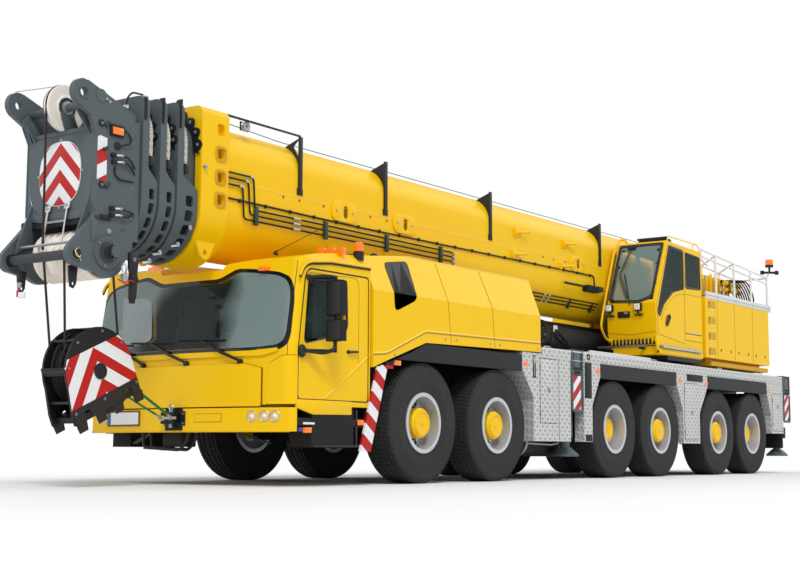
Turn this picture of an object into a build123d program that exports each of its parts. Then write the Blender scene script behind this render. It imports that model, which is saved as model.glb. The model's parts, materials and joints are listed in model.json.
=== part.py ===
"""Six-axle all-terrain mobile crane with a five-section telescopic boom.

Millimetres, +Z up, front of the vehicle towards -Y, the vehicle's left side towards +X.
Stations are distances behind axle 1, so a plan or side outline is a short table of
(station, height) or (across, station) pairs.
"""
import os
from math import cos, radians, sin

from build123d import *

os.makedirs("parts", exist_ok=True)

# ---------------------------------------------------------------- driving dimensions
AXLE_1_Y = -3640
AXLE_STATIONS = (0, 1590, 4760, 6260, 8450, 9920)
STEERED_AXLES = (1, 2, 5, 6)
SHORT_HUB_AXLES = (3, 6)
HALF_WIDTH = 1495
SIDES = (("left", 1), ("right", -1))

TYRE_RADIUS = 685
TYRE_HALF_WIDTH = 190
WHEEL_ACROSS = 1285
BEAD_RADIUS = 322
RIM_RADIUS = 321.7
HUB_RADIUS = 172
SPINDLE_RADIUS = 90
SPINDLE_END = 1300
KINGPIN_ACROSS = 1000
RUNNING_GAP = 1

FRAME_HALF_WIDTH = 480
FRAME_BOTTOM = 900
FRAME_TOP = 1560
DECK_BOTTOM = 1600
DECK_TOP = 1715
LOCKER_INNER = 1140
LOCKER_BOTTOM = 500
FENDER_TOP = 1480
FENDER_BOTTOM = 1430
SKIRT_BOTTOM = 1380

BEAM_WIDTH = 320
BEAM_BOTTOM = 920
BEAM_TOP = 1390
BEAM_GAP = 8
BOX_WALL = 25
JACK_ACROSS = 1290
JACK_HOUSING_HALF = 150
LEG_RADIUS = 70
FOOT_RADIUS = 190
FOOT_BOTTOM = 300

CAB_HALF_WIDTH = 1460
CAB_WALL = 60
CAB_FLOOR = 880
CAB_NOSE = -2430
CAB_REAR = -1010
CAB_SHOULDER_HEIGHT = 1400
CAB_TOP_PLANE = 2560
CAB_LEAN = 190
DOOR_GAP = 8

COVER_HALF_WIDTH = 1490
COVER_WALL = 30
TROUGH_HALF_WIDTH = 640
TROUGH_HEIGHT = 2230

SLEW_STATION = 7360
RING_RADIUS = 930
TURNTABLE_BOTTOM = 1780
TURNTABLE_TOP = 1850

BOOM_PIVOT = (9900, 2900)
BOOM_PIN_RADIUS = 100
CHEEK_INNER = 570
CHEEK_OUTER = 635
LIFT_BASE = (8000, 2110)
LIFT_EYE_STATION = 4300
LIFT_PIN_RADIUS = 80
BARREL_RADIUS = 240
BARREL_FRONT = 5010
ROD_RADIUS = 150

BOOM_HALF_WIDTH = 500
BOOM_TOP = 3865
BOOM_BOTTOM = 2420
SECTION_STEP = 42
BOOM_WALL = 15

HEAD_HALF_WIDTH = 505
HEAD_PLATE = 60
SHEAVE_AXLE = (-3960, 2250)
SHEAVE_RADIUS = 250
BLOCK_CENTRE = (-3740, 1130)
BLOCK_TILT = 24
BLOCK_ACROSS = 50
BLOCK_HALF_WIDTH = 175


def at(station):
    """Y of a station behind axle 1."""
    return AXLE_1_Y + station


def side_view(points):
    """Points of a side outline, (station, height) to the local axes of Plane.YZ."""
    return [(at(station), height) for station, height in points]


def finish(part, label):
    """Label one finished sub-part and write its STEP file."""
    part.label = label
    export_step(part, f"parts/{label}.step")


def across_plane(across):
    """Side-view plane at a distance across the vehicle, its normal towards +X."""
    return Plane.YZ.offset(across)


# ---------------------------------------------------------------- tyres and wheels
# across from the wheel's centre, radius
TYRE_HALF_SECTION = ((165, BEAD_RADIUS), (172, 352), (190, 490), (184, 610), (165, 668), (125, TYRE_RADIUS))
RIM_HALF_SECTION = ((190, 300), (190, 345), (177, 345), (168, RIM_RADIUS))


def wheel_plane(axle, sign):
    """Local x runs outboard and local y up from the wheel's centre."""
    centre = (sign * WHEEL_ACROSS, at(AXLE_STATIONS[axle - 1]), TYRE_RADIUS)
    return Plane(origin=centre, x_dir=(sign, 0, 0), z_dir=(0, -sign, 0))


for axle in range(1, len(AXLE_STATIONS) + 1):
    for side, sign in SIDES:
        plane = wheel_plane(axle, sign)
        spin_axis = Axis(plane.origin, (1, 0, 0))

        with BuildPart() as tyre:
            with BuildSketch(plane):
                with BuildLine():
                    outer = [(across, radius) for across, radius in TYRE_HALF_SECTION]
                    inner = [(-across, radius) for across, radius in reversed(TYRE_HALF_SECTION)]
                    Polyline(*outer, *inner, close=True)
                make_face()
            revolve(axis=spin_axis)
        finish(tyre.part, f"tyre_{axle}_{side}")

        hub_end = 75 if axle in SHORT_HUB_AXLES else 165
        with BuildPart() as wheel:
            # rim barrel with its two flanges
            with BuildSketch(plane):
                with BuildLine():
                    outer = [(across, radius) for across, radius in RIM_HALF_SECTION]
                    inner = [(-across, radius) for across, radius in reversed(RIM_HALF_SECTION)]
                    Polyline(*outer, *inner, close=True)
                make_face()
            revolve(axis=spin_axis)
            # dished disc and the hub with its closed cover
            with BuildSketch(plane):
                with BuildLine():
                    Polyline((-60, 305), (-60, 280), (-110, 200), (-110, SPINDLE_RADIUS + RUNNING_GAP),
                             (20, SPINDLE_RADIUS + RUNNING_GAP), (20, 0), (hub_end, 0),
                             (hub_end, HUB_RADIUS - 25), (hub_end - 25, HUB_RADIUS),
                             (-70, HUB_RADIUS), (-40, 280), (-40, 305), close=True)
                make_face()
            revolve(axis=spin_axis)
        finish(wheel.part, f"wheel_{axle}_{side}")

# ---------------------------------------------------------------- knuckles and axles
YOKE_HALF_HEIGHT = 190
KNUCKLE_HALF_HEIGHT = 145
KNUCKLE_RADIUS = 85
PIN_RADIUS = 35

for axle in STEERED_AXLES:
    for side, sign in SIDES:
        y = at(AXLE_STATIONS[axle - 1])
        with BuildPart() as knuckle:
            with BuildSketch(Plane.XY.offset(TYRE_RADIUS - KNUCKLE_HALF_HEIGHT)):
                with Locations((sign * KINGPIN_ACROSS, y)):
                    Circle(KNUCKLE_RADIUS)
            extrude(amount=2 * KNUCKLE_HALF_HEIGHT)
            with BuildSketch(Plane.XY.offset(TYRE_RADIUS - YOKE_HALF_HEIGHT)):
                with Locations((sign * KINGPIN_ACROSS, y)):
                    Circle(PIN_RADIUS)
            extrude(amount=2 * YOKE_HALF_HEIGHT)
            # spindle that carries the wheel
            with BuildSketch(Plane.YZ.offset(sign * KINGPIN_ACROSS)):
                with Locations((y, TYRE_RADIUS)):
                    Circle(SPINDLE_RADIUS)
            extrude(amount=sign * (SPINDLE_END - KINGPIN_ACROSS))
        finish(knuckle.part, f"knuckle_{axle}_{side}")

YOKE_INNER = 830
EAR_THICKNESS = 40
STRUT_ACROSS = 600
STRUT_TOP = 1205

with BuildPart() as axle_beams:
    for axle, station in enumerate(AXLE_STATIONS, 1):
        y = at(station)
        steered = axle in STEERED_AXLES
        beam_end = YOKE_INNER + 10 if steered else WHEEL_ACROSS - 180
        with Locations((0, y, TYRE_RADIUS)):
            Box(2 * beam_end, 170, 190)
            # differential casing
            Cylinder(150, 250, rotation=(90, 0, 0))
        for side, sign in SIDES:
            # suspension strut up to the frame
            with BuildSketch(Plane.XY.offset(TYRE_RADIUS)):
                with Locations((sign * STRUT_ACROSS, y)):
                    Circle(62)
            extrude(amount=STRUT_TOP - TYRE_RADIUS)
            if steered:
                with Locations((sign * (YOKE_INNER + 30), y, TYRE_RADIUS)):
                    Box(60, 170, 2 * YOKE_HALF_HEIGHT)
                for level in (YOKE_HALF_HEIGHT - EAR_THICKNESS / 2, -YOKE_HALF_HEIGHT + EAR_THICKNESS / 2):
                    with Locations((sign * (YOKE_INNER + 115), y, TYRE_RADIUS + level)):
                        Box(230, 130, EAR_THICKNESS)
                with BuildSketch(Plane.XY.offset(TYRE_RADIUS - YOKE_HALF_HEIGHT)):
                    with Locations((sign * KINGPIN_ACROSS, y)):
                        Circle(PIN_RADIUS + RUNNING_GAP)
                extrude(amount=2 * YOKE_HALF_HEIGHT, mode=Mode.SUBTRACT)
            else:
                with BuildSketch(Plane.YZ.offset(sign * (WHEEL_ACROSS - 200))):
                    with Locations((y, TYRE_RADIUS)):
                        Circle(SPINDLE_RADIUS)
                extrude(amount=sign * (SPINDLE_END - WHEEL_ACROSS + 200))
finish(axle_beams.part, "axle_beams")

# ---------------------------------------------------------------- outriggers
# name, side sign, station of the beam's middle
OUTRIGGERS = (
    ("front_left", 1, 3610),
    ("front_right", -1, 3250),
    ("rear_left", 1, 11540),
    ("rear_right", -1, 11180),
)
BEAM_INNER_END = -1090

for name, sign, station in OUTRIGGERS:
    y = at(station)
    jack_x = sign * JACK_ACROSS
    with BuildPart() as outrigger_beam:
        with BuildSketch(Plane.YZ.offset(sign * BEAM_INNER_END)):
            with Locations((y, (BEAM_TOP + BEAM_BOTTOM) / 2)):
                Rectangle(BEAM_WIDTH, BEAM_TOP - BEAM_BOTTOM)
        extrude(amount=sign * (JACK_ACROSS - BEAM_INNER_END))
        # jack housing at the beam's outer end, with the end plate
        with Locations((sign * (HALF_WIDTH + JACK_ACROSS - JACK_HOUSING_HALF) / 2, y,
                        (BEAM_TOP + BEAM_BOTTOM) / 2)):
            Box(HALF_WIDTH - JACK_ACROSS + JACK_HOUSING_HALF, BEAM_WIDTH + 30, BEAM_TOP - BEAM_BOTTOM)
        with BuildSketch(Plane.XY.offset(560)):
            with Locations((jack_x, y)):
                Circle(110)
        extrude(amount=BEAM_BOTTOM - 560)
        with BuildSketch(Plane.XY.offset(500)):
            with Locations((jack_x, y)):
                Circle(LEG_RADIUS + RUNNING_GAP)
        extrude(amount=BEAM_TOP - 30 - 500, mode=Mode.SUBTRACT)
    finish(outrigger_beam.part, f"outrigger_beam_{name}")

    with BuildPart() as outrigger_jack:
        with BuildSketch(Plane.XY.offset(FOOT_BOTTOM + 60)):
            with Locations((jack_x, y)):
                Circle(LEG_RADIUS)
        extrude(amount=BEAM_TOP - 60 - FOOT_BOTTOM - 60)
        with BuildSketch(Plane.XY.offset(FOOT_BOTTOM)) as foot_base:
            with Locations((jack_x, y)):
                Circle(FOOT_RADIUS)
        extrude(amount=30)
        with BuildSketch(Plane.XY.offset(FOOT_BOTTOM + 30)):
            with Locations((jack_x, y)):
                Circle(FOOT_RADIUS)
        with BuildSketch(Plane.XY.offset(FOOT_BOTTOM + 120)):
            with Locations((jack_x, y)):
                Circle(LEG_RADIUS + 20)
        loft()
    finish(outrigger_jack.part, f"outrigger_jack_{name}")

# ---------------------------------------------------------------- chassis frame
# station, height of the frame's side outline
FRAME_OUTLINE = (
    (-2150, 600), (-2150, 820), (-940, 820), (-780, 1280), (2600, 1280), (2720, FRAME_TOP),
    (11700, FRAME_TOP), (11700, 620), (10900, 620), (10800, FRAME_BOTTOM), (-700, FRAME_BOTTOM), (-950, 600),
)
# first station, last station, outer edge of a fender shelf over one pair of wheels
FENDERS = (
    (-700, 2150, 1450),
    (4290, 6800, HALF_WIDTH),
    (7990, 10570, HALF_WIDTH),
)
# station, height outlines of the skirts that hang from the fenders
SKIRTS = (
    ((-700, 1340), (-300, 1465), (20, 1590), (2150, 1590), (2150, SKIRT_BOTTOM), (-560, SKIRT_BOTTOM),
     (-620, 1330)),
    ((4290, SKIRT_BOTTOM), (4290, DECK_BOTTOM), (6800, DECK_BOTTOM), (6800, SKIRT_BOTTOM)),
    ((7990, SKIRT_BOTTOM), (7990, DECK_BOTTOM), (10570, DECK_BOTTOM), (10570, SKIRT_BOTTOM)),
)
SKIRT_THICKNESS = 30
# station, height of the striped mudguard in front of axle 1
MUDGUARD = ((-1214, 360), (-1024, 360), (-725, 1285), (-905, 1285))
# first station, last station of a transverse outrigger box, and the beams inside
BOXES = ((3057, 3803), (10987, 11733))
POST_TOP = 1740

with BuildPart() as chassis_frame:
    with BuildSketch(across_plane(-FRAME_HALF_WIDTH)):
        with BuildLine():
            Polyline(*side_view(FRAME_OUTLINE), close=True)
        make_face()
    extrude(amount=2 * FRAME_HALF_WIDTH)
    for start, end in BOXES:
        with Locations((0, at((start + end) / 2), (BEAM_TOP + BEAM_BOTTOM) / 2)):
            Box(2 * (JACK_ACROSS - JACK_HOUSING_HALF - BEAM_GAP), end - start,
                BEAM_TOP - BEAM_BOTTOM + 2 * (BEAM_GAP + BOX_WALL))
    # slewing ring seat
    with BuildSketch(Plane.XY.offset(FRAME_TOP - 40)):
        with Locations((0, at(SLEW_STATION))):
            Circle(RING_RADIUS + 60)
    extrude(amount=DECK_TOP + 20 - FRAME_TOP + 40)
    # fenders: a shelf over the wheels and a skirt down to the tyres
    for start, end, outer_edge in FENDERS:
        for side, sign in SIDES:
            with Locations((sign * (FRAME_HALF_WIDTH + outer_edge) / 2, at((start + end) / 2),
                            (FENDER_TOP + FENDER_BOTTOM) / 2)):
                Box(outer_edge - FRAME_HALF_WIDTH, end - start, FENDER_TOP - FENDER_BOTTOM)
    for outline in SKIRTS:
        for side, sign in SIDES:
            with BuildSketch(across_plane(sign * (HALF_WIDTH - SKIRT_THICKNESS))):
                with BuildLine():
                    Polyline(*side_view(outline), close=True)
                make_face()
            extrude(amount=sign * SKIRT_THICKNESS)
    for side, sign in SIDES:
        with Locations((sign * (HALF_WIDTH - 35), at(950), (FENDER_TOP + FENDER_BOTTOM) / 2)):
            Box(50, 2400, FENDER_TOP - FENDER_BOTTOM)
        # suspension brackets over the struts
        for station in AXLE_STATIONS:
            with Locations((sign * (FRAME_HALF_WIDTH + STRUT_ACROSS + 80) / 2, at(station), STRUT_TOP + 45)):
                Box(STRUT_ACROSS + 80 - FRAME_HALF_WIDTH, 220, 90)
    for side, sign in SIDES:
        # web from the low front frame up to the fender shelf
        with Locations((sign * (FRAME_HALF_WIDTH + 20), at(700), 1370)):
            Box(60, 2400, 200)
        # striped mudguard and its stay
        with BuildSketch(across_plane(sign * (HALF_WIDTH - 30))):
            with BuildLine():
                Polyline(*side_view(MUDGUARD), close=True)
            make_face()
        extrude(amount=sign * 25)
        with Locations((sign * (FRAME_HALF_WIDTH + HALF_WIDTH) / 2 - sign * 10, at(-725), 1290)):
            Box(HALF_WIDTH - FRAME_HALF_WIDTH, 210, 40)
        with Locations((sign * (HALF_WIDTH - 20), at(-690), 1305)):
            Box(30, 140, 70)
        # step under the cab door on its cross member
        with Locations((sign * 1320, at(-1650), 600)):
            Box(290, 700, 400)
        with Locations((sign * 850, at(-1650), 700)):
            Box(800, 300, 160)
        # grey column over each outrigger box
        for name, beam_sign, station in OUTRIGGERS:
            if beam_sign == sign:
                post_middle = (POST_TOP + BEAM_TOP + BEAM_GAP) / 2
                with Locations((sign * (HALF_WIDTH - 90), at(station), post_middle)):
                    Box(180, BEAM_WIDTH + 30, POST_TOP - BEAM_TOP - BEAM_GAP)
                with Locations((sign * 1100, at(station), DECK_BOTTOM - 100)):
                    Box(700, BEAM_WIDTH - 40, 160)
    # beam tunnels
    for name, sign, station in OUTRIGGERS:
        with Locations((0, at(station), (BEAM_TOP + BEAM_BOTTOM) / 2)):
            Box(2 * HALF_WIDTH, BEAM_WIDTH + 2 * BEAM_GAP, BEAM_TOP - BEAM_BOTTOM + 2 * BEAM_GAP,
                mode=Mode.SUBTRACT)
finish(chassis_frame.part, "chassis_frame")

# engine and gearbox, one plain block on the frame
ENGINE_BOTTOM = 1280
ENGINE_TOP = 2050

with BuildPart() as engine_block:
    with Locations((0, at(500), (ENGINE_BOTTOM + ENGINE_TOP) / 2)):
        Box(800, 2000, ENGINE_TOP - ENGINE_BOTTOM)
finish(engine_block.part, "engine_block")

# ---------------------------------------------------------------- front bumper
BUMPER_BOTTOM = 560
BUMPER_TOP = 800

with BuildPart() as front_bumper:
    with BuildSketch(Plane.XY.offset(BUMPER_BOTTOM)):
        with BuildLine():
            nose = ThreePointArc((-1410, at(-2335)), (0, at(-2500)), (1410, at(-2335)))
            right = ThreePointArc(nose @ 1, (1462, at(-2313)), (1480, at(-2265)))
            left = ThreePointArc((-1480, at(-2265)), (-1462, at(-2313)), nose @ 0)
            Polyline(right @ 1, (1480, at(-2250)), (1380, at(-2250)), (1380, at(-2160)), (-1380, at(-2160)),
                     (-1380, at(-2250)), (-1480, at(-2250)), left @ 0)
        make_face()
    extrude(amount=BUMPER_TOP - BUMPER_BOTTOM)
    # towing jaw with its vertical pin hole
    with Locations((0, at(-2520), 700)):
        Box(190, 160, 120)
    with Locations((0, at(-2580), 700)):
        Box(200, 110, 50, mode=Mode.SUBTRACT)
    with BuildSketch(Plane.XY.offset(640)):
        with Locations((0, at(-2560))):
            Circle(22)
    extrude(amount=120, mode=Mode.SUBTRACT)
finish(front_bumper.part, "front_bumper")

# ---------------------------------------------------------------- carrier cab and doors
# station, height of the roof line, closed far below the floor
CAB_ROOF = ((-2600, 2250), (-2330, 2290), (-2220, 2340), (-1950, 2405), (-1500, 2465), (CAB_REAR, 2485))
# across, height of the bevelled edge between the roof and each side
ROOF_EDGE = ((1500, 2320), (CAB_HALF_WIDTH, 2340), (1425, 2425), (1345, 2500), (1320, 2640), (1500, 2640))
# station, height of the ceiling in the middle and over the seats at each side
CEILING = ((-2500, 2190), (CAB_REAR - 60, 2190))
SIDE_CEILING = ((-2500, 2140), (-2200, 2275), (-1900, 2340), (CAB_REAR - 60, 2400))
SIDE_CEILING_OUTER = 1330
SIDE_CEILING_INNER = 800
# across, height of the roof trough that the boom lies in
ROOF_TROUGH = ((-450, 2270), (450, 2270), (760, 2620), (-760, 2620))
# station, height of the door and its window
DOOR_OUTLINE = ((-2215, 890), (-2215, 1400), (-2110, 2160), (-2050, 2230), (-1050, 2230), (-1050, 890))
DOOR_WINDOW = ((-2110, 1480), (-2050, 2130), (-1440, 2160), (-1420, 1670), (-1540, 1600))
# across, height of the windscreen opening
WINDSCREEN = (
    (-1330, 1430), (1330, 1430), (1280, 2150), (700, 2230), (450, 2130), (-450, 2130), (-700, 2230),
    (-1280, 2150),
)
MIRROR_ACROSS = 1660
MIRROR_STATION = -1855
# height of a mirror's middle, its height
MIRRORS = ((1932, 360), (1596, 216))
# height of a mirror arm, station where it leaves the door
MIRROR_ARMS = ((1370, -2180), (2130, -2070))
MIRROR_ARM_END = 1650


def cab_plan(inset, lean):
    """Plan outline of the carrier cab, moved inwards by inset, its nose moved back by lean."""
    half = CAB_HALF_WIDTH - inset
    rear = at(CAB_REAR) - inset
    corner = at(CAB_NOSE) + 200 + inset + lean
    right = ThreePointArc((-half, corner), (-half + 38, corner - 78), (-half + 130, corner - 110))
    left = ThreePointArc((half - 130, corner - 110), (half - 38, corner - 78), (half, corner))
    nose = ThreePointArc(right @ 1, (0, at(CAB_NOSE) + inset + lean), left @ 0)
    Polyline(left @ 1, (half, rear), (-half, rear), right @ 0)


def cab_block(inset, floor):
    """Cab shape below a flat top plane: upright up to the shoulder, then leaning back."""
    with BuildPart() as block:
        with BuildSketch(Plane.XY.offset(floor)):
            with BuildLine():
                cab_plan(inset, 0)
            make_face()
        extrude(amount=CAB_SHOULDER_HEIGHT - floor)
        for height, lean in ((CAB_SHOULDER_HEIGHT, 0), (CAB_TOP_PLANE, CAB_LEAN)):
            with BuildSketch(Plane.XY.offset(height)):
                with BuildLine():
                    cab_plan(inset, lean)
                make_face()
        loft()
    return block.part


def below_roof(roof, inner, outer):
    """Everything under a roof line, between two distances across the vehicle."""
    with BuildPart() as space:
        with BuildSketch(across_plane(inner)):
            with BuildLine():
                Polyline(*side_view(roof), (at(roof[-1][0]), 800), (at(roof[0][0]), 800), close=True)
            make_face()
        extrude(amount=outer - inner)
    return space.part


with BuildPart() as cab_outside:
    add(cab_block(0, 830))
    add(below_roof(CAB_ROOF, -CAB_HALF_WIDTH, CAB_HALF_WIDTH), mode=Mode.INTERSECT)
    with BuildSketch(Plane.XZ.offset(-at(-1000))):
        with BuildLine():
            Polyline(*ROOF_TROUGH, close=True)
        make_face()
    extrude(amount=1700, mode=Mode.SUBTRACT)
    for side, sign in SIDES:
        with BuildSketch(Plane.XZ.offset(-at(-1000))):
            with BuildLine():
                Polyline(*[(sign * across, height) for across, height in ROOF_EDGE], close=True)
            make_face()
        extrude(amount=1700, mode=Mode.SUBTRACT)

with BuildPart() as cab_inside:
    add(below_roof(CEILING, -CAB_HALF_WIDTH, CAB_HALF_WIDTH))
    for side, sign in SIDES:
        add(below_roof(SIDE_CEILING, sign * SIDE_CEILING_INNER, sign * SIDE_CEILING_OUTER))
    add(cab_block(CAB_WALL, CAB_FLOOR), mode=Mode.INTERSECT)

with BuildPart() as carrier_cab:
    add(cab_outside.part)
    add(cab_inside.part, mode=Mode.SUBTRACT)
    # windscreen opening
    with BuildSketch(Plane.XZ.offset(-at(-2190))):
        with BuildLine():
            Polyline(*WINDSCREEN, close=True)
        make_face()
    extrude(amount=400, mode=Mode.SUBTRACT)
    # rear window
    with Locations((0, at(CAB_REAR - 30), 1900)):
        Box(1500, 120, 360, mode=Mode.SUBTRACT)
    # door openings
    for side, sign in SIDES:
        with BuildSketch(across_plane(sign * (CAB_HALF_WIDTH - 2 * CAB_WALL))):
            with BuildLine():
                Polyline(*side_view(DOOR_OUTLINE), close=True)
            make_face()
            offset(amount=DOOR_GAP, kind=Kind.INTERSECTION)
        extrude(amount=sign * 3 * CAB_WALL, mode=Mode.SUBTRACT)
    # two seats and the dashboard
    for side, sign in SIDES:
        with Locations((sign * 850, at(-1560), 990)):
            Box(420, 400, 240)
        with Locations((sign * 850, at(-1560), 1190)):
            Box(500, 520, 200)
        with Locations((sign * 850, at(-1340), 1560)):
            Box(480, 110, 700)
    with Locations((0, at(-2190), 1240)):
        Box(2 * (CAB_HALF_WIDTH - CAB_WALL - 150), 240, 200)
    with Locations((0, at(-2190), 1030)):
        Box(900, 200, 320)
finish(carrier_cab.part, "carrier_cab")

for side, sign in SIDES:
    with BuildPart() as cab_door:
        with BuildSketch(across_plane(sign * (CAB_HALF_WIDTH - CAB_WALL))):
            with BuildLine():
                Polyline(*side_view(DOOR_OUTLINE), close=True)
            make_face()
        extrude(amount=sign * CAB_WALL)
        add(cab_outside.part, mode=Mode.INTERSECT)
        with BuildSketch(across_plane(sign * (CAB_HALF_WIDTH - 2 * CAB_WALL))):
            with BuildLine():
                Polyline(*side_view(DOOR_WINDOW), close=True)
            make_face()
        extrude(amount=sign * 3 * CAB_WALL, mode=Mode.SUBTRACT)
        # mirror on two arms and a post
        for height, root in MIRROR_ARMS:
            with BuildSketch(Plane.XY.offset(height)):
                with BuildLine():
                    Polyline((sign * 1440, at(root)), (sign * MIRROR_ARM_END, at(-1870)),
                             (sign * MIRROR_ARM_END, at(-1835)), (sign * 1440, at(root + 50)), close=True)
                make_face()
            extrude(amount=30)
        with BuildSketch(Plane.XY.offset(MIRROR_ARMS[0][0])):
            with Locations((sign * MIRROR_ARM_END, at(MIRROR_STATION))):
                Circle(18)
        extrude(amount=MIRROR_ARMS[1][0] - MIRROR_ARMS[0][0] + 30)
        for middle, tall in MIRRORS:
            with Locations((sign * MIRROR_ACROSS, at(MIRROR_STATION), middle)):
                Box(200, 90, tall)
    finish(cab_door.part, f"cab_door_{side}")

# ---------------------------------------------------------------- engine cover
COVER_FRONT = -990
COVER_REAR = 2640
COVER_TOP = 2600
# station, height of the cover's roof line and of its lower edge
COVER_ROOF = ((COVER_FRONT, 2500), (-70, COVER_TOP), (COVER_REAR, COVER_TOP))
COVER_EDGE = ((COVER_REAR, 1650), (2150, 1640), (20, 1600), (-820, 1330), (COVER_FRONT, 1270))
COVER_CREASE = (COVER_HALF_WIDTH, 2120)
COVER_SHOULDER = 1310


def cover_solid(inset, edge):
    """Solid inside the cover's skin: roof and sides moved inwards by inset, lower edge as given."""
    roof = [(min(max(station, COVER_FRONT + inset), COVER_REAR - inset), height - inset)
            for station, height in COVER_ROOF]
    half = [(COVER_HALF_WIDTH - inset, 1200), (COVER_CREASE[0] - inset, COVER_CREASE[1] - inset),
            (COVER_SHOULDER - inset, COVER_TOP), (TROUGH_HALF_WIDTH + inset, COVER_TOP),
            (TROUGH_HALF_WIDTH + inset, TROUGH_HEIGHT - inset)]
    other = [(-across, height) for across, height in reversed(half)]
    with BuildPart() as solid:
        with BuildSketch(across_plane(-HALF_WIDTH)):
            with BuildLine():
                Polyline(*side_view(roof), *side_view(edge), close=True)
            make_face()
        extrude(amount=2 * HALF_WIDTH)
        with BuildSketch(Plane.XZ.offset(-at(COVER_FRONT))):
            with BuildLine():
                Polyline(*half, *other, close=True)
            make_face()
        extrude(amount=COVER_FRONT - COVER_REAR, mode=Mode.INTERSECT)
    return solid.part


cover_skin = cover_solid(0, COVER_EDGE)
cover_space = cover_solid(COVER_WALL, ((COVER_REAR - COVER_WALL, 1200), (COVER_FRONT + COVER_WALL, 1200)))

with BuildPart() as engine_cover:
    add(cover_skin)
    add(cover_space, mode=Mode.SUBTRACT)
finish(engine_cover.part, "engine_cover")

# ---------------------------------------------------------------- deck and side lockers
# station, height outlines of the aluminium lockers; the last value is the inner face
LOCKERS = (
    (((2165, DECK_BOTTOM), (2165, 1400), (2440, 1050), (2440, LOCKER_BOTTOM), (3420, LOCKER_BOTTOM),
      (3420, DECK_BOTTOM)), LOCKER_INNER, (1,)),
    (((3800, LOCKER_BOTTOM), (4040, LOCKER_BOTTOM), (4040, 1000), (4280, 1400), (4280, DECK_BOTTOM),
      (3800, DECK_BOTTOM)), 1350, (1,)),
    (((2165, DECK_BOTTOM), (2165, 1400), (2440, 1050), (2440, LOCKER_BOTTOM), (3060, LOCKER_BOTTOM),
      (3060, DECK_BOTTOM)), LOCKER_INNER, (-1,)),
    (((3440, LOCKER_BOTTOM), (4040, LOCKER_BOTTOM), (4040, 1000), (4280, 1400), (4280, DECK_BOTTOM),
      (3440, DECK_BOTTOM)), 1350, (-1,)),
    (((6810, DECK_BOTTOM), (6810, 1400), (7030, 1000), (7030, LOCKER_BOTTOM), (7660, LOCKER_BOTTOM),
      (7660, 980), (7980, 1400), (7980, DECK_BOTTOM)), LOCKER_INNER, (1, -1)),
    (((10580, DECK_BOTTOM), (10580, 1400), (10770, 1000), (10770, 700), (11350, 700),
      (11350, DECK_BOTTOM)), 1350, (1,)),
    (((10580, DECK_BOTTOM), (10580, 1400), (10770, 1000), (10770, 700), (10990, 700),
      (10990, DECK_BOTTOM)), 1350, (-1,)),
)
DECK_FRONT = 2165
DECK_STEP = 2660
DECK_HALF_WIDTH = 1500
DECK_REAR = 11345

with BuildPart() as side_bodywork:
    for side, sign in SIDES:
        with Locations((sign * (FRAME_HALF_WIDTH + DECK_HALF_WIDTH) / 2, at((DECK_FRONT + DECK_REAR) / 2),
                        DECK_BOTTOM + 15)):
            Box(DECK_HALF_WIDTH - FRAME_HALF_WIDTH, DECK_REAR - DECK_FRONT, 30)
        with Locations((sign * (FRAME_HALF_WIDTH + DECK_HALF_WIDTH) / 2, at((DECK_STEP + DECK_REAR) / 2),
                        (DECK_BOTTOM + DECK_TOP) / 2)):
            Box(DECK_HALF_WIDTH - FRAME_HALF_WIDTH, DECK_REAR - DECK_STEP, DECK_TOP - DECK_BOTTOM)
    for outline, inner_face, signs in LOCKERS:
        for sign in signs:
            with BuildSketch(across_plane(sign * inner_face)):
                with BuildLine():
                    Polyline(*side_view(outline), close=True)
                make_face()
            extrude(amount=sign * (HALF_WIDTH + 2 - inner_face))
    with BuildSketch(Plane.XY.offset(DECK_BOTTOM - 10)):
        with Locations((0, at(SLEW_STATION))):
            Circle(RING_RADIUS + 70)
    extrude(amount=DECK_TOP - DECK_BOTTOM + 20, mode=Mode.SUBTRACT)
    # the grey outrigger columns stand in notches of the deck
    for name, sign, station in OUTRIGGERS:
        with Locations((sign * (HALF_WIDTH - 90), at(station), DECK_TOP)):
            Box(200, BEAM_WIDTH + 40, 400, mode=Mode.SUBTRACT)
finish(side_bodywork.part, "side_bodywork")

# ---------------------------------------------------------------- turntable
CHEEK = (
    (8250, TURNTABLE_TOP), (9250, 2950), (9650, 3160), (10150, 3160), (10330, 2900), (10500, TURNTABLE_TOP),
)
PLATE_FRONT = 6450
PLATE_REAR = 11100

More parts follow.
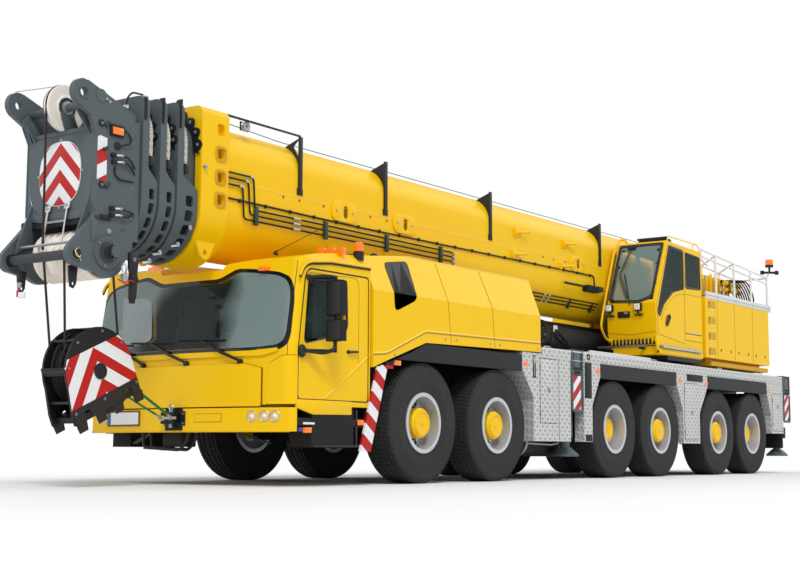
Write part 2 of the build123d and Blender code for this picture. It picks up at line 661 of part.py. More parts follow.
with BuildPart() as turntable:
    with BuildSketch(Plane.XY.offset(DECK_TOP + 25)):
        with Locations((0, at(SLEW_STATION))):
            Circle(RING_RADIUS)
    extrude(amount=TURNTABLE_BOTTOM - DECK_TOP - 25)
    with Locations((0, at((PLATE_FRONT + PLATE_REAR) / 2), (TURNTABLE_BOTTOM + TURNTABLE_TOP) / 2)):
        Box(2 * CHEEK_OUTER, PLATE_REAR - PLATE_FRONT, TURNTABLE_TOP - TURNTABLE_BOTTOM)
    with Locations((0, at(SLEW_STATION), (TURNTABLE_BOTTOM + TURNTABLE_TOP) / 2)):
        Box(2800, 1300, TURNTABLE_TOP - TURNTABLE_BOTTOM)
    with Locations((0, at(9660), (TURNTABLE_BOTTOM + TURNTABLE_TOP) / 2)):
        Box(2800, 2520, TURNTABLE_TOP - TURNTABLE_BOTTOM)
    for side, sign in SIDES:
        with BuildSketch(across_plane(sign * CHEEK_INNER)):
            with BuildLine():
                Polyline(*side_view(CHEEK), close=True)
            make_face()
        extrude(amount=sign * (CHEEK_OUTER - CHEEK_INNER))
        # lift cylinder ears
        with Locations((sign * 170, at(LIFT_BASE[0]), (TURNTABLE_TOP + LIFT_BASE[1]) / 2)):
            Box(50, 300, LIFT_BASE[1] - TURNTABLE_TOP)
        with BuildSketch(across_plane(sign * 145)):
            with Locations((at(LIFT_BASE[0]), LIFT_BASE[1])):
                Circle(150)
        extrude(amount=sign * 50)
    with BuildSketch(across_plane(-CHEEK_OUTER - 20)):
        with Locations((at(BOOM_PIVOT[0]), BOOM_PIVOT[1])):
            Circle(BOOM_PIN_RADIUS)
    extrude(amount=2 * (CHEEK_OUTER + 20))
    with BuildSketch(across_plane(-195)):
        with Locations((at(LIFT_BASE[0]), LIFT_BASE[1])):
            Circle(LIFT_PIN_RADIUS)
    extrude(amount=390)
finish(turntable.part, "turntable")

# ---------------------------------------------------------------- machinery housing
HOUSING_FRONT = 8130
HOUSING_REAR = 10935
HOUSING_BOTTOM = 1900
HOUSING_TOP = 2900
HOUSING_INNER = 700
HOUSING_OUTER = 1425
DRUM = (11150, 2390)

with BuildPart() as machinery_housing:
    for side, sign in SIDES:
        with Locations((sign * (HOUSING_INNER + HOUSING_OUTER) / 2, at((HOUSING_FRONT + HOUSING_REAR) / 2),
                        (HOUSING_BOTTOM + HOUSING_TOP) / 2)):
            Box(HOUSING_OUTER - HOUSING_INNER, HOUSING_REAR - HOUSING_FRONT, HOUSING_TOP - HOUSING_BOTTOM)
        with Locations((sign * 1000, at(9700), (HOUSING_BOTTOM + TURNTABLE_TOP) / 2)):
            Box(500, 2400, HOUSING_BOTTOM - TURNTABLE_TOP)
    # winch behind the boom foot: drum between two flanges on a cross beam
    with BuildSketch(across_plane(-HOUSING_INNER)):
        with Locations((at(DRUM[0]), DRUM[1])):
            Circle(240)
    extrude(amount=2 * HOUSING_INNER)
    for side, sign in SIDES:
        with Locations((sign * (HOUSING_INNER + 20), at((HOUSING_REAR + DRUM[0] + 260) / 2 - 50), DRUM[1])):
            Box(40, DRUM[0] + 260 - HOUSING_REAR + 100, 520)
    for across in (-450, 430):
        with BuildSketch(across_plane(across)):
            with Locations((at(DRUM[0]), DRUM[1])):
                Circle(300)
        extrude(amount=20)
finish(machinery_housing.part, "machinery_housing")

# ---------------------------------------------------------------- operator's cab
UPPER_INNER_X = 570
UPPER_OUTER_X = 1400
UPPER_WALL = 40
# station, height of the operator cab's side outline
UPPER_OUTLINE = ((6350, 2120), (6300, 2640), (6740, 3650), (8050, 3610), (8050, 1950), (6400, 1950))
UPPER_HOLLOW = ((6395, 2160), (6345, 2650), (6785, 3600), (8010, 3565), (8010, 2000), (6440, 2000))
UPPER_DOOR_GLASS = (
    (6380, 2520), (6480, 2430), (6640, 2640), (6960, 2860), (7340, 2930), (7330, 3540), (6820, 3560),
)
UPPER_REAR_GLASS = ((7430, 2960), (7430, 3540), (7990, 3520), (8010, 2990))

with BuildPart() as upper_cab:
    with BuildSketch(across_plane(UPPER_INNER_X)):
        with BuildLine():
            Polyline(*side_view(UPPER_OUTLINE), close=True)
        make_face()
    extrude(amount=UPPER_OUTER_X - UPPER_INNER_X)
    with BuildSketch(across_plane(UPPER_INNER_X + UPPER_WALL)):
        with BuildLine():
            Polyline(*side_view(UPPER_HOLLOW), close=True)
        make_face()
    extrude(amount=UPPER_OUTER_X - UPPER_INNER_X - 2 * UPPER_WALL, mode=Mode.SUBTRACT)
    # windscreen, side windows on both sides
    with Locations(((UPPER_INNER_X + UPPER_OUTER_X) / 2, at(6480), 3140)):
        Box(UPPER_OUTER_X - UPPER_INNER_X - 2 * UPPER_WALL - 20, 700, 900, mode=Mode.SUBTRACT)
    for glass in (UPPER_DOOR_GLASS, UPPER_REAR_GLASS):
        with BuildSketch(across_plane(UPPER_INNER_X - 20)):
            with BuildLine():
                Polyline(*side_view(glass), close=True)
            make_face()
        extrude(amount=UPPER_OUTER_X - UPPER_INNER_X + 40, mode=Mode.SUBTRACT)
    # platform under the cab
    with Locations(((UPPER_INNER_X + 60 + UPPER_OUTER_X) / 2, at(7200), 1900)):
        Box(UPPER_OUTER_X - UPPER_INNER_X - 60, 1600, 100)
    # operator's seat
    with Locations(((UPPER_INNER_X + UPPER_OUTER_X) / 2, at(7450), 2200)):
        Box(360, 400, 420)
    with Locations(((UPPER_INNER_X + UPPER_OUTER_X) / 2, at(7400), 2470)):
        Box(480, 500, 140)
    with Locations(((UPPER_INNER_X + UPPER_OUTER_X) / 2, at(7650), 2800)):
        Box(460, 100, 620)
finish(upper_cab.part, "upper_cab")

# ---------------------------------------------------------------- lift cylinder
EYE_HALF_WIDTH = 140

with BuildPart() as lift_cylinder_barrel:
    with BuildSketch(Plane.XZ.offset(-at(BARREL_FRONT))):
        with Locations((0, LIFT_BASE[1])):
            Circle(BARREL_RADIUS)
    extrude(amount=-(LIFT_BASE[0] - 230 - BARREL_FRONT))
    with BuildSketch(across_plane(-EYE_HALF_WIDTH)):
        with Locations((at(LIFT_BASE[0]), LIFT_BASE[1])):
            Circle(150)
        with Locations((at(LIFT_BASE[0] - 150), LIFT_BASE[1])):
            Rectangle(300, 300)
    extrude(amount=2 * EYE_HALF_WIDTH)
    with BuildSketch(across_plane(-EYE_HALF_WIDTH)):
        with Locations((at(LIFT_BASE[0]), LIFT_BASE[1])):
            Circle(LIFT_PIN_RADIUS + RUNNING_GAP)
    extrude(amount=2 * EYE_HALF_WIDTH, mode=Mode.SUBTRACT)
    with BuildSketch(Plane.XZ.offset(-at(BARREL_FRONT))):
        with Locations((0, LIFT_BASE[1])):
            Circle(ROD_RADIUS + RUNNING_GAP)
    extrude(amount=-2700, mode=Mode.SUBTRACT)
finish(lift_cylinder_barrel.part, "lift_cylinder_barrel")

ROD_LENGTH = 3390
ROD_EYE_RADIUS = 170
ROD_EYE_HALF_WIDTH = 160

with BuildPart() as lift_cylinder_rod:
    with BuildSketch(Plane.XZ.offset(-at(LIFT_EYE_STATION))):
        with Locations((0, LIFT_BASE[1])):
            Circle(ROD_RADIUS)
    extrude(amount=-ROD_LENGTH)
    with BuildSketch(across_plane(-ROD_EYE_HALF_WIDTH)):
        with Locations((at(LIFT_EYE_STATION), LIFT_BASE[1])):
            Circle(ROD_EYE_RADIUS)
    extrude(amount=2 * ROD_EYE_HALF_WIDTH)
finish(lift_cylinder_rod.part, "lift_cylinder_rod")

# ---------------------------------------------------------------- boom sections


def boom_outline(half_width, top, bottom, corner):
    """End view of a boom tube: flat top, rounded shoulders, straight sides, half-round belly."""
    belly = bottom + half_width
    shoulder = corner * (1 - sin(radians(45)))
    under = ThreePointArc((-half_width, belly), (0, bottom), (half_width, belly))
    left = Line(under @ 1, (half_width, top - corner))
    left_corner = ThreePointArc(left @ 1, (half_width - shoulder, top - shoulder),
                                (half_width - corner, top))
    crown = Line(left_corner @ 1, (-half_width + corner, top))
    right_corner = ThreePointArc(crown @ 1, (-half_width + shoulder, top - shoulder),
                                 (-half_width, top - corner))
    Line(right_corner @ 1, under @ 0)


def ring(front, rear, outer, inner):
    """Hollow length of boom between two stations; outer and inner are outline sizes."""
    with BuildPart() as shell:
        for outline, mode in ((outer, Mode.ADD), (inner, Mode.SUBTRACT)):
            with BuildSketch(Plane.XZ.offset(-at(front))):
                with BuildLine():
                    boom_outline(*outline)
                make_face()
            extrude(amount=-(rear - front), mode=mode)
    return shell.part


def section_outline(index, wall=0):
    """Half-width, top, bottom and shoulder radius of the boom's index-th tube."""
    inset = index * SECTION_STEP + wall
    return (BOOM_HALF_WIDTH - inset, BOOM_TOP - inset, BOOM_BOTTOM + inset, SHOULDER_RADIUS - inset)


SHOULDER_RADIUS = 370
FOOT_FRONT = 9760
BOOM_REAR = 10250
# station, height of the lug under each side of the base collar
COLLAR_LUG = ((-2750, 2600), (-2640, 2390), (-2500, 2390), (-2380, 2600))
CHEEK_ACROSS = 175
CHEEK_THICKNESS = 50
# station, height of the cheeks that take the lift cylinder
LIFT_CHEEK = ((3850, 2500), (4120, 1960), (4480, 1960), (4750, 2500))
COLLAR_SHOULDER = 85
COLLAR_STEP = 12

base_tube = ring(-2400, BOOM_REAR, section_outline(0), section_outline(0, BOOM_WALL))
base_collar_outline = (BOOM_HALF_WIDTH + 75, 3950, 2290, COLLAR_SHOULDER)
base_collar = ring(-2760, -2350, base_collar_outline, section_outline(0, BOOM_WALL))

with BuildPart() as boom_base:
    add(base_tube)
    add(base_collar)
    for side, sign in SIDES:
        # pockets in the collar's sides
        for height in (2980, 3220, 3470, 3730):
            with BuildSketch(across_plane(sign * (BOOM_HALF_WIDTH + 20))):
                with Locations((at(-2470), height)):
                    RectangleRounded(110, 130, 35)
            extrude(amount=sign * 70, mode=Mode.SUBTRACT)
        # lug under the collar
        with BuildSketch(across_plane(sign * 440)):
            with BuildLine():
                Polyline(*side_view(COLLAR_LUG), close=True)
            make_face()
            with Locations((at(-2570), 2420)):
                Circle(75)
                Circle(32, mode=Mode.SUBTRACT)
        extrude(amount=sign * 30)
    # closed foot with the pivot bush, its top rear corner cut off
    with BuildSketch(Plane.XZ.offset(-at(FOOT_FRONT))):
        with BuildLine():
            boom_outline(*section_outline(0))
        make_face()
    extrude(amount=-(BOOM_REAR - FOOT_FRONT))
    with BuildSketch(across_plane(-BOOM_HALF_WIDTH - 10)):
        with BuildLine():
            Polyline(*side_view(((9800, 3875), (BOOM_REAR + 10, 3300), (BOOM_REAR + 10, 3875))), close=True)
        make_face()
    extrude(amount=2 * BOOM_HALF_WIDTH + 20, mode=Mode.SUBTRACT)
    with BuildSketch(across_plane(-CHEEK_INNER + 5)):
        with Locations((at(BOOM_PIVOT[0]), BOOM_PIVOT[1])):
            Circle(190)
    extrude(amount=2 * (CHEEK_INNER - 5))
    with BuildSketch(across_plane(-CHEEK_INNER)):
        with Locations((at(BOOM_PIVOT[0]), BOOM_PIVOT[1])):
            Circle(BOOM_PIN_RADIUS + RUNNING_GAP)
    extrude(amount=2 * CHEEK_INNER, mode=Mode.SUBTRACT)
    for side, sign in SIDES:
        with BuildSketch(across_plane(sign * CHEEK_ACROSS)):
            with BuildLine():
                Polyline(*side_view(LIFT_CHEEK), close=True)
            make_face()
        extrude(amount=sign * CHEEK_THICKNESS)
        with BuildSketch(across_plane(sign * (CHEEK_ACROSS + CHEEK_THICKNESS))):
            with Locations((at(LIFT_EYE_STATION), LIFT_BASE[1])):
                Circle(LIFT_PIN_RADIUS)
        extrude(amount=sign * 25)
    with BuildSketch(Plane.XZ.offset(-at(3800))):
        with BuildLine():
            boom_outline(*section_outline(0, BOOM_WALL))
        make_face()
    extrude(amount=-1000, mode=Mode.SUBTRACT)
finish(boom_base.part, "boom_base")

# name, index, collar's first station, collar's last station, tube's rear station
MID_SECTIONS = (
    ("boom_section_1", 1, -3075, -2780, 9700),
    ("boom_section_2", 2, -3310, -3095, 9550),
    ("boom_section_3", 3, -3540, -3330, 9400),
)

# degrees below horizontal of the holes in a collar's band, on each side
COLLAR_HOLES = (-6, 10, 26, 42, 58, 74)
COLLAR_BAND = 30
REAR_FLANGE_THICKNESS = 22
FLANGE_THICKNESS = 85
# height of a collar's open upper half at its front flange and at its rear
COLLAR_OPEN = (3160, 3030)


def collar(front, rear, outer, inside):
    """Collar with a front flange and, below its open upper half, a thin band with holes behind it."""
    half_width, top, bottom, shoulder = outer
    under_band = (half_width - COLLAR_BAND, top - COLLAR_BAND, bottom + COLLAR_BAND, shoulder - COLLAR_BAND)
    band = ring(front, rear, outer, under_band)
    front_flange = ring(front, front + FLANGE_THICKNESS, outer, inside)
    rear_flange = ring(rear - REAR_FLANGE_THICKNESS, rear, outer, inside)
    flange_rear = front + FLANGE_THICKNESS
    with BuildPart() as body:
        add(band)
        add(front_flange)
        add(rear_flange)
        for side, sign in SIDES:
            for angle in COLLAR_HOLES:
                outward = (sign * cos(radians(angle)), 0, -sin(radians(angle)))
                reach = half_width - 60
                open_length = rear - REAR_FLANGE_THICKNESS - flange_rear
                station = flange_rear + open_length / 2
                centre = (reach * outward[0], at(station), bottom + half_width + reach * outward[2])
                with BuildSketch(Plane(origin=centre, x_dir=(0, 1, 0), z_dir=outward)):
                    RectangleRounded(min(110, open_length - 32), 112, 25)
                extrude(amount=90, mode=Mode.SUBTRACT)
        with BuildSketch(across_plane(-half_width - 5)):
            with BuildLine():
                Polyline(*side_view(((flange_rear, COLLAR_OPEN[0]), (rear + 5, COLLAR_OPEN[1]),
                                     (rear + 5, top + 5), (flange_rear, top + 5))), close=True)
            make_face()
        extrude(amount=2 * half_width + 10, mode=Mode.SUBTRACT)
    return body.part


for name, index, collar_front, collar_rear, rear in MID_SECTIONS:
    step = COLLAR_STEP * index
    collar_outline = (BOOM_HALF_WIDTH + 60 - step, 3930 - step, 2290 + step, COLLAR_SHOULDER)
    inside = section_outline(index, BOOM_WALL)
    section_tube = ring(collar_front, rear, section_outline(index), inside)
    section_collar = collar(collar_front, collar_rear, collar_outline, inside)
    with BuildPart() as boom_section:
        add(section_tube)
        add(section_collar)
    finish(boom_section.part, name)

HEAD_TUBE_FRONT = -3640
HEAD_REAR = 9250
# station, height of a head side plate
HEAD_PLATE_OUTLINE = (
    (-4120, 3400), (-4200, 3560), (-4330, 3630), (-4250, 3885), (-3630, 3660), (-3630, 2330), (-3760, 2120),
    (-4100, 2050), (-4330, 2088), (-4400, 2290), (-4120, 2600),
)
# upper ear with its bore, lower ear with the cross bar, and the swelling about the sheave axle
EAR_CENTRE = (-4300, 3760)
LOBE_CENTRE = (-4330, 2200)
EAR_RADIUS = 130
LOBE_RADIUS = 112
AXLE_BOSS_RADIUS = 245
AXLE_END = 145

head_tube = ring(HEAD_TUBE_FRONT, HEAD_REAR, section_outline(4), section_outline(4, BOOM_WALL))

with BuildPart() as boom_head:
    add(head_tube)
    for side, sign in SIDES:
        with BuildSketch(across_plane(sign * (HEAD_HALF_WIDTH - HEAD_PLATE))):
            with BuildLine():
                Polyline(*side_view(HEAD_PLATE_OUTLINE), close=True)
            make_face()
            with Locations((at(EAR_CENTRE[0]), EAR_CENTRE[1])):
                Circle(EAR_RADIUS)
            with Locations((at(LOBE_CENTRE[0]), LOBE_CENTRE[1])):
                Circle(LOBE_RADIUS)
            with Locations((at(SHEAVE_AXLE[0]), SHEAVE_AXLE[1])):
                Circle(AXLE_BOSS_RADIUS)
        extrude(amount=sign * HEAD_PLATE)
    # front plate, bulkhead at the tube and top plate
    with Locations((0, at(-4105), 3005)):
        Box(2 * HEAD_HALF_WIDTH - 10, 30, 930)
    with Locations((0, at(-3600), 3000)):
        Box(2 * HEAD_HALF_WIDTH - 10, 90, 1200)
    # ear bores for a jib and for the lower cross bar
    with BuildSketch(across_plane(-HEAD_HALF_WIDTH)):
        with Locations((at(EAR_CENTRE[0]), EAR_CENTRE[1])):
            Circle(45)
    extrude(amount=2 * HEAD_HALF_WIDTH, mode=Mode.SUBTRACT)
    # bar across the two lower ears, and a boss on each side plate
    with BuildSketch(across_plane(-HEAD_HALF_WIDTH)):
        with Locations((at(LOBE_CENTRE[0]), LOBE_CENTRE[1])):
            Circle(42)
    extrude(amount=2 * HEAD_HALF_WIDTH)
    for side, sign in SIDES:
        with BuildSketch(across_plane(sign * HEAD_HALF_WIDTH)):
            with Locations((at(SHEAVE_AXLE[0]), SHEAVE_AXLE[1])):
                Circle(130)
        extrude(amount=sign * 25)
    # lower sheave axle and the two upper sheaves on their axle
    with BuildSketch(across_plane(-HEAD_HALF_WIDTH - AXLE_END)):
        with Locations((at(SHEAVE_AXLE[0]), SHEAVE_AXLE[1])):
            Circle(60)
    extrude(amount=2 * (HEAD_HALF_WIDTH + AXLE_END))
    with BuildSketch(across_plane(-HEAD_HALF_WIDTH + HEAD_PLATE)):
        with Locations((at(-4120), 3700), (at(-3760), 3700)):
            Circle(40)
    extrude(amount=2 * (HEAD_HALF_WIDTH - HEAD_PLATE))
    with BuildSketch(across_plane(-30)):
        with Locations((at(-4120), 3700)):
            Circle(225)
        with Locations((at(-3760), 3700)):
            Circle(130)
    extrude(amount=60)
finish(boom_head.part, "boom_head")

# the first sheave, the spacing and the thickness of one sheave across the vehicle
PACK_FIRST = -225
PACK_PITCH = 100
PACK_DISC = 84
PACK_HALF_LENGTH = 420

with BuildPart() as head_sheaves:
    for index in range(7):
        across = PACK_FIRST + index * PACK_PITCH
        with BuildSketch(across_plane(across - PACK_DISC / 2)):
            with Locations((at(SHEAVE_AXLE[0]), SHEAVE_AXLE[1])):
                Circle(SHEAVE_RADIUS)
        extrude(amount=PACK_DISC)
    with BuildSketch(across_plane(-PACK_HALF_LENGTH)):
        with Locations((at(SHEAVE_AXLE[0]), SHEAVE_AXLE[1])):
            Circle(110)
    extrude(amount=2 * PACK_HALF_LENGTH)
    with BuildSketch(across_plane(-PACK_HALF_LENGTH)):
        with Locations((at(SHEAVE_AXLE[0]), SHEAVE_AXLE[1])):
            Circle(60 + RUNNING_GAP)
    extrude(amount=2 * PACK_HALF_LENGTH, mode=Mode.SUBTRACT)
finish(head_sheaves.part, "head_sheaves")

# ---------------------------------------------------------------- hook block
block_plane = Plane(
    origin=(BLOCK_ACROSS - BLOCK_HALF_WIDTH, at(BLOCK_CENTRE[0]), BLOCK_CENTRE[1]),
    x_dir=(0, cos(radians(BLOCK_TILT)), sin(radians(BLOCK_TILT))),
    z_dir=(1, 0, 0),
)
# along, up: lower corners of a side plate in the block's own tilted axes
PLATE_LOWER = ((-430, 0), (-480, -260), (-480, -380), (430, -380), (430, -260), (430, 0))

with BuildPart() as hook_block:
    for offset in (0, 2 * BLOCK_HALF_WIDTH - 30):
        with BuildSketch(block_plane.offset(offset)):
            Circle(430)
            with BuildLine():
                Polyline(*PLATE_LOWER, close=True)
            make_face()
            with Locations((-300, -330), (270, -330)):
                Circle(45, mode=Mode.SUBTRACT)
        extrude(amount=30)
    for index in range(5):
        with BuildSketch(block_plane.offset(42 + index * 56)):
            Circle(330)
        extrude(amount=42)
    with BuildSketch(block_plane):
        Circle(80)
    extrude(amount=2 * BLOCK_HALF_WIDTH)
    with BuildSketch(block_plane):
        with Locations((0, -340)):
            Rectangle(860, 60)
        with Locations((-395, 150)):
            Rectangle(20, 80)
    extrude(amount=2 * BLOCK_HALF_WIDTH)
finish(hook_block.part, "hook_block")
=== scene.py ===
"""Finishes, fittings and stage of a six-axle mobile crane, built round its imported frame.

Metres, +Z up, front of the vehicle towards -Y, its left side towards +X. Stations are distances
behind axle 1, as in the part's own source. Pieces are drawn as (across, station, height) and
vehicle() places them; at() turns a station into Y where a place is needed on its own.
"""

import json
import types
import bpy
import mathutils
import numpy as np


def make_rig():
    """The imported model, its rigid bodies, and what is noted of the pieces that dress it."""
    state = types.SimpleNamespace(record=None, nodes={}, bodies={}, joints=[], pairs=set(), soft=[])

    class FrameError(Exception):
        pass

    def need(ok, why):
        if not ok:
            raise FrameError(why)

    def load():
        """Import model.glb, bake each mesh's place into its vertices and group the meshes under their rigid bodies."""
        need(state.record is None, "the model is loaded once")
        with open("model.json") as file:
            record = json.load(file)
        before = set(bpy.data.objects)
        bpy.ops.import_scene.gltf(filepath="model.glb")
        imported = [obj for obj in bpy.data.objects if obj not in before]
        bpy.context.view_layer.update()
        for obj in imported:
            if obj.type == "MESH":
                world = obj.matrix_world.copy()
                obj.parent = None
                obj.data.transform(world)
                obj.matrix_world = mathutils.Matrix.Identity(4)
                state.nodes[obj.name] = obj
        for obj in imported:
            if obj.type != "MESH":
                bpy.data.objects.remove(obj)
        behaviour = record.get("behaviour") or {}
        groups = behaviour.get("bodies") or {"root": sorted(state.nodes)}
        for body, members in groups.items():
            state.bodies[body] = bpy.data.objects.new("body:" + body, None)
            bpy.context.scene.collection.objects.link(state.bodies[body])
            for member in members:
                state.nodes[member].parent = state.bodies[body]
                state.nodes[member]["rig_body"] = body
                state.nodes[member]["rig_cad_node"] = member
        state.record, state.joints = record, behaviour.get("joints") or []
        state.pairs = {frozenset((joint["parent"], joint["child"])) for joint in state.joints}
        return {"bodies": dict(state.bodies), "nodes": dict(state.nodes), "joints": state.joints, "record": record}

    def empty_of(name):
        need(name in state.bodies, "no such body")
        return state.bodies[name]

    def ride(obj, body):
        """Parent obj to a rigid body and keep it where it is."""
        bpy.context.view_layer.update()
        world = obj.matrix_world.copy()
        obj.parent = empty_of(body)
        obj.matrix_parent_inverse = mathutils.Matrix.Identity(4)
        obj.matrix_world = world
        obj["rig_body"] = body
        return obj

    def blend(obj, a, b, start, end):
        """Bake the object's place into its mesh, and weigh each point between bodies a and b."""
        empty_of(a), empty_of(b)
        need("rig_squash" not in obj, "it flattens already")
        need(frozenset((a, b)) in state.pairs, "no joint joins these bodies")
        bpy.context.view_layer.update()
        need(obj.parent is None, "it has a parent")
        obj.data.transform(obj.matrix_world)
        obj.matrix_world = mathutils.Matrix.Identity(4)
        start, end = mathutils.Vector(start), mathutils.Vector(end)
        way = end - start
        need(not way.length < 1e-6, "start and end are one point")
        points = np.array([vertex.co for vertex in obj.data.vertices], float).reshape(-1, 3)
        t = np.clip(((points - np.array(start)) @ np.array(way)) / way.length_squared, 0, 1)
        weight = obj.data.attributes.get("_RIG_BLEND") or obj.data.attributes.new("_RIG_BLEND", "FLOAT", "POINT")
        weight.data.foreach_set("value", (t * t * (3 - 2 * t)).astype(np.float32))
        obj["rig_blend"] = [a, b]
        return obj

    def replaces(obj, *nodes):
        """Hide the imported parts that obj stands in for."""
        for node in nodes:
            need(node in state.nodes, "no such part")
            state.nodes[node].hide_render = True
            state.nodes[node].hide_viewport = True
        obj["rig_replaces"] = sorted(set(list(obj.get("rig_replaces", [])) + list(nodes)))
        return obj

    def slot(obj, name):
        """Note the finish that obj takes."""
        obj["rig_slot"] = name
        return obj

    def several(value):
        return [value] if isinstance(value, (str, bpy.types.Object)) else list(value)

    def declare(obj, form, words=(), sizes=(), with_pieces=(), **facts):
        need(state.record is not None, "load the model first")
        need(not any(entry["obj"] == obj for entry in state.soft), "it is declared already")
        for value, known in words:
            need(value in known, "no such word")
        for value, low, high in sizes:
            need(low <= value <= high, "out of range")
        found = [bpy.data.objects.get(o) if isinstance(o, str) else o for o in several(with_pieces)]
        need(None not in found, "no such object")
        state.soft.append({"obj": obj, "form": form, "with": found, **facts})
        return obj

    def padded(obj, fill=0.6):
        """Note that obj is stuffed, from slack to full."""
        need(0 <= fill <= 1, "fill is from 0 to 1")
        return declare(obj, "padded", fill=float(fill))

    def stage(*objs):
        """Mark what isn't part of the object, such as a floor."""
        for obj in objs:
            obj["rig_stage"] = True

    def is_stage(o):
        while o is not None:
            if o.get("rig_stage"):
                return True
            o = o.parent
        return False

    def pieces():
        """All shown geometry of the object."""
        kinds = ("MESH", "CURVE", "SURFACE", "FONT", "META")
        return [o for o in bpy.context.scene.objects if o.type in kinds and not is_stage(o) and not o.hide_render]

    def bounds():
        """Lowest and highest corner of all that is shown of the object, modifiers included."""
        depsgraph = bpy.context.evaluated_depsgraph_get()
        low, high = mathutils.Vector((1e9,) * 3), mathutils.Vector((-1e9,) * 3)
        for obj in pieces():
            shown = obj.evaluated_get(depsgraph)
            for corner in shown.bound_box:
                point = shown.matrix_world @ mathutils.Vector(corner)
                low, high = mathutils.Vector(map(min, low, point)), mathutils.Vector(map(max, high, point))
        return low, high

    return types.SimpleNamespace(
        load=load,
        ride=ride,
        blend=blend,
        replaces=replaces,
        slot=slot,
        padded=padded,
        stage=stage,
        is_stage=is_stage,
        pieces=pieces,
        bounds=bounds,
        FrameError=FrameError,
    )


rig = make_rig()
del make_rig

bl_info = {
    "name": "Mobile Crane",
    "version": (1, 0, 0),
    "blender": (4, 5, 0),
    "location": "3D View > Sidebar > Mobile Crane",
    "description": "Finishes and fittings of a six-axle telescopic mobile crane",
    "category": "Add Mesh",
}

import json
import sys
from contextlib import contextmanager
from math import atan2, ceil, cos, degrees, hypot, pi, radians, sin, sqrt

import bmesh
import bpy
from mathutils import Matrix, Vector

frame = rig.load()
CAD_BOX = [list(corner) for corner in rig.bounds()]

AXLE_1_Y = -3.64
AXLES = (0.0, 1.59, 4.76, 6.26, 8.45, 9.92)
SIDES = (("left", 1), ("right", -1))
TYRE_RADIUS = 0.685
WHEEL_ACROSS = 1.285
OUTRIGGERS = (("front_left", 1, 3.61), ("front_right", -1, 3.25), ("rear_left", 1, 11.54),
    ("rear_right", -1, 11.18))


def at(station):
    """Y of a station behind axle 1."""
    return AXLE_1_Y + station


def srgb(red, green, blue):
    """Linear colour of an 8-bit display colour."""
    parts = [channel / 255 for channel in (red, green, blue)]
    return tuple(p / 12.92 if p <= 0.04045 else ((p + 0.055) / 1.055) ** 2.4 for p in parts)


# ------------------------------------------------------------------------------- properties
class CranePaints(bpy.types.PropertyGroup):
    """Colours a user would change."""

    body: bpy.props.FloatVectorProperty(
        name="Body paint", description="Carrier, superstructure and boom base",
        subtype="COLOR", min=0, max=1, default=srgb(250, 200, 0))
    head: bpy.props.FloatVectorProperty(
        name="Head paint", description="Boom head, collars and outrigger columns",
        subtype="COLOR", min=0, max=1, default=srgb(86, 95, 98))
    trim: bpy.props.FloatVectorProperty(
        name="Black trim", description="Chassis, fenders, mirrors and brackets",
        subtype="COLOR", min=0, max=1, default=srgb(19, 20, 22))
    warning: bpy.props.FloatVectorProperty(
        name="Warning stripes", description="Dark half of the striped boards",
        subtype="COLOR", min=0, max=1, default=srgb(188, 15, 10))
    lamp: bpy.props.FloatVectorProperty(
        name="Marker lamps", description="Side markers, roof lamps and beacons",
        subtype="COLOR", min=0, max=1, default=srgb(255, 120, 16))


class CraneSizes(bpy.types.PropertyGroup):
    """Sizes and counts a user would change."""

    tread_blocks: bpy.props.IntProperty(
        name="Tread blocks", description="Blocks round each rib of a tyre", default=84, min=40, max=120)
    tread_depth: bpy.props.FloatProperty(
        name="Tread depth", description="Depth of the grooves", unit="LENGTH", default=0.015,
        min=0.005, max=0.025)
    wheel_nuts: bpy.props.IntProperty(
        name="Wheel nuts", description="Nuts round each hub", default=20, min=8, max=32)
    rope: bpy.props.FloatProperty(
        name="Hoist rope", description="Diameter of the hoist rope", unit="LENGTH", default=0.026,
        min=0.01, max=0.04)
    hose: bpy.props.FloatProperty(
        name="Pipe", description="Diameter of the pipes along the boom", unit="LENGTH", default=0.026,
        min=0.01, max=0.05)
    chequer: bpy.props.FloatProperty(
        name="Chequer pitch", description="Pitch of the raised bars on the aluminium plate",
        unit="LENGTH", default=0.065, min=0.02, max=0.1)


def paints():
    return bpy.context.scene.crane_paints


def sizes():
    return bpy.context.scene.crane_sizes


# ------------------------------------------------------------------------------- materials
class Value:
    """A node's output that Python's operators can work on."""

    def __init__(self, surface, socket):
        self.surface = surface
        self.socket = socket

    def math(self, operation, *others):
        inputs = dict(enumerate((self, *others)))
        return self.surface.node("ShaderNodeMath", {"operation": operation}, inputs)

    def __add__(self, other):
        return self.math("ADD", other)

    __radd__ = __add__

    def __sub__(self, other):
        return self.math("SUBTRACT", other)

    def __rsub__(self, other):
        return (self * -1).math("ADD", other)

    def __mul__(self, other):
        return self.math("MULTIPLY", other)

    __rmul__ = __mul__

    def __truediv__(self, other):
        return self.math("DIVIDE", other)

    def __mod__(self, other):
        return self.math("FLOORED_MODULO", other)

    def __abs__(self):
        return self.math("ABSOLUTE")

    def __gt__(self, other):
        return self.math("GREATER_THAN", other)

    def __lt__(self, other):
        return self.math("LESS_THAN", other)

    def __and__(self, other):
        return self.math("MULTIPLY", other)

    def __or__(self, other):
        return self.math("MAXIMUM", other)

    def __invert__(self):
        return 1 - self


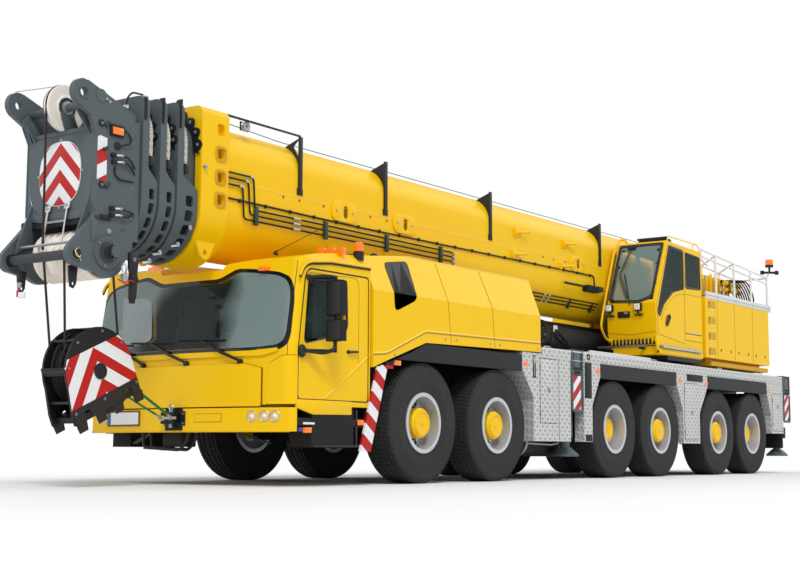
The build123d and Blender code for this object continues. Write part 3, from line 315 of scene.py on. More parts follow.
class Surface:
    """A node material round one Principled shader."""

    def __init__(self, name, **constants):
        self.material = bpy.data.materials.new(name)
        self.material.use_nodes = True
        self.tree = self.material.node_tree
        self.tree.nodes.clear()
        self.shader = self.tree.nodes.new("ShaderNodeBsdfPrincipled")
        output = self.tree.nodes.new("ShaderNodeOutputMaterial")
        self.tree.links.new(self.shader.outputs[0], output.inputs[0])
        self.place = None
        for socket, value in constants.items():
            self.feed(socket.replace("_", " ").title().replace("Ior", "IOR"), value)

    def plug(self, socket, value):
        """Links a value into a socket, or sets the socket."""
        if isinstance(value, Value):
            self.tree.links.new(value.socket, socket)
        elif isinstance(value, (tuple, list)) and len(value) == 3 and socket.type == "RGBA":
            socket.default_value = (*value, 1.0)
        else:
            socket.default_value = value

    def feed(self, socket, value):
        self.plug(self.shader.inputs[socket], value)
        return self

    def node(self, kind, settings=None, inputs=None, output=0):
        """One node of a kind: its settings first, then the values or links of its sockets."""
        made = self.tree.nodes.new(kind)
        for name, value in (settings or {}).items():
            if name == "stops":
                for element, (position, colour) in zip(made.color_ramp.elements, value):
                    element.position = position
                    element.color = (*colour, 1.0)
            else:
                setattr(made, name, value)
        for name, value in (inputs or {}).items():
            self.plug(made.inputs[name], value)
        return Value(self, made.outputs[output])

    def where(self):
        """The three Object coordinates."""
        if self.place is None:
            point = self.node("ShaderNodeTexCoord", output=3)
            self.place = [self.node("ShaderNodeSeparateXYZ", None, {0: point}, output=i) for i in range(3)]
        return self.place

    def mix(self, mask, first, second):
        """Colour mix."""
        return self.node("ShaderNodeMix", {"data_type": "RGBA"}, {0: mask, 6: first, 7: second}, output=2)

    def blend(self, mask, first, second):
        """Number mix."""
        return self.node("ShaderNodeMix", {"data_type": "FLOAT"}, {0: mask, 2: first, 3: second})

    def noise(self, scale, detail=2.0):
        point = self.node("ShaderNodeTexCoord", output=3)
        return self.node("ShaderNodeTexNoise", None, {"Vector": point, "Scale": scale, "Detail": detail})

    def bump(self, height, distance, strength=1.0):
        return self.feed("Normal", self.node("ShaderNodeBump", None, {"Height": height, "Distance": distance,
            "Strength": strength}))


# name: display colour, roughness, metallic. groove, yellow_line and the deep yellow are darker
# copies of the yellow paint: painted shade in creases, holes, recesses and openings, and dark seams;
# pale_yellow, a lighter copy, is a painted highlight on edges, creases and seams.
COATS = {"charcoal": ((50, 53, 55), 0.55, 0.0), "soot": ((20, 20, 21), 0.7, 0.0),
    "rim": ((212, 215, 220), 0.28, 0.5), "aluminium": ((228, 228, 224), 0.42, 0.35),
    "zinc": ((176, 180, 184), 0.38, 0.6), "steel": ((150, 152, 156), 0.32, 0.85),
    "chrome": ((228, 229, 231), 0.1, 1.0), "nylon": ((248, 239, 226), 0.5, 0.0),
    "nylon_dark": ((196, 176, 150), 0.6, 0.0), "white": ((236, 236, 236), 0.42, 0.0),
    "seat": ((58, 60, 64), 0.9, 0.0), "lining": ((52, 58, 60), 0.85, 0.0), "engine": ((92, 96, 98), 0.5, 0.3),
    "rope": ((66, 48, 44), 0.6, 0.3), "sling": ((24, 122, 60), 0.8, 0.0), "blue": ((30, 74, 170), 0.45, 0.0),
    "olive": ((38, 62, 56), 0.5, 0.0), "red": ((188, 15, 10), 0.45, 0.0),
    "braid": ((214, 210, 196), 0.75, 0.0), "groove": ((120, 86, 6), 0.7, 0.0),
    "deep_yellow": ((212, 158, 2), 0.55, 0.0), "yellow_line": ((176, 134, 6), 0.5, 0.0),
    "pale_yellow": ((252, 222, 96), 0.4, 0.0), "seal": ((18, 18, 19), 0.65, 0.0),
    "gloss": ((14, 15, 17), 0.12, 0.0), "mirror_shell": ((34, 35, 37), 0.5, 0.0),
    "tread_plate": ((40, 41, 43), 0.55, 0.3)}


def coat(name):
    """(linear colour, roughness, metallic) of a paint or a bare finish."""
    painted = {"yellow": (paints().body, 0.4, 0.0), "slate": (paints().head, 0.46, 0.0),
        "black": (paints().trim, 0.45, 0.0), "warning": (paints().warning, 0.42, 0.0),
        "amber": (paints().lamp, 0.25, 0.0)}
    if name in painted:
        colour, roughness, metallic = painted[name]
        return tuple(colour), roughness, metallic
    shown, roughness, metallic = COATS[name]
    return srgb(*shown), roughness, metallic


def coated(name, base, *regions):
    """A finish with a base coat and other coats where masks of the place are 1."""
    shiny = base == "yellow"
    surface = Surface(name, coat_weight=0.06 if shiny else 0.0, coat_roughness=0.2,
        specular_ior_level=0.22 if shiny else 0.35)
    colour, roughness, metallic = coat(base)
    cloud = surface.noise(0.7, 3.0)
    colour = surface.mix(cloud * 0.16, colour, tuple(c * 0.82 for c in colour))
    for mask, other in regions:
        covered = mask(surface)
        if other in PATTERNS:
            other_colour, other_roughness, other_metallic = PATTERNS[other](surface), 0.42, 0.0
        else:
            other_colour, other_roughness, other_metallic = coat(other)
        colour = surface.mix(covered, colour, other_colour)
        roughness = surface.blend(covered, roughness, other_roughness)
        metallic = surface.blend(covered, metallic, other_metallic)
    surface.feed("Base Color", colour).feed("Roughness", roughness).feed("Metallic", metallic)
    return surface.material


BLOCK_STATION = -3.74
BLOCK_CENTRE = (0.05, at(BLOCK_STATION), 1.13)
BLOCK_TILT = radians(24)


def block_axes(surface):
    """Along and up from the hook block's centre, in its own tilted axes."""
    _, y, z = surface.where()
    back, rise = y - BLOCK_CENTRE[1], z - BLOCK_CENTRE[2]
    return (back * cos(BLOCK_TILT) + rise * sin(BLOCK_TILT), rise * cos(BLOCK_TILT) - back * sin(BLOCK_TILT))


def striped(slope, period, shift=0.0, fold=False):
    """Red and white bands whose height falls by slope along the vehicle, or across it if folded."""

    def colour(surface):
        x, y, z = surface.where()
        run = abs(x) if fold else y
        band = (z + run * slope + shift) / period % 1.0
        return surface.mix(band > 0.5, coat("warning")[0], coat("white")[0])

    return colour


def block_chevrons(surface):
    """Chevrons of the hook block, square to its own tilted axes."""
    along, up = block_axes(surface)
    band = (up + abs(along) - 0.177) / 0.32 % 1.0
    stripe = (band < 0.225) | (band > 0.775)
    return surface.mix(stripe, coat("white")[0], coat("warning")[0])


PATTERNS = {"mudguard_stripes": striped(0.75, 0.29), "beam_stripes": striped(-0.86, 0.23),
    "shield_stripes": striped(1.0, 0.264, -2.96, fold=True), "head_stripes": striped(-0.57, 0.28, 0.06),
    "block_chevrons": block_chevrons}


def simple(name, base, **constants):
    """A single coat with a fine unevenness."""
    surface = Surface(name, **constants)
    colour, roughness, metallic = coat(base)
    speck = surface.noise(60.0)
    surface.feed("Base Color", surface.mix(speck * 0.14, colour, tuple(c * 0.8 for c in colour)))
    surface.feed("Roughness", surface.blend(speck, roughness * 0.9, roughness * 1.1))
    surface.feed("Metallic", metallic)
    return surface.material


def make_chequer():
    """Aluminium plate with raised bars that alternate in direction."""
    surface = Surface("chequer_plate", specular_ior_level=0.5)
    x, y, z = surface.where()
    pitch = sizes().chequer
    along = (y + x) / pitch
    up = (z + x) / (pitch * 0.8)
    odd = (along.math("FLOOR") + up.math("FLOOR")) % 2.0
    lean = odd * 2.0 - 1.0
    across = along % 1.0 - 0.5
    height = up % 1.0 - 0.5
    long = (across + height * lean) / 0.86
    short = (across - height * lean) / 0.3
    bar = long * long + short * short < 1.0
    colour, roughness, metallic = coat("aluminium")
    shade = surface.mix(bar, tuple(c * 0.62 for c in colour), colour)
    surface.feed("Base Color", shade).feed("Metallic", metallic)
    surface.feed("Roughness", surface.blend(bar, roughness + 0.12, roughness))
    surface.bump(bar, 0.003, 0.6)
    return surface.material


def make_rubber():
    """Tyre rubber, dusty on the flanks."""
    surface = Surface("tyre_rubber", specular_ior_level=0.35)
    grain = surface.noise(90.0)
    dust = surface.noise(2.5, 4.0)
    colour = surface.mix(dust, srgb(38, 38, 39), srgb(56, 54, 52))
    surface.feed("Base Color", colour).feed("Roughness", surface.blend(grain, 0.78, 0.92))
    surface.bump(grain, 0.001, 0.3)
    return surface.material


def make_glass(name, colour, alpha):
    """Tinted safety glass."""
    return Surface(name, roughness=0.03, alpha=alpha, base_color=srgb(*colour), ior=1.5).material


def make_windscreen():
    """Tinted windscreen with a painted reflection of the sky: paler and less see-through towards both of its ends."""
    surface = Surface("windscreen_glass", roughness=0.03, ior=1.5)
    x, _, z = surface.where()
    # painted reflection: the two ends where the sky's reflection is painted into the glass
    drift = surface.noise(1.6, 1.0) * 0.5 - 0.25
    near = ((x - 0.62 - (z - 1.9) * 0.12 + drift) * 6.0).math("MAXIMUM", 0.0).math("MINIMUM", 1.0)
    far = ((x * -1.0 - 0.42 + (z - 1.7) * 0.5 + drift) * 4.0).math("MAXIMUM", 0.0).math("MINIMUM", 1.0)
    sky = near.math("MAXIMUM", far)
    surface.feed("Base Color", surface.mix(sky, srgb(30, 44, 42), srgb(140, 160, 158)))
    surface.feed("Alpha", surface.blend(sky, 0.34, 0.62))
    return surface.material


def make_lens(name, base, glow):
    """Moulded lens of a lamp."""
    surface = Surface(name, roughness=0.18, coat_weight=0.6)
    x, y, z = surface.where()
    ribs = ((x + y + z) * 90.0).math("SINE")
    colour = coat(base)[0]
    surface.feed("Base Color", surface.mix((ribs > 0.4) * 0.35, colour, tuple(c * 0.6 for c in colour)))
    surface.feed("Emission Color", (*colour, 1.0)).feed("Emission Strength", glow)
    return surface.material


def make_rope():
    """Stranded wire rope."""
    surface = Surface("hoist_rope")
    x, y, z = surface.where()
    lay = ((x + y * 0.7 + z) * 260.0).math("SINE")
    colour, roughness, metallic = coat("rope")
    surface.feed("Base Color", surface.mix(lay > 0.0, colour, tuple(c * 0.45 for c in colour)))
    surface.feed("Roughness", roughness).feed("Metallic", metallic)
    surface.bump(lay, 0.002, 0.5)
    return surface.material


def make_braid():
    """Braided rope of the section stops."""
    surface = Surface("braided_rope")
    x, y, z = surface.where()
    first = ((z + x + y) * 130.0).math("SINE")
    second = ((z - x - y) * 130.0).math("SINE")
    weave = first * second
    colour = coat("braid")[0]
    surface.feed("Base Color", surface.mix(weave > 0.1, tuple(c * 0.72 for c in colour), colour))
    surface.feed("Roughness", 0.75)
    surface.bump(weave, 0.004, 0.6)
    return surface.material


def make_grille():
    """Black pressed mesh with fine slots."""
    surface = Surface("grille_mesh", roughness=0.5)
    _, y, z = surface.where()
    slot = (z + y * 0.35) / 0.022 % 1.0
    post = (y - z * 0.35) / 0.05 % 1.0
    open_part = (slot > 0.5) & (post > 0.15)
    surface.feed("Base Color", surface.mix(open_part, srgb(62, 58, 52), srgb(24, 23, 22)))
    surface.bump(open_part, 0.004, 0.5)
    return surface.material


def make_fabric():
    """Seat cloth."""
    surface = Surface("seat_cloth", sheen_weight=0.3)
    x, y, z = surface.where()
    weave = ((x + z) * 900.0).math("SINE") * ((y - z) * 900.0).math("SINE")
    colour = coat("seat")[0]
    surface.feed("Base Color", surface.mix(weave > 0.0, colour, tuple(c * 0.75 for c in colour)))
    surface.feed("Roughness", 0.9)
    return surface.material


SPECIAL = {"chequer": make_chequer, "rubber": make_rubber, "rope": make_rope, "braid": make_braid,
    "grille": make_grille, "cloth": make_fabric, "windscreen": make_windscreen,
    # the pale glass of the operator's cab's front is a painted reflection
    "pale_glass": lambda: make_glass("pale_glass", (150, 176, 170), 0.5),
    "cab_glass": lambda: make_glass("cab_glass", (52, 76, 72), 0.28), "lens": lambda: make_glass("lamp_lens",
    (225, 232, 236), 0.25), "mirror": lambda: simple("mirror_glass", "chrome"),
    "amber": lambda: make_lens("amber_lens", "amber", 0.25), "red_lens": lambda: make_lens("red_lens", "red",
    0.1), "clear": lambda: make_lens("clear_lens", "white", 0.1)}
MADE = {}


def finish(name):
    """The material of a finish, made once."""
    if name not in MADE:
        if name in SPECIAL:
            MADE[name] = SPECIAL[name]()
        elif name in PATTERNS:
            surface = Surface(name, roughness=0.42)
            MADE[name] = surface.feed("Base Color", PATTERNS[name](surface)).material
        elif name in ("yellow", "slate"):
            MADE[name] = coated(name + "_paint", name)
        else:
            MADE[name] = simple(name + "_finish", name)
    return MADE[name]


# ------------------------------------------------------------------------------- shapes
def lies_along(direction):
    """Turn that takes +Z to a direction."""
    return Vector(direction).to_track_quat("Z", "Y").to_matrix().to_4x4()


def ring(bit, points, closed=True):
    """Corners and edges of an outline in a bmesh."""
    verts = [bit.verts.new(point) for point in points]
    edges = [bit.edges.new(pair) for pair in zip(verts, verts[1:])]
    if closed:
        edges.append(bit.edges.new((verts[-1], verts[0])))
    return verts, edges


def spun(bit, profile, steps, closed):
    """Spins (along, radius) pairs once round the Z axis."""
    verts, edges = ring(bit, [(radius, 0, along) for along, radius in profile], closed)
    bmesh.ops.spin(bit, geom=verts + edges, cent=(0, 0, 0), axis=(0, 0, 1), dvec=(0, 0, 0), angle=2 * pi,
        steps=steps, use_merge=True)


def bevelled(bit, edges, offset):
    """Rounds edges over."""
    bmesh.ops.bevel(bit, geom=edges, offset=offset, segments=2, profile=0.5, affect="EDGES", material=-1)


def of_kind(kind, geom):
    """Corners or edges among what an extrusion made."""
    return [part for part in geom if isinstance(part, kind)]


def vehicle(sign=1):
    """Place of a shape drawn as (across, station, height), mirrored where sign is -1."""
    return Matrix.Translation((0, AXLE_1_Y, 0)) @ Matrix.Diagonal((sign, 1, 1, 1))


class Shape:
    """One piece in the making. Each bit is made with bmesh operators and joined on."""

    def __init__(self, place=None):
        self.mesh = bmesh.new()
        self.finishes = []
        self.places = [place or vehicle()]

    @contextmanager
    def both_sides(self):
        """Joins each bit a second time, as its mirror image on the other side."""
        self.places.append(vehicle(-1))
        yield
        self.places.pop()

    def join(self, bit, coat_name):
        """Closes one bit and adds it with its finish."""
        bmesh.ops.remove_doubles(bit, verts=bit.verts, dist=1e-6)
        if len(bit.faces) > 1:
            bmesh.ops.recalc_face_normals(bit, faces=bit.faces)
        if coat_name not in self.finishes:
            self.finishes.append(coat_name)
        for face in bit.faces:
            face.material_index = self.finishes.index(coat_name)
            face.smooth = True
        for place in self.places:
            mesh = bpy.data.meshes.new("bit")
            bit.to_mesh(mesh)
            mesh.transform(place)
            if place.determinant() < 0:
                mesh.flip_normals()
            self.mesh.from_mesh(mesh)
            bpy.data.meshes.remove(mesh)
        bit.free()

    def box(self, coat_name, low, high, bevel=0.0):
        """Box between two corners."""
        size = [b - a for a, b in zip(low, high)]
        middle = Vector([(a + b) / 2 for a, b in zip(low, high)])
        bit = bmesh.new()
        bmesh.ops.create_cube(bit, size=1.0, matrix=Matrix.Diagonal((*size, 1.0)))
        if bevel:
            bevelled(bit, bit.edges[:], bevel)
        bmesh.ops.translate(bit, verts=bit.verts, vec=middle)
        self.join(bit, coat_name)

    def bar(self, coat_name, start, end, width, depth, bevel=0.0):
        """Flat bar from a point to another: width lies level, depth across it."""
        start, end = Vector(start), Vector(end)
        run = end - start
        level = Vector((0, 0, 1)).cross(run)
        level = level.normalized() if level.length > 1e-6 else Vector((0, 1, 0))
        other = run.cross(level).normalized()
        turn = Matrix((level, other, run.normalized())).transposed().to_4x4()
        bit = bmesh.new()
        bmesh.ops.create_cube(bit, size=1.0, matrix=Matrix.Diagonal((width, depth, run.length, 1.0)))
        if bevel:
            bevelled(bit, bit.edges[:], bevel)
        bmesh.ops.transform(bit, matrix=Matrix.Translation((start + end) / 2) @ turn, verts=bit.verts)
        self.join(bit, coat_name)

    def rod(self, coat_name, start, end, radius, tip=None, sides=16):
        """Round bar or cone between two points."""
        start, end = Vector(start), Vector(end)
        bit = bmesh.new()
        bmesh.ops.create_cone(bit, cap_ends=True, cap_tris=False, segments=sides, radius1=radius,
            radius2=radius if tip is None else tip, depth=(end - start).length,
            matrix=Matrix.Translation((start + end) / 2) @ lies_along(end - start))
        self.join(bit, coat_name)

    def ball(self, coat_name, centre, radius, sides=12, scale=(1, 1, 1)):
        bit = bmesh.new()
        bmesh.ops.create_uvsphere(bit, u_segments=sides, v_segments=max(6, sides // 2), radius=radius,
            matrix=Matrix.Translation(centre) @ Matrix.Diagonal((*scale, 1.0)))
        self.join(bit, coat_name)

    def lathe(self, coat_name, profile, centre, axis=(1, 0, 0), sides=32, closed=False):
        """Turned form: profile is (along, radius) pairs, spun about an axis through centre."""
        bit = bmesh.new()
        spun(bit, profile, sides, closed)
        bmesh.ops.transform(bit, matrix=Matrix.Translation(centre) @ lies_along(axis), verts=bit.verts)
        self.join(bit, coat_name)

    def tube(self, coat_name, points, radius, sides=8, bend=0.0):
        """Round tube along a line of points, its corners rounded to a bend radius."""
        line = rounded(points, bend) if bend else [Vector(p) for p in points]
        bit = bmesh.new()
        frames = tube_frames(line)
        bmesh.ops.create_circle(bit, cap_ends=False, segments=sides, radius=radius, matrix=frames[0])
        first = edges = bit.edges[:]
        for before, after in zip(frames, frames[1:]):
            grown = bmesh.ops.extrude_edge_only(bit, edges=edges)["geom"]
            verts = of_kind(bmesh.types.BMVert, grown)
            edges = [edge for edge in of_kind(bmesh.types.BMEdge, grown)
                     if all(vert in verts for vert in edge.verts)]
            bmesh.ops.transform(bit, matrix=after @ before.inverted(), verts=verts)
        bmesh.ops.contextual_create(bit, geom=first)
        bmesh.ops.contextual_create(bit, geom=edges)
        self.join(bit, coat_name)

    def plate(self, coat_name, outline, axis, low, high, bevel=0.0, holes=()):
        """Flat outline in a plane, given a thickness along an axis, with holes in it.

        Its points are (station, height) for axis x, (across, height) for y, (across, station) for z.
        """
        bit = bmesh.new()
        rims = []
        for line in (outline, *holes):
            rims += ring(bit, [lift(point, axis, low) for point in line])[1]
        normal = Vector([float(name == axis) for name in "xyz"])
        if holes:
            bmesh.ops.triangle_fill(bit, edges=rims, use_beauty=True, use_dissolve=False, normal=normal)
        else:
            bmesh.ops.contextual_create(bit, geom=rims)
        grown = bmesh.ops.extrude_face_region(bit, geom=bit.faces[:])["geom"]
        bmesh.ops.translate(bit, verts=of_kind(bmesh.types.BMVert, grown), vec=normal * (high - low))
        if bevel:
            level = "xyz".index(axis)
            rim = [edge for edge in bit.edges
                   if abs(edge.verts[0].co[level] - edge.verts[1].co[level]) < 1e-7
                   and len(edge.link_faces) == 2 and edge.calc_face_angle(0) > 1.0]
            bevelled(bit, rim, bevel)
        self.join(bit, coat_name)

    def skin(self, coat_name, outline, cuts, bend, thickness, levels=(), hole=None):
        """Sheet cut to an outline in a plane, bent by a function of its points, with a thickness."""
        bit = bmesh.new()
        verts, edges = ring(bit, [(a, 0, b) for a, b in outline])
        if hole:
            edges += ring(bit, [(a, 0, b) for a, b in hole])[1]
            bmesh.ops.triangle_fill(bit, edges=edges, use_beauty=True, normal=(0, 1, 0))
        else:
            bit.faces.new(verts)
        planes = [((cut, 0, 0), (1, 0, 0)) for cut in cuts] + [((0, 0, level), (0, 0, 1)) for level in levels]
        for point, normal in planes:
            geom = bit.verts[:] + bit.edges[:] + bit.faces[:]
            bmesh.ops.bisect_plane(bit, geom=geom, plane_co=point, plane_no=normal)
        for vert in bit.verts:
            vert.co = bend(vert.co.x, vert.co.z)
        if hole:
            bmesh.ops.recalc_face_normals(bit, faces=bit.faces)
        bmesh.ops.solidify(bit, geom=bit.faces[:], thickness=thickness)
        self.join(bit, coat_name)

    def bolt(self, coat_name, centre, axis, radius, height):
        """Hexagon head with a washer."""
        axis = Vector(axis).normalized()
        centre = Vector(centre)
        self.rod(coat_name, centre, centre + axis * height * 0.2, radius * 1.35, sides=12)
        self.rod(coat_name, centre, centre + axis * height, radius, sides=6)

    def build(self, name, body, slot=None, smooth=34):
        """The finished object, riding on a body."""
        mesh = bpy.data.meshes.new(name)
        self.mesh.to_mesh(mesh)
        self.mesh.free()
        for coat_name in self.finishes:
            mesh.materials.append(finish(coat_name))
        mesh.set_sharp_from_angle(angle=radians(smooth))
        made = bpy.data.objects.new(name, mesh)
        bpy.context.scene.collection.objects.link(made)
        if body:
            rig.ride(made, body)
        if slot:
            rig.slot(made, slot)
        return made


def lift(point, axis, level):
    """Point of a flat outline, put at a level along an axis."""
    a, b = point
    return {"x": (level, a, b), "y": (a, level, b), "z": (a, b, level)}[axis]


def round_outline(centre, width, height, radius, corners=4):
    """Rounded rectangle as outline points."""
    points = []
    for quarter, (sx, sy) in enumerate(((1, 1), (-1, 1), (-1, -1), (1, -1))):
        for step in range(corners + 1):
            angle = pi / 2 * (quarter + step / corners)
            points.append((centre[0] + sx * (width / 2 - radius) + radius * cos(angle),
                centre[1] + sy * (height / 2 - radius) + radius * sin(angle)))
    return points


def circle_outline(centre, radius, sides=20):
    return [(centre[0] + radius * cos(2 * pi * i / sides),
        centre[1] + radius * sin(2 * pi * i / sides)) for i in range(sides)]


def scaled(outline, middle, across, up):
    """Outline grown or shrunk about a middle."""
    return [((a - middle[0]) * across + middle[0], (b - middle[1]) * up + middle[1]) for a, b in outline]


def soften(outline, radius, steps=4):
    """Outline with its corners rounded."""
    made = []
    count = len(outline)
    for index, corner in enumerate(outline):
        corner = Vector(corner)
        before = Vector(outline[index - 1]) - corner
        after = Vector(outline[(index + 1) % count]) - corner
        reach = min(radius, before.length * 0.45, after.length * 0.45)
        start = corner + before.normalized() * reach
        end = corner + after.normalized() * reach
        for step in range(steps + 1):
            t = step / steps
            made.append(tuple(start * (1 - t) ** 2 + corner * 2 * t * (1 - t) + end * t * t))
    return made


def rounded(points, radius, steps=5):
    """Line of points with its corners rounded."""
    points = [Vector(p) for p in points]
    made = [points[0]]
    for before, corner, after in zip(points, points[1:], points[2:]):
        back, on = before - corner, after - corner
        reach = min(radius, back.length * 0.48, on.length * 0.48)
        start, end = corner + back.normalized() * reach, corner + on.normalized() * reach
        for step in range(steps + 1):
            t = step / steps
            made.append(start * (1 - t) ** 2 + corner * 2 * t * (1 - t) + end * t * t)
    return made + [points[-1]]


def curve_line(points, steps=8):
    """Smooth line through points."""
    points = [Vector(p) for p in points]
    ends = [points[0] * 2 - points[1], *points, points[-1] * 2 - points[-2]]
    made = []
    for a, b, c, d in zip(ends, ends[1:], ends[2:], ends[3:]):
        for step in range(steps):
            t = step / steps
            made.append(0.5 * ((2 * b) + (c - a) * t + (2 * a - 5 * b + 4 * c - d) * t * t
                               + (3 * b - a - 3 * c + d) * t ** 3))
    return made + [points[-1]]


def tube_frames(line):
    """Square-on frames along a line, carried without twist."""
    directions = [(b - a).normalized() for a, b in zip(line, line[1:])]
    tangents = [directions[0]]
    tangents += [(a + b).normalized() for a, b in zip(directions, directions[1:])]
    tangents.append(directions[-1])
    across = tangents[0].orthogonal().normalized()
    frames = []
    for point, tangent in zip(line, tangents):
        across = (across - tangent * across.dot(tangent)).normalized()
        other = tangent.cross(across)
        turn = Matrix((across, other, tangent)).transposed().to_4x4()
        frames.append(Matrix.Translation(point) @ turn)
    return frames


def mirrored(outline):
    """Half outline on the left, joined to its mirror image."""
    return list(outline) + [(-a, b) for a, b in reversed(outline)]


# ------------------------------------------------------------------------------- masks
def zone(x=None, y=None, z=None, fold=True):
    """Mask of a block of space between low and high limits; across counts for both sides."""

    def mask(surface):
        place = surface.where()
        across = abs(place[0]) if fold else place[0]
        made = None
        for value, limits in zip((across, place[1], place[2]), (x, y, z)):
            low, high = limits or (None, None)
            tests = ([value > low] if low is not None else []) + ([value < high] if high is not None else [])
            for test in tests:
                made = test if made is None else made & test
        return made

    return mask


def around(station, height, radius):
    """Mask of a cylinder about an axis across the vehicle."""

    def mask(surface):
        back = surface.where()[1] - at(station)
        rise = surface.where()[2] - height
        return back * back + rise * rise < radius * radius

    return mask


def both(first, second):
    return lambda surface: first(surface) & second(surface)


def inside_cab(surface):
    """Inner faces of the carrier cab, behind its leaning front."""
    x, y, z = surface.where()
    lean = (z - 1.4).math("MAXIMUM", 0.0) * 0.164
    walls = (abs(x) < 1.405) & (y - lean > at(-2.325)) & (y < at(-1.04)) & (z > 0.885)
    roof = (y - at(-2.2)) * 0.115 + 2.31
    return walls & ((z < 2.23) | (abs(x) > 0.62) & (z < roof))


def inside_upper_cab(surface):
    """Inner faces of the operator's cab, behind its slanted windscreen."""
    x, y, z = surface.where()
    lean = (z - 2.65).math("MAXIMUM", 0.0) * 0.45 + ((z - 2.65) * -0.1).math("MAXIMUM", 0.0)
    roof = (y - at(6.74)) * -0.03 + 3.628
    return (x > 0.595) & (x < 1.375) & (y - lean > at(6.322)) & (y < at(8.03)) & (z > 1.975) & (z < roof)


def block_plate(surface):
    """Coloured part of the hook block's outer plate faces."""
    up = block_axes(surface)[1]
    x = surface.where()[0]
    return ((x > 0.2235) | (x < -0.1235)) & (up < 0.25) & (up > -0.262)


def dress(nodes, material):
    """Gives CAD nodes a material."""
    for node in [nodes] if isinstance(nodes, str) else nodes:
        slots = frame["nodes"][node].data.materials
        slots.clear()
        slots.append(material)


# ------------------------------------------------------------------------------- operators
class CRANE_OT_running_gear_finish(bpy.types.Operator):
    """Finish the wheels, knuckles and axles"""

    bl_idname = "crane.running_gear_finish"
    bl_label = "Running gear finish"

    def execute(self, context):
        for axle, station in enumerate(AXLES, 1):
            hub = around(station, TYRE_RADIUS, 0.1785)
            paint = coated(f"wheel_{axle}_paint", "rim", (hub, "yellow"))
            for name, _ in SIDES:
                dress(f"wheel_{axle}_{name}", paint)
        gear = coated("running_gear_paint", "soot")
        dress([node for node in frame["nodes"] if node.startswith("knuckle")] + ["axle_beams"], gear)
        return {"FINISHED"}


class CRANE_OT_carrier_finish(bpy.types.Operator):
    """Finish the carrier's frame, cab, doors, covers and bodywork"""

    bl_idname = "crane.carrier_finish"
    bl_label = "Carrier finish"

    def execute(self, context):
        columns = [(zone(x=sorted((sign * 1.3, sign * 1.5)), y=(at(station - 0.18), at(station + 0.18)),
            z=(1.395, 1.76), fold=False), "slate") for _, sign, station in OUTRIGGERS]
        stripes = (zone(x=(1.462, 1.492), y=(at(-1.24), at(-0.555)), z=(None, 1.302)), "mudguard_stripes")
        steps = (zone(x=(1.1, 1.468), y=(at(-2.01), at(-1.29)), z=(0.39, 0.81)), "soot")
        dress("chassis_frame", coated("chassis_paint", "black", steps, stripes, *columns))
        dress("engine_block", finish("engine"))
        jaw = (zone(x=(None, 0.13), y=(None, at(-2.441))), "black")
        dress("front_bumper", coated("bumper_paint", "yellow", jaw))
        seats = (zone(x=(0.55, 1.15), y=(at(-1.85), at(-1.25)), z=(0.88, 1.95)), "seat")
        dash = (both(inside_cab, zone(x=(None, 1.28), y=(None, at(-2.05)), z=(0.88, 1.36))), "charcoal")
        dress("carrier_cab", coated("cab_paint", "yellow", (inside_cab, "lining"), seats, dash))
        arms = (zone(x=(1.4605, None)), "black")
        inner = (zone(x=(None, 1.4015)), "lining")
        dress(["cab_door_left", "cab_door_right"], coated("door_paint", "yellow", arms, inner))
        dress("engine_cover", coated("cover_paint", "yellow"))
        dress("side_bodywork", finish("chequer"))
        end_board = (zone(x=(1.484, None), z=(0.93, 1.388)), "beam_stripes")
        for name, sign, station in OUTRIGGERS:
            edge = zone(y=(at(station - 0.105), at(station + 0.105)))
            dress(f"outrigger_beam_{name}", coated(
                f"beam_{name}_paint", "slate", (both(end_board[0], edge), end_board[1])))
            dress(f"outrigger_jack_{name}", finish("slate"))
        return {"FINISHED"}


class CRANE_OT_superstructure_finish(bpy.types.Operator):
    """Finish the turntable, machinery housing, operator's cab and lift cylinder"""

    bl_idname = "crane.superstructure_finish"
    bl_label = "Superstructure finish"

    def execute(self, context):
        # the darker yellow on the rear of the slab, under the housing, is painted shade
        dress("turntable", coated("turntable_paint", "black", (zone(z=(1.852, None)), "yellow"),
            (zone(y=(at(8.38), None), z=(1.779, None)), "deep_yellow")))
        drum = (zone(x=(None, 0.695)), "charcoal")
        dress("machinery_housing", coated("housing_paint", "yellow", drum))
        seat = (zone(x=(0.74, 1.24), y=(at(7.14), at(7.71)), z=(2.0, 3.12), fold=False), "seat")
        dress("upper_cab", coated("upper_cab_paint", "yellow", (inside_upper_cab, "lining"), seat))
        dress("lift_cylinder_barrel", finish("charcoal"))
        dress("lift_cylinder_rod", coated("rod_finish", "chrome", (around(4.3, 2.11, 0.175), "charcoal")))
        return {"FINISHED"}


class CRANE_OT_boom_finish(bpy.types.Operator):
    """Finish the boom's tubes, collars, head and hook block"""

    bl_idname = "crane.boom_finish"
    bl_label = "Boom finish"

    def execute(self, context):
        dress("boom_base", coated("boom_base_paint", "yellow"))
        for index, rear in enumerate((-2.70, -3.0, -3.24), 1):
            collar = (zone(y=(None, at(rear))), "slate")
            dress(f"boom_section_{index}", coated(f"boom_section_{index}_paint", "yellow", collar))
        plates = (zone(y=(None, at(-3.55))), "slate")
        bar = (both(around(-4.33, 2.2, 0.0425), zone(x=(None, 0.444))), "black")
        dress("boom_head", coated("boom_head_paint", "yellow", plates, bar))
        dress("head_sheaves", finish("nylon"))
        dress("hook_block", coated("hook_block_paint", "black", (block_plate, "block_chevrons")))
        return {"FINISHED"}


# across from the wheel's middle, radius: outboard half of the tyre from the bead to the shoulder
TYRE_FLANK = ((0.15, 0.3225), (0.165, 0.3225), (0.174, 0.338), (0.176, 0.352), (0.1815, 0.395),
    (0.1845, 0.43), (0.1885, 0.468), (0.1895, 0.474), (0.1895, 0.492), (0.1882, 0.498), (0.1878, 0.56),
    (0.1835, 0.605), (0.1845, 0.611), (0.179, 0.64), (0.165, 0.664))
# half widths of the edges between ribs and grooves across the tread
TREAD_EDGES = (0.158, 0.112, 0.098, 0.048, 0.034)


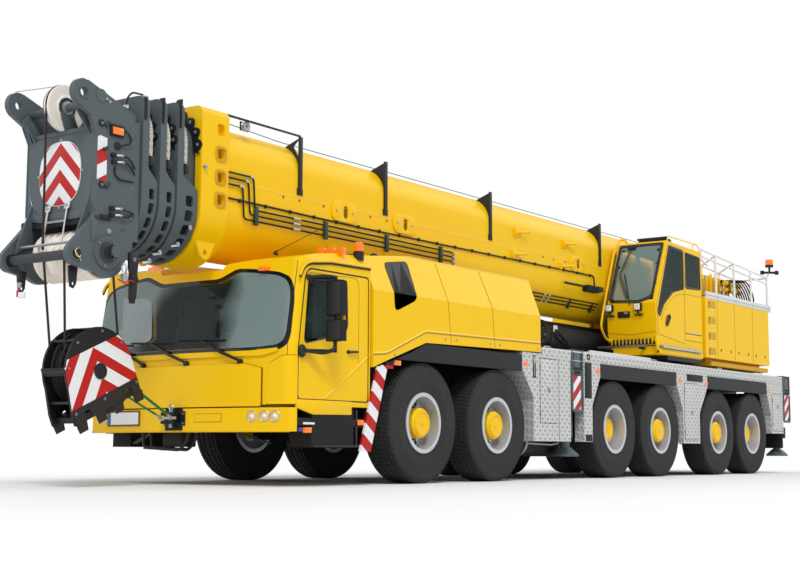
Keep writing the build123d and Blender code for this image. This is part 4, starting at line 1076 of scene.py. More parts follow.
class CRANE_OT_tyres(bpy.types.Operator):
    """Build the twelve tyres with their tread blocks"""

    bl_idname = "crane.tyres"
    bl_label = "Tyres"

    def execute(self, context):
        count, depth = sizes().tread_blocks, sizes().tread_depth
        floor = TYRE_RADIUS - 0.0006 - depth
        half = [*TYRE_FLANK, *((a, floor) for a in TREAD_EDGES)]
        pattern = bmesh.new()
        spun(pattern, mirrored(half), count, closed=True)
        bmesh.ops.recalc_face_normals(pattern, faces=pattern.faces)
        ribs, notches = [], []
        for face in pattern.faces:
            middle = face.calc_center_median()
            radius, across = hypot(middle.x, middle.y), abs(middle.z)
            if abs(radius - floor) < 0.004 and not 0.098 < across < 0.112 and not 0.034 < across < 0.048:
                ribs.append(face)
            elif 0.645 < radius < 0.660 and round(atan2(middle.y, middle.x) / (2 * pi) * count - 0.5) % 2:
                notches.append(face)
        bmesh.ops.inset_individual(pattern, faces=ribs, thickness=0.0045, depth=depth, use_even_offset=True)
        bmesh.ops.inset_individual(pattern, faces=notches, thickness=0.004, depth=0.006)
        for vert in pattern.verts:
            if hypot(vert.co.x, vert.co.y) > floor - 0.001:
                skew = Matrix.Rotation(abs(vert.co.z) * 0.26, 4, "Z")
                vert.co = skew @ vert.co
        for axle, station in enumerate(AXLES, 1):
            for name, sign in SIDES:
                place = Matrix.Translation((sign * WHEEL_ACROSS, at(station), TYRE_RADIUS))
                shape = Shape(place @ lies_along((sign, 0, 0)))
                shape.join(pattern.copy(), "rubber")
                made = shape.build(f'tyre_{axle}_{name}_tread', f'road_wheel_{axle}_{name}', "tyre",
                    smooth=26)
                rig.replaces(made, f"tyre_{axle}_{name}")
        pattern.free()
        return {"FINISHED"}


class CRANE_OT_wheel_trim(bpy.types.Operator):
    """Build the nuts, hub rings and hub bolts of the wheels"""

    bl_idname = "crane.wheel_trim"
    bl_label = "Wheel trim"

    def execute(self, context):
        for axle, station in enumerate(AXLES, 1):
            hub_face = 0.075 if axle in (3, 6) else 0.165
            for name, sign in SIDES:
                shape = Shape(Matrix.Translation((sign * WHEEL_ACROSS, at(station),
                    TYRE_RADIUS)) @ lies_along((sign, 0, 0)))
                for index in range(sizes().wheel_nuts):
                    turn = 2 * pi * index / sizes().wheel_nuts
                    spot = (0.222 * cos(turn), 0.222 * sin(turn), -0.057)
                    shape.rod("charcoal", spot, (spot[0], spot[1], -0.036), 0.024, sides=12)
                    shape.rod("chrome", spot, (spot[0], spot[1], -0.004), 0.0165, 0.012, sides=6)
                for index in range(10):
                    turn = 2 * pi * (index + 0.5) / 10
                    spot = (0.274 * cos(turn), 0.274 * sin(turn), -0.046)
                    shape.rod("soot", spot, (spot[0], spot[1], -0.038), 0.022, sides=12)
                face = hub_face + 0.0004
                shape.lathe("yellow", ((face - 0.012, 0.15), (face + 0.004, 0.15), (face + 0.006, 0.144),
                    (face + 0.006, 0.118), (face + 0.001, 0.112), (face - 0.012, 0.112)), (0, 0, 0),
                    (0, 0, 1), 40, closed=True)
                shape.lathe("yellow", ((face - 0.01, 0.0), (face + 0.008, 0.0), (face + 0.008, 0.03),
                    (face + 0.004, 0.036), (face - 0.01, 0.036)), (0, 0, 0), (0, 0, 1), 20)
                for index in range(12):
                    turn = 2 * pi * index / 12
                    spot = Vector((0.131 * cos(turn), 0.131 * sin(turn), face + 0.004))
                    shape.rod("yellow", spot, spot + Vector((0, 0, 0.008)), 0.008, sides=6)
                # rim's outer lip and valve
                shape.lathe("rim", ((0.15, 0.318), (0.1745, 0.3195), (0.184, 0.329), (0.189, 0.3405),
                    (0.1895, 0.3435), (0.186, 0.3435), (0.178, 0.33), (0.17, 0.3225), (0.15, 0.3215)),
                    (0, 0, 0), (0, 0, 1), 48, closed=True)
                shape.rod("zinc", (0.245, 0.0, -0.05), (0.272, 0.0, 0.02), 0.006, sides=8)
                shape.build(f"wheel_trim_{axle}_{name}", f"road_wheel_{axle}_{name}", "rim_grey")
        return {"FINISHED"}


# ------------------------------------------------------------------------------- carrier cab
CAB_NOSE = -2.43
CORNER_START = 1.33
CORNER_RADIUS = 0.1207


def cab_front(across, height, out=0.0):
    """Point ahead of the carrier cab's curved, leaning front, measured along its width."""
    sign = -1 if across < 0 else 1
    reach = abs(across)
    if reach <= CORNER_START:
        spot, normal = Vector((reach, 0.0509 * reach * reach)), Vector((0.1018 * reach, -1.0)).normalized()
    else:
        turn = radians(-94.6) + (reach - CORNER_START) / CORNER_RADIUS
        past = max(0.0, turn - radians(-5.0)) * CORNER_RADIUS
        turn = min(turn, radians(-5.0))
        normal = Vector((cos(turn), sin(turn)))
        spot = Vector((1.3397, 0.2104)) + normal * CORNER_RADIUS + Vector((0, past))
    spot += normal * out
    lean = max(0.0, height - 1.4) * 0.164
    return Vector((sign * spot.x, CAB_NOSE + spot.y + lean, height))


def front_bend(out):
    return lambda across, height: cab_front(across, height, out)


def bumper_front(out):
    """Points ahead of the bumper's curved face."""
    return lambda across, height: Vector((across, -2.5 + 0.083 * across * across - out, height))


FRONT_CUTS = [-1.5 + 0.03 * i for i in range(6)] + [-1.3 + 0.1 * i for i in range(27)] + [
    1.35 + 0.03 * i for i in range(6)]


WINDSCREEN = mirrored(((0.42, 2.17), (0.66, 2.27), (0.88, 2.25), (1.21, 2.2), (1.345, 2.14), (1.4, 2.04),
    (1.42, 1.9), (1.425, 1.52), (1.39, 1.42), (1.3, 1.385), (1.0, 1.372)))
WINDSCREEN_CLEAR = mirrored(((0.44, 2.13), (0.68, 2.225), (0.88, 2.21), (1.19, 2.165), (1.3, 2.115),
    (1.355, 2.03), (1.375, 1.9), (1.375, 1.55), (1.345, 1.47), (1.26, 1.435), (1.0, 1.42)))


class CRANE_OT_carrier_cab_glazing(bpy.types.Operator):
    """Build the carrier cab's windscreen, windows, wipers and seals"""

    bl_idname = "crane.carrier_cab_glazing"
    bl_label = "Carrier cab glazing"

    def execute(self, context):
        glass = Shape()
        glass.skin("windscreen", soften(WINDSCREEN_CLEAR, 0.05), FRONT_CUTS, front_bend(0.004), 0.004)
        glass.plate("windscreen", round_outline((0, 1.9), 1.46, 0.34, 0.03), "y", -1.035, -1.029)
        glass.build("windscreen", "carrier")

        surround = Shape()
        surround.skin("gloss", soften(WINDSCREEN, 0.06), FRONT_CUTS, front_bend(0.002), 0.007,
            hole=soften(WINDSCREEN_CLEAR, 0.05))
        # sun visors and steering wheel behind the glass
        surround.box("seat", (0.15, -2.16, 2.02), (0.95, -2.13, 2.17), 0.01)
        surround.lathe("soot",
            [(0.014 * sin(a), 0.225 + 0.014 * cos(a)) for a in (i * pi / 4 for i in range(8))],
            (0.85, -2.0, 1.36), (0, 0.75, 0.66), 32, closed=True)
        surround.rod("soot", (0.85, -2.02, 1.34), (0.85, -2.14, 1.12), 0.035)
        surround.bar("soot", (0.65, -2.0, 1.36), (1.05, -2.0, 1.36), 0.03, 0.02)
        surround.build("windscreen_surround", "carrier", "black_metal")

        wipers = Shape()
        # pivot across, blade's middle across, blade's half length
        for pivot, blade, half in ((-0.55, -0.97, 0.22), (0.11, -0.45, 0.32), (0.84, 0.30, 0.34)):
            start, end = cab_front(pivot, 1.285, 0.03), cab_front(blade, 1.515, 0.035)
            wipers.rod("black", cab_front(pivot, 1.275, -0.01), cab_front(pivot, 1.275, 0.045), 0.03, 0.022)
            elbow = cab_front(pivot + (blade - pivot) * 0.42, 1.385, 0.05)
            wipers.tube("black", (start, elbow, end), 0.013, 8, 0.05)
            wipers.tube("black",
                (cab_front(pivot - 0.03, 1.285, 0.02), cab_front(pivot - 0.03 + (blade - pivot) * 0.42, 1.375,
                0.04), end), 0.006, 6, 0.05)
            ends = [cab_front(blade + way * half, 1.515 - way * 0.012, 0.016) for way in (-1, 0, 1)]
            wipers.tube("black", ends, 0.009, 6)
            wipers.tube("black", [point + Vector((0, -0.014, 0.006)) for point in ends], 0.005, 6)
        wipers.build("wipers", "carrier", "black_metal")

        for name, sign in SIDES:
            door = Shape(vehicle(sign))
            window = ((-2.095, 1.49), (-2.04, 2.115), (-1.455, 2.145), (-1.435, 1.675), (-1.545, 1.615))
            outer = ((-2.135, 1.45), (-2.07, 2.15), (-1.42, 2.18), (-1.4, 1.645), (-1.53, 1.58))
            door.plate("cab_glass", soften(window, 0.06), "x", 1.428, 1.434)
            door.plate("gloss", soften(outer, 0.07), "x", 1.4585, 1.4635, 0.0015,
                holes=[soften(window, 0.06)])
            door.build(f"cab_window_{name}", f"cab_door_{name}")

            fittings = Shape(vehicle(sign))
            # handle on its recessed plate, lock, lower hinge boss
            fittings.plate("yellow", soften(((-1.42, 1.365), (-1.42, 1.455), (-1.22, 1.465), (-1.22, 1.375)),
                0.03), "x", 1.459, 1.4635, 0.001)
            fittings.tube("black", ((1.462, -1.4, 1.41), (1.49, -1.385, 1.41), (1.492, -1.26, 1.418),
                (1.466, -1.24, 1.42)), 0.0125, 8, 0.02)
            fittings.rod("black", (1.461, -1.4, 1.41), (1.474, -1.4, 1.41), 0.022)
            # pressed crease that climbs to the rear, drawn as a pale bar of painted highlight
            fittings.bar("pale_yellow", (1.4604, -1.8, 0.905), (1.4604, -1.062, 1.375), 0.024, 0.007)
            # pressed panel line, drawn as a darker line of painted shade
            fittings.tube("yellow_line", ((1.4603, -2.06, 2.195), (1.4603, -1.27, 2.215),
                (1.4603, -1.215, 2.15), (1.4603, -1.215, 1.3)), 0.0035, 6, 0.06)
            # mirror housings with their glass, over the arms
            for low, high in ((1.752, 2.112), (1.488, 1.705)):
                fittings.box("mirror_shell", (1.556, -1.915, low), (1.7595, -1.798, high), 0.032)
                fittings.box("mirror", (1.578, -1.804, low + 0.025), (1.741, -1.794, high - 0.025), 0.004)
            fittings.tube("black", ((1.47, -2.18, 1.385), (1.6, -1.98, 1.36), (1.65, -1.86, 1.4),
                (1.65, -1.855, 1.52)), 0.021, 10, 0.05)
            fittings.tube("black", ((1.47, -2.075, 2.145), (1.6, -1.95, 2.16), (1.65, -1.86, 2.15),
                (1.65, -1.855, 2.1)), 0.018, 10, 0.05)
            fittings.ball("black", (1.475, -2.175, 1.375), 0.052, 16, (0.7, 1.0, 1.3))
            fittings.ball("black", (1.475, -2.075, 2.14), 0.036, 16, (0.7, 1.0, 1.0))
            fittings.build(f"cab_door_fittings_{name}", f"cab_door_{name}", "black_metal")
        return {"FINISHED"}


class CRANE_OT_carrier_cab_fittings(bpy.types.Operator):
    """Build the cab's front flap, gutters, lamps, aerial and seals"""

    bl_idname = "crane.carrier_cab_fittings"
    bl_label = "Carrier cab fittings"

    def execute(self, context):
        front = Shape()
        flap = mirrored(((0.9, 1.252), (1.11, 1.205), (1.11, 0.815)))
        front.skin("groove", soften([(a * 1.006, b * 1.006 - 0.006) for a, b in flap], 0.02), FRONT_CUTS,
            front_bend(0.0015), 0.004)
        front.skin("yellow", soften([(a * 0.997, b) for a, b in flap], 0.02), FRONT_CUTS, front_bend(0.014),
            0.016)
        # corner covers beside the flap
        for sign in (1, -1):
            cover = [(sign * a, b) for a, b in ((1.165, 0.835), (1.505, 0.835), (1.505, 1.325), (1.36, 1.325),
                (1.2, 1.25))]
            gap = [(a + sign * (0.007 if abs(a) > 1.4 else -0.007), b + (0.007 if b > 1 else -0.007))
                   for a, b in cover]
            front.skin("groove", soften(gap, 0.03), FRONT_CUTS, front_bend(0.001), 0.003)
            front.skin("yellow", soften(cover, 0.03), FRONT_CUTS, front_bend(0.011), 0.013)
        # cowl below the windscreen with its grip, which sits in a darker recess of painted shade
        front.skin("yellow", soften(mirrored(((0.96, 1.385), (1.3, 1.405), (1.3, 1.372), (1.12, 1.33))),
            0.01), FRONT_CUTS, front_bend(0.009), 0.012)
        front.skin("groove", round_outline((-0.22, 1.222), 0.15, 0.034, 0.016), [-0.2], front_bend(0.0165),
            0.004)
        front.skin("yellow", round_outline((-0.22, 1.236), 0.1, 0.012, 0.005), [-0.2], front_bend(0.021),
            0.008)
        # bare panel in the flap and the notch below it
        front.skin("groove", round_outline((-0.21, 0.985), 0.7, 0.235, 0.05), FRONT_CUTS, front_bend(0.0148),
            0.004)
        front.skin("yellow", round_outline((-0.21, 0.983), 0.69, 0.222, 0.045), FRONT_CUTS,
            front_bend(0.0158), 0.006)
        front.skin("groove", [(-0.4, 0.817), (-0.02, 0.817), (-0.07, 0.864), (-0.35, 0.864)], FRONT_CUTS,
            front_bend(0.0156), 0.004)
        front.skin("yellow", [(-0.385, 0.818), (-0.035, 0.818), (-0.08, 0.855), (-0.34, 0.855)], FRONT_CUTS,
            front_bend(0.0195), 0.007)
        front.build("cab_front_panels", "carrier", "yellow_paint")

        shell = Shape()
        with shell.both_sides():
            # seal in the door gap and the gutter above it
            seam = ((-2.228, 0.88), (-2.228, 1.4), (-2.122, 2.168), (-2.058, 2.246), (-1.036, 2.246),
                (-1.036, 0.88))
            shell.plate("seal", soften(seam, 0.05), "x", 1.44, 1.4615, holes=[soften(((-2.213, 0.89),
                (-2.213, 1.4), (-2.108, 2.16), (-2.05, 2.23), (-1.051, 2.23), (-1.051, 0.89)), 0.045)])
            gutter = [(1.4655, s, z) for s, z in ((-2.21, 2.13), (-2.16, 2.225), (-2.06, 2.285),
                (-1.7, 2.325), (-1.02, 2.335))]
            shell.tube("seal", gutter, 0.0115, 8, 0.06)
            shell.tube("yellow", [(x + 0.004, y - 0.006, z + 0.022) for x, y, z in gutter], 0.014, 8, 0.06)
            # sill panel under the door
            shell.plate("yellow", soften(((-2.245, 0.884), (-1.34, 0.884), (-1.34, 0.745), (-1.98, 0.735),
                (-2.245, 0.8)), 0.01), "x", 1.446, 1.472, 0.004)
            # crease end, a pale bar of painted highlight, and the seam above the sill as a darker line of painted
            # shade
            shell.bar("pale_yellow", (1.4604, -1.046, 1.387), (1.4604, -1.012, 1.408), 0.022, 0.006)
            shell.tube("yellow_line", ((1.4603, -2.2, 0.893), (1.4603, -1.06, 0.893)), 0.003, 6)
            # lamps along the roof's edge, beacon and front marker
            for s, x, z in ((-1.56, 1.215, 2.515), (-1.53, 1.325, 2.51), (-1.49, 1.43, 2.505)):
                shell.box("amber", (x - 0.043, s - 0.03, z - 0.065), (x + 0.043, s + 0.03, z + 0.015), 0.008)
            shell.lathe("black", ((-0.09, 0.0), (-0.09, 0.058), (0.0, 0.062), (0.012, 0.05), (0.012, 0.0)),
                (1.405, -1.155, 2.515), (0, 0, 1), 20)
            shell.lathe("amber", ((0.0, 0.0), (0.0, 0.052), (0.05, 0.056), (0.085, 0.052), (0.1, 0.035),
                (0.105, 0.0)), (1.405, -1.155, 2.525), (0, 0, 1), 20)
            marker = cab_front(1.02, 2.232, 0.0)
            shell.box("amber", marker + Vector((-0.06, -0.055, -0.012)), marker + Vector((0.06, 0.02, 0.03)),
                0.01)
        shell.rod("black", (0.92, -1.97, 2.44), (0.92, -1.95, 2.475), 0.03, 0.012)
        shell.rod("black", (0.92, -1.95, 2.47), (1.42, -1.8, 2.7), 0.0045, 0.003, sides=6)
        shell.build("cab_roof_fittings", "carrier", "black_metal")
        return {"FINISHED"}


class CRANE_OT_bumper_fittings(bpy.types.Operator):
    """Build the bumper's lamps, blank plate, jaw recess and underrun frame"""

    bl_idname = "crane.bumper_fittings"
    bl_label = "Bumper fittings"

    def execute(self, context):
        shape = Shape()
        for x in (1.02, 1.165, 1.285, -1.14, -1.285):
            y = bumper_front(0.0)(x, 0)[1]
            slope = Vector((0.228 * x, -1, 0)).normalized()
            place = Matrix.Translation((x, at(y), 0.712))
            lamp = Shape(place @ lies_along(slope))
            lamp.lathe("zinc", ((-0.02, 0.06), (0.004, 0.06), (0.007, 0.055), (0.004, 0.05), (-0.012, 0.048),
                (-0.02, 0.048)), (0, 0, 0), (0, 0, 1), 24, closed=True)
            lamp.lathe("mirror", ((-0.012, 0.049), (-0.018, 0.03), (-0.022, 0.0)), (0, 0, 0), (0, 0, 1), 20)
            lamp.ball("clear", (0, 0, -0.006), 0.026, 14)
            lamp.lathe("lens", ((0.0, 0.0495), (0.005, 0.03), (0.007, 0.0)), (0, 0, 0), (0, 0, 1), 20)
            lamp.build(f"head_lamp_{'L' if x > 0 else 'R'}{round(abs(x) * 100)}", "carrier")
        cuts = [-1.4 + 0.1 * i for i in range(29)]
        shape.skin("groove", [(-1.125, 0.622), (-0.535, 0.622), (-0.535, 0.79), (-1.125, 0.79)], cuts,
            bumper_front(0.01), 0.012)
        shape.skin("white", round_outline((-0.825, 0.706), 0.55, 0.13, 0.012), cuts, bumper_front(0.014),
            0.006)
        shape.skin("blue", round_outline((-1.075, 0.706), 0.05, 0.13, 0.01), [-1.1], bumper_front(0.0155),
            0.007)
        shape.skin("black", [(-0.14, 0.622), (0.165, 0.622), (0.165, 0.775), (-0.14, 0.775)], cuts,
            bumper_front(0.006), 0.008)
        for z in (0.65, 0.745):
            for x in (0.125, 0.15):
                shape.bolt("zinc", bumper_front(0.006)(x, z), (0, -1, 0), 0.006, 0.005)
        shape.skin("yellow_line", round_outline((0.47, 0.7), 0.36, 0.092, 0.01), cuts, bumper_front(0.0015),
            0.003)
        shape.skin("yellow", round_outline((0.47, 0.7), 0.345, 0.078, 0.008), cuts, bumper_front(0.006),
            0.007)
        # towing jaw pin with its chain
        shape.rod("zinc", (0, -2.545, 0.6), (0, -2.545, 0.8), 0.02)
        shape.lathe("zinc", ((-0.008, 0.03), (0.0, 0.038), (0.008, 0.03), (0.0, 0.022)), (0, -2.545, 0.815),
            (0, 1, 0), 16, closed=True)
        # lower lip, step frame and winch eye below the bumper
        lip = [bumper_front(-0.012)(-1.46 + 0.1 * i, 0.566) for i in range(30)]
        shape.tube("yellow", lip, 0.014, 8)
        frame_line = ((-0.62, -2.34, 0.55), (-0.6, -2.34, 0.395), (-0.06, -2.34, 0.37), (0.04, -2.34, 0.46),
            (0.06, -2.34, 0.55))
        shape.tube("black", frame_line, 0.018, 8, 0.04)
        shape.tube("black", [Vector(p) + Vector((0, 0.12, 0)) for p in frame_line], 0.018, 8, 0.04)
        for x in (-0.60, -0.32, -0.08):
            shape.bar("black", (x, -2.34, 0.385), (x, -2.22, 0.385), 0.03, 0.015)
        shape.box("soot", (-0.34, -2.33, 0.4), (-0.05, -2.1, 0.56), 0.02)
        with shape.both_sides():
            shape.bar("black", (0.62, -2.2, 0.56), (1.0, -2.1, 0.44), 0.05, 0.012)
        shape.build("bumper_fittings", "carrier", "black_metal")

        steps = Shape()
        with steps.both_sides():
            # drop steps between the bumper and the mudguard
            for z, inset in ((0.415, 0.0), (0.66, 0.03)):
                steps.box("tread_plate", (1.2, -1.98, z - 0.012), (1.478 - inset, -1.22, z + 0.012), 0.006)
            for s in (-1.97, -1.24):
                steps.bar("black", (1.45, s, 0.41), (1.45, s, 0.8), 0.03, 0.02)
            steps.box("soot", (1.2, -2.215, 0.62), (1.46, -1.13, 0.7), 0.012)
            steps.box("white", (1.455, -2.13, 0.632), (1.468, -1.95, 0.655), 0.004)
            for s, z in ((-2.06, 0.575), (-1.175, 0.668)):
                steps.box("amber", (1.44, s - 0.055, z - 0.028), (1.476, s + 0.055, z + 0.028), 0.008)
            steps.box("blue", (1.45, -2.2, 0.56), (1.464, -2.145, 0.6), 0.004)
        steps.build("cab_steps", "carrier", "black_metal")
        return {"FINISHED"}


# ------------------------------------------------------------------------------- side bodywork
def cover_face(station, height, out=0.0):
    """Point ahead of the engine cover's left flank, which leans in above its crease."""
    lean = max(0.0, height - 2.12)
    return Vector((1.49 - lean * 0.375 + out, station, height + (out * 0.35 if lean else 0.0)))


class CRANE_OT_engine_cover_fittings(bpy.types.Operator):
    """Build the engine cover's louvre, seams, crease, bolts and markers"""

    bl_idname = "crane.engine_cover_fittings"
    bl_label = "Engine cover fittings"

    def execute(self, context):
        louvre = soften(((-0.636, 2.46), (-0.164, 2.527), (-0.175, 2.08), (-0.582, 1.92)), 0.07)
        for name, sign in SIDES:
            shape = Shape(vehicle(sign))
            for coat_name, grow, out, thick in (("groove", 1.03, 0.003, 0.002),
                                                ("grille", 1.0, 0.006, 0.004)):
                outline = scaled(louvre, (-0.39, 2.25), grow, grow)
                shape.skin(coat_name, outline, [-0.5, -0.3], lambda a, b, o=out: cover_face(a, b, o), thick,
                    levels=[2.12])
            for line in (((0.45, 2.578), (0.47, 2.12), (0.54, 1.63)),
                         ((1.41, 2.585), (1.46, 2.12), (1.51, 1.64))):
                shape.tube("yellow_line", [cover_face(s, z, 0.0005) for s, z in line], 0.0045, 6)
            # crease along the flank: a pale line of painted highlight above it, a darker line of painted shade below
            # it
            crease = [cover_face(s, z, 0.001) for s, z in ((-0.99, 1.425), (-0.74, 1.445), (0.01, 1.735),
                (2.635, 1.775))]
            shape.tube("pale_yellow", crease, 0.008, 6, 0.05)
            shape.tube("yellow_line", [p - Vector((0.001, 0, 0.018)) for p in crease], 0.006, 6, 0.05)
            for s, z in ((-0.59, 1.43), (0.42, 1.67), (0.65, 1.67), (1.41, 1.68), (1.63, 1.68), (2.56, 1.69)):
                shape.bolt("zinc", cover_face(s, z), (1, 0, 0), 0.012, 0.008)
            shape.box("amber", (1.472, -0.6, 1.312), (1.499, -0.48, 1.366), 0.008)
            # painted highlight: a pale strip along the roof's shoulder, and on as a panel line over the front corner
            shape.tube("pale_yellow", [Vector((1.312, s, z)) for s, z in ((-0.98, 2.502), (-0.07, 2.598),
                (2.63, 2.598))], 0.006, 6)
            # louvred panels and grab rails on the roof; the darker sheet under each panel's slats is painted shade
            for s in (0.45, 1.45, 2.2):
                shape.box("groove", (0.72, s - 0.22, 2.598), (1.22, s + 0.22, 2.603), 0.002)
                for index in range(7):
                    y = s - 0.18 + index * 0.06
                    shape.box("yellow", (0.76, y - 0.018, 2.6), (1.18, y + 0.018, 2.61), 0.004)
            shape.tube("black", ((0.8, -0.62, 2.53), (0.8, -0.62, 2.6), (0.8, -0.3, 2.63), (0.8, -0.3, 2.58)),
                0.012, 8, 0.03)
            shape.build(f"engine_cover_fittings_{name}", "carrier", "yellow_paint")
        return {"FINISHED"}


class CRANE_OT_locker_fittings(bpy.types.Operator):
    """Build the lockers' doors, handles, markers, edges and the deck's trim"""

    bl_idname = "crane.locker_fittings"
    bl_label = "Locker fittings"

    def execute(self, context):
        markers = ((2.245, 1.48), (4.215, 1.48), (6.93, 1.47), (7.935, 1.46), (10.66, 1.45))
        for name, sign in SIDES:
            shape = Shape(vehicle(sign))
            for s, z in markers:
                shape.box("amber", (1.485, s - 0.05, z - 0.028), (1.508, s + 0.05, z + 0.028), 0.008)
            # doors as raised plates in their gaps
            shift = 0.0 if sign > 0 else -0.36
            for start, end, low, high in ((2.6, 3.06 + shift * 0.4, 0.73, 1.575), (7.08, 7.62, 0.55, 1.44),
                    (10.82, 11.32 + shift, 0.74, 1.4)):
                if end - start < 0.15:
                    continue
                outline = soften(((start, low), (end, low), (end, high), (start, high)), 0.03)
                inner = soften(((start + 0.008, low + 0.008), (end - 0.008, low + 0.008),
                    (end - 0.008, high - 0.008), (start + 0.008, high - 0.008)), 0.026)
                shape.plate("soot", outline, "x", 1.495, 1.4985)
                shape.plate("chequer", inner, "x", 1.496, 1.503, 0.001)
                for z in (low + 0.12, high - 0.12):
                    shape.rod("steel", (1.503, start + 0.006, z - 0.04), (1.503, start + 0.006, z + 0.04),
                        0.006, sides=8)
                handle = (start + end) / 2
                shape.box("steel", (1.503, handle - 0.03, low + 0.4), (1.509, handle + 0.03, low + 0.46),
                    0.002)
            shape.box("soot", (1.495, 2.425, 1.31), (1.5, 2.5, 1.6), 0.002)
            shape.box("nylon_dark", (1.498, 2.435, 1.5), (1.507, 2.485, 1.585), 0.006)
            shape.rod("zinc", (1.503, 2.455, 1.33), (1.503, 2.455, 1.5), 0.007, sides=8)
            joint = 3.1 + shift * 0.4
            shape.box("soot", (1.496, joint - 0.003, 0.52), (1.4985, joint + 0.003, 1.6))
            # bright edge along the deck, dark recess as a box of painted shade, and towing eye
            shape.box("aluminium", (1.47, 2.67, 1.7), (1.5035, 11.34, 1.718), 0.003)
            shape.box("aluminium", (1.494, 2.67, 1.585), (1.5025, 11.34, 1.593), 0.002)
            shape.box("soot", (1.494, 7.19, 1.475), (1.4995, 7.79, 1.58), 0.01)
            shape.lathe("black", ((-0.012, 0.045), (0.012, 0.045), (0.012, 0.024), (-0.012, 0.024)),
                (1.495, 3.93, 1.66), (1, 0, 0), 16, closed=True)
            # painted shade: dark boxes in the opening in the locker behind the column
            if sign > 0:
                shape.box("soot", (1.49, 3.82, 1.09), (1.499, 4.025, 1.598), 0.004)
                shape.box("soot", (1.49, 3.835, 0.505), (1.499, 4.03, 0.6), 0.004)
            for station in [st for _, sg, st in OUTRIGGERS if sg == sign]:
                # column flanges, recess and slot as dark boxes of painted shade, board frame, jack foot lock
                y = station
                for edge in (-0.158, 0.128):
                    shape.box("slate", (1.49, y + edge, 1.41), (1.508, y + edge + 0.03, 1.742), 0.004)
                shape.box("soot", (1.49, y - 0.122, 1.46), (1.4965, y + 0.122, 1.725), 0.01)
                shape.box("slate", (1.49, y - 0.09, 1.5), (1.499, y + 0.09, 1.7), 0.008)
                shape.box("soot", (1.493, y - 0.075, 1.414), (1.4985, y + 0.075, 1.446), 0.014)
                for edge in (-0.16, 0.132):
                    shape.box("slate", (1.49, y + edge, 0.925), (1.509, y + edge + 0.028, 1.386), 0.004)
                shape.box("slate", (1.49, y - 0.135, 0.9), (1.512, y + 0.135, 0.934), 0.006)
                shape.box("red_lens", (1.49, y - 0.172, 1.1), (1.502, y - 0.158, 1.18), 0.003)
            shape.build(f"locker_fittings_{name}", "carrier", "aluminium_plate")

            # pipes, brackets and tanks below the lockers
            under = Shape(vehicle(sign))
            under.rod("soot", (0.95, 2.55, 0.5), (0.95, 4.1, 0.5), 0.2, sides=28)
            for s in (2.85, 3.75):
                under.lathe("zinc", ((-0.025, 0.203), (0.025, 0.203), (0.025, 0.199), (-0.025, 0.199)),
                    (0.95, s, 0.5), (0, 1, 0), 28, closed=True)
            under.rod("soot", (1.02, 6.98, 0.62), (1.02, 7.42, 0.62), 0.16, sides=24)
            under.tube("zinc", ((1.3, 2.6, 0.47), (1.32, 3.2, 0.455), (1.34, 3.35, 0.48)), 0.01, 6, 0.03)
            under.tube("black", ((1.1, 4.3, 0.95), (1.15, 5.2, 0.98), (1.1, 6.7, 0.95)), 0.022, 8, 0.1)
            for station in AXLES:
                # brake chamber by each wheel
                under.rod("soot", (0.6, station + 0.26, 0.8), (0.6, station + 0.46, 0.8), 0.085)
                under.rod("zinc", (0.6, station + 0.1, 0.8), (0.6, station + 0.26, 0.8), 0.014)
            under.build(f"underside_{name}", "carrier", "black_metal")
        return {"FINISHED"}


# ------------------------------------------------------------------------------- boom
def boom_side(height, out=0.0):
    """Distance from the middle to a boom tube's flank at a height."""
    if height > 3.495:
        return 0.13 + sqrt(max(0.0, (0.37 + out) ** 2 - (height - 3.495) ** 2))
    if height < 2.92:
        return sqrt(max(0.0, (0.5 + out) ** 2 - (2.92 - height) ** 2))
    return 0.5 + out


def boom_line(points, out):
    return [(boom_side(z, out), s, z) for s, z in points]


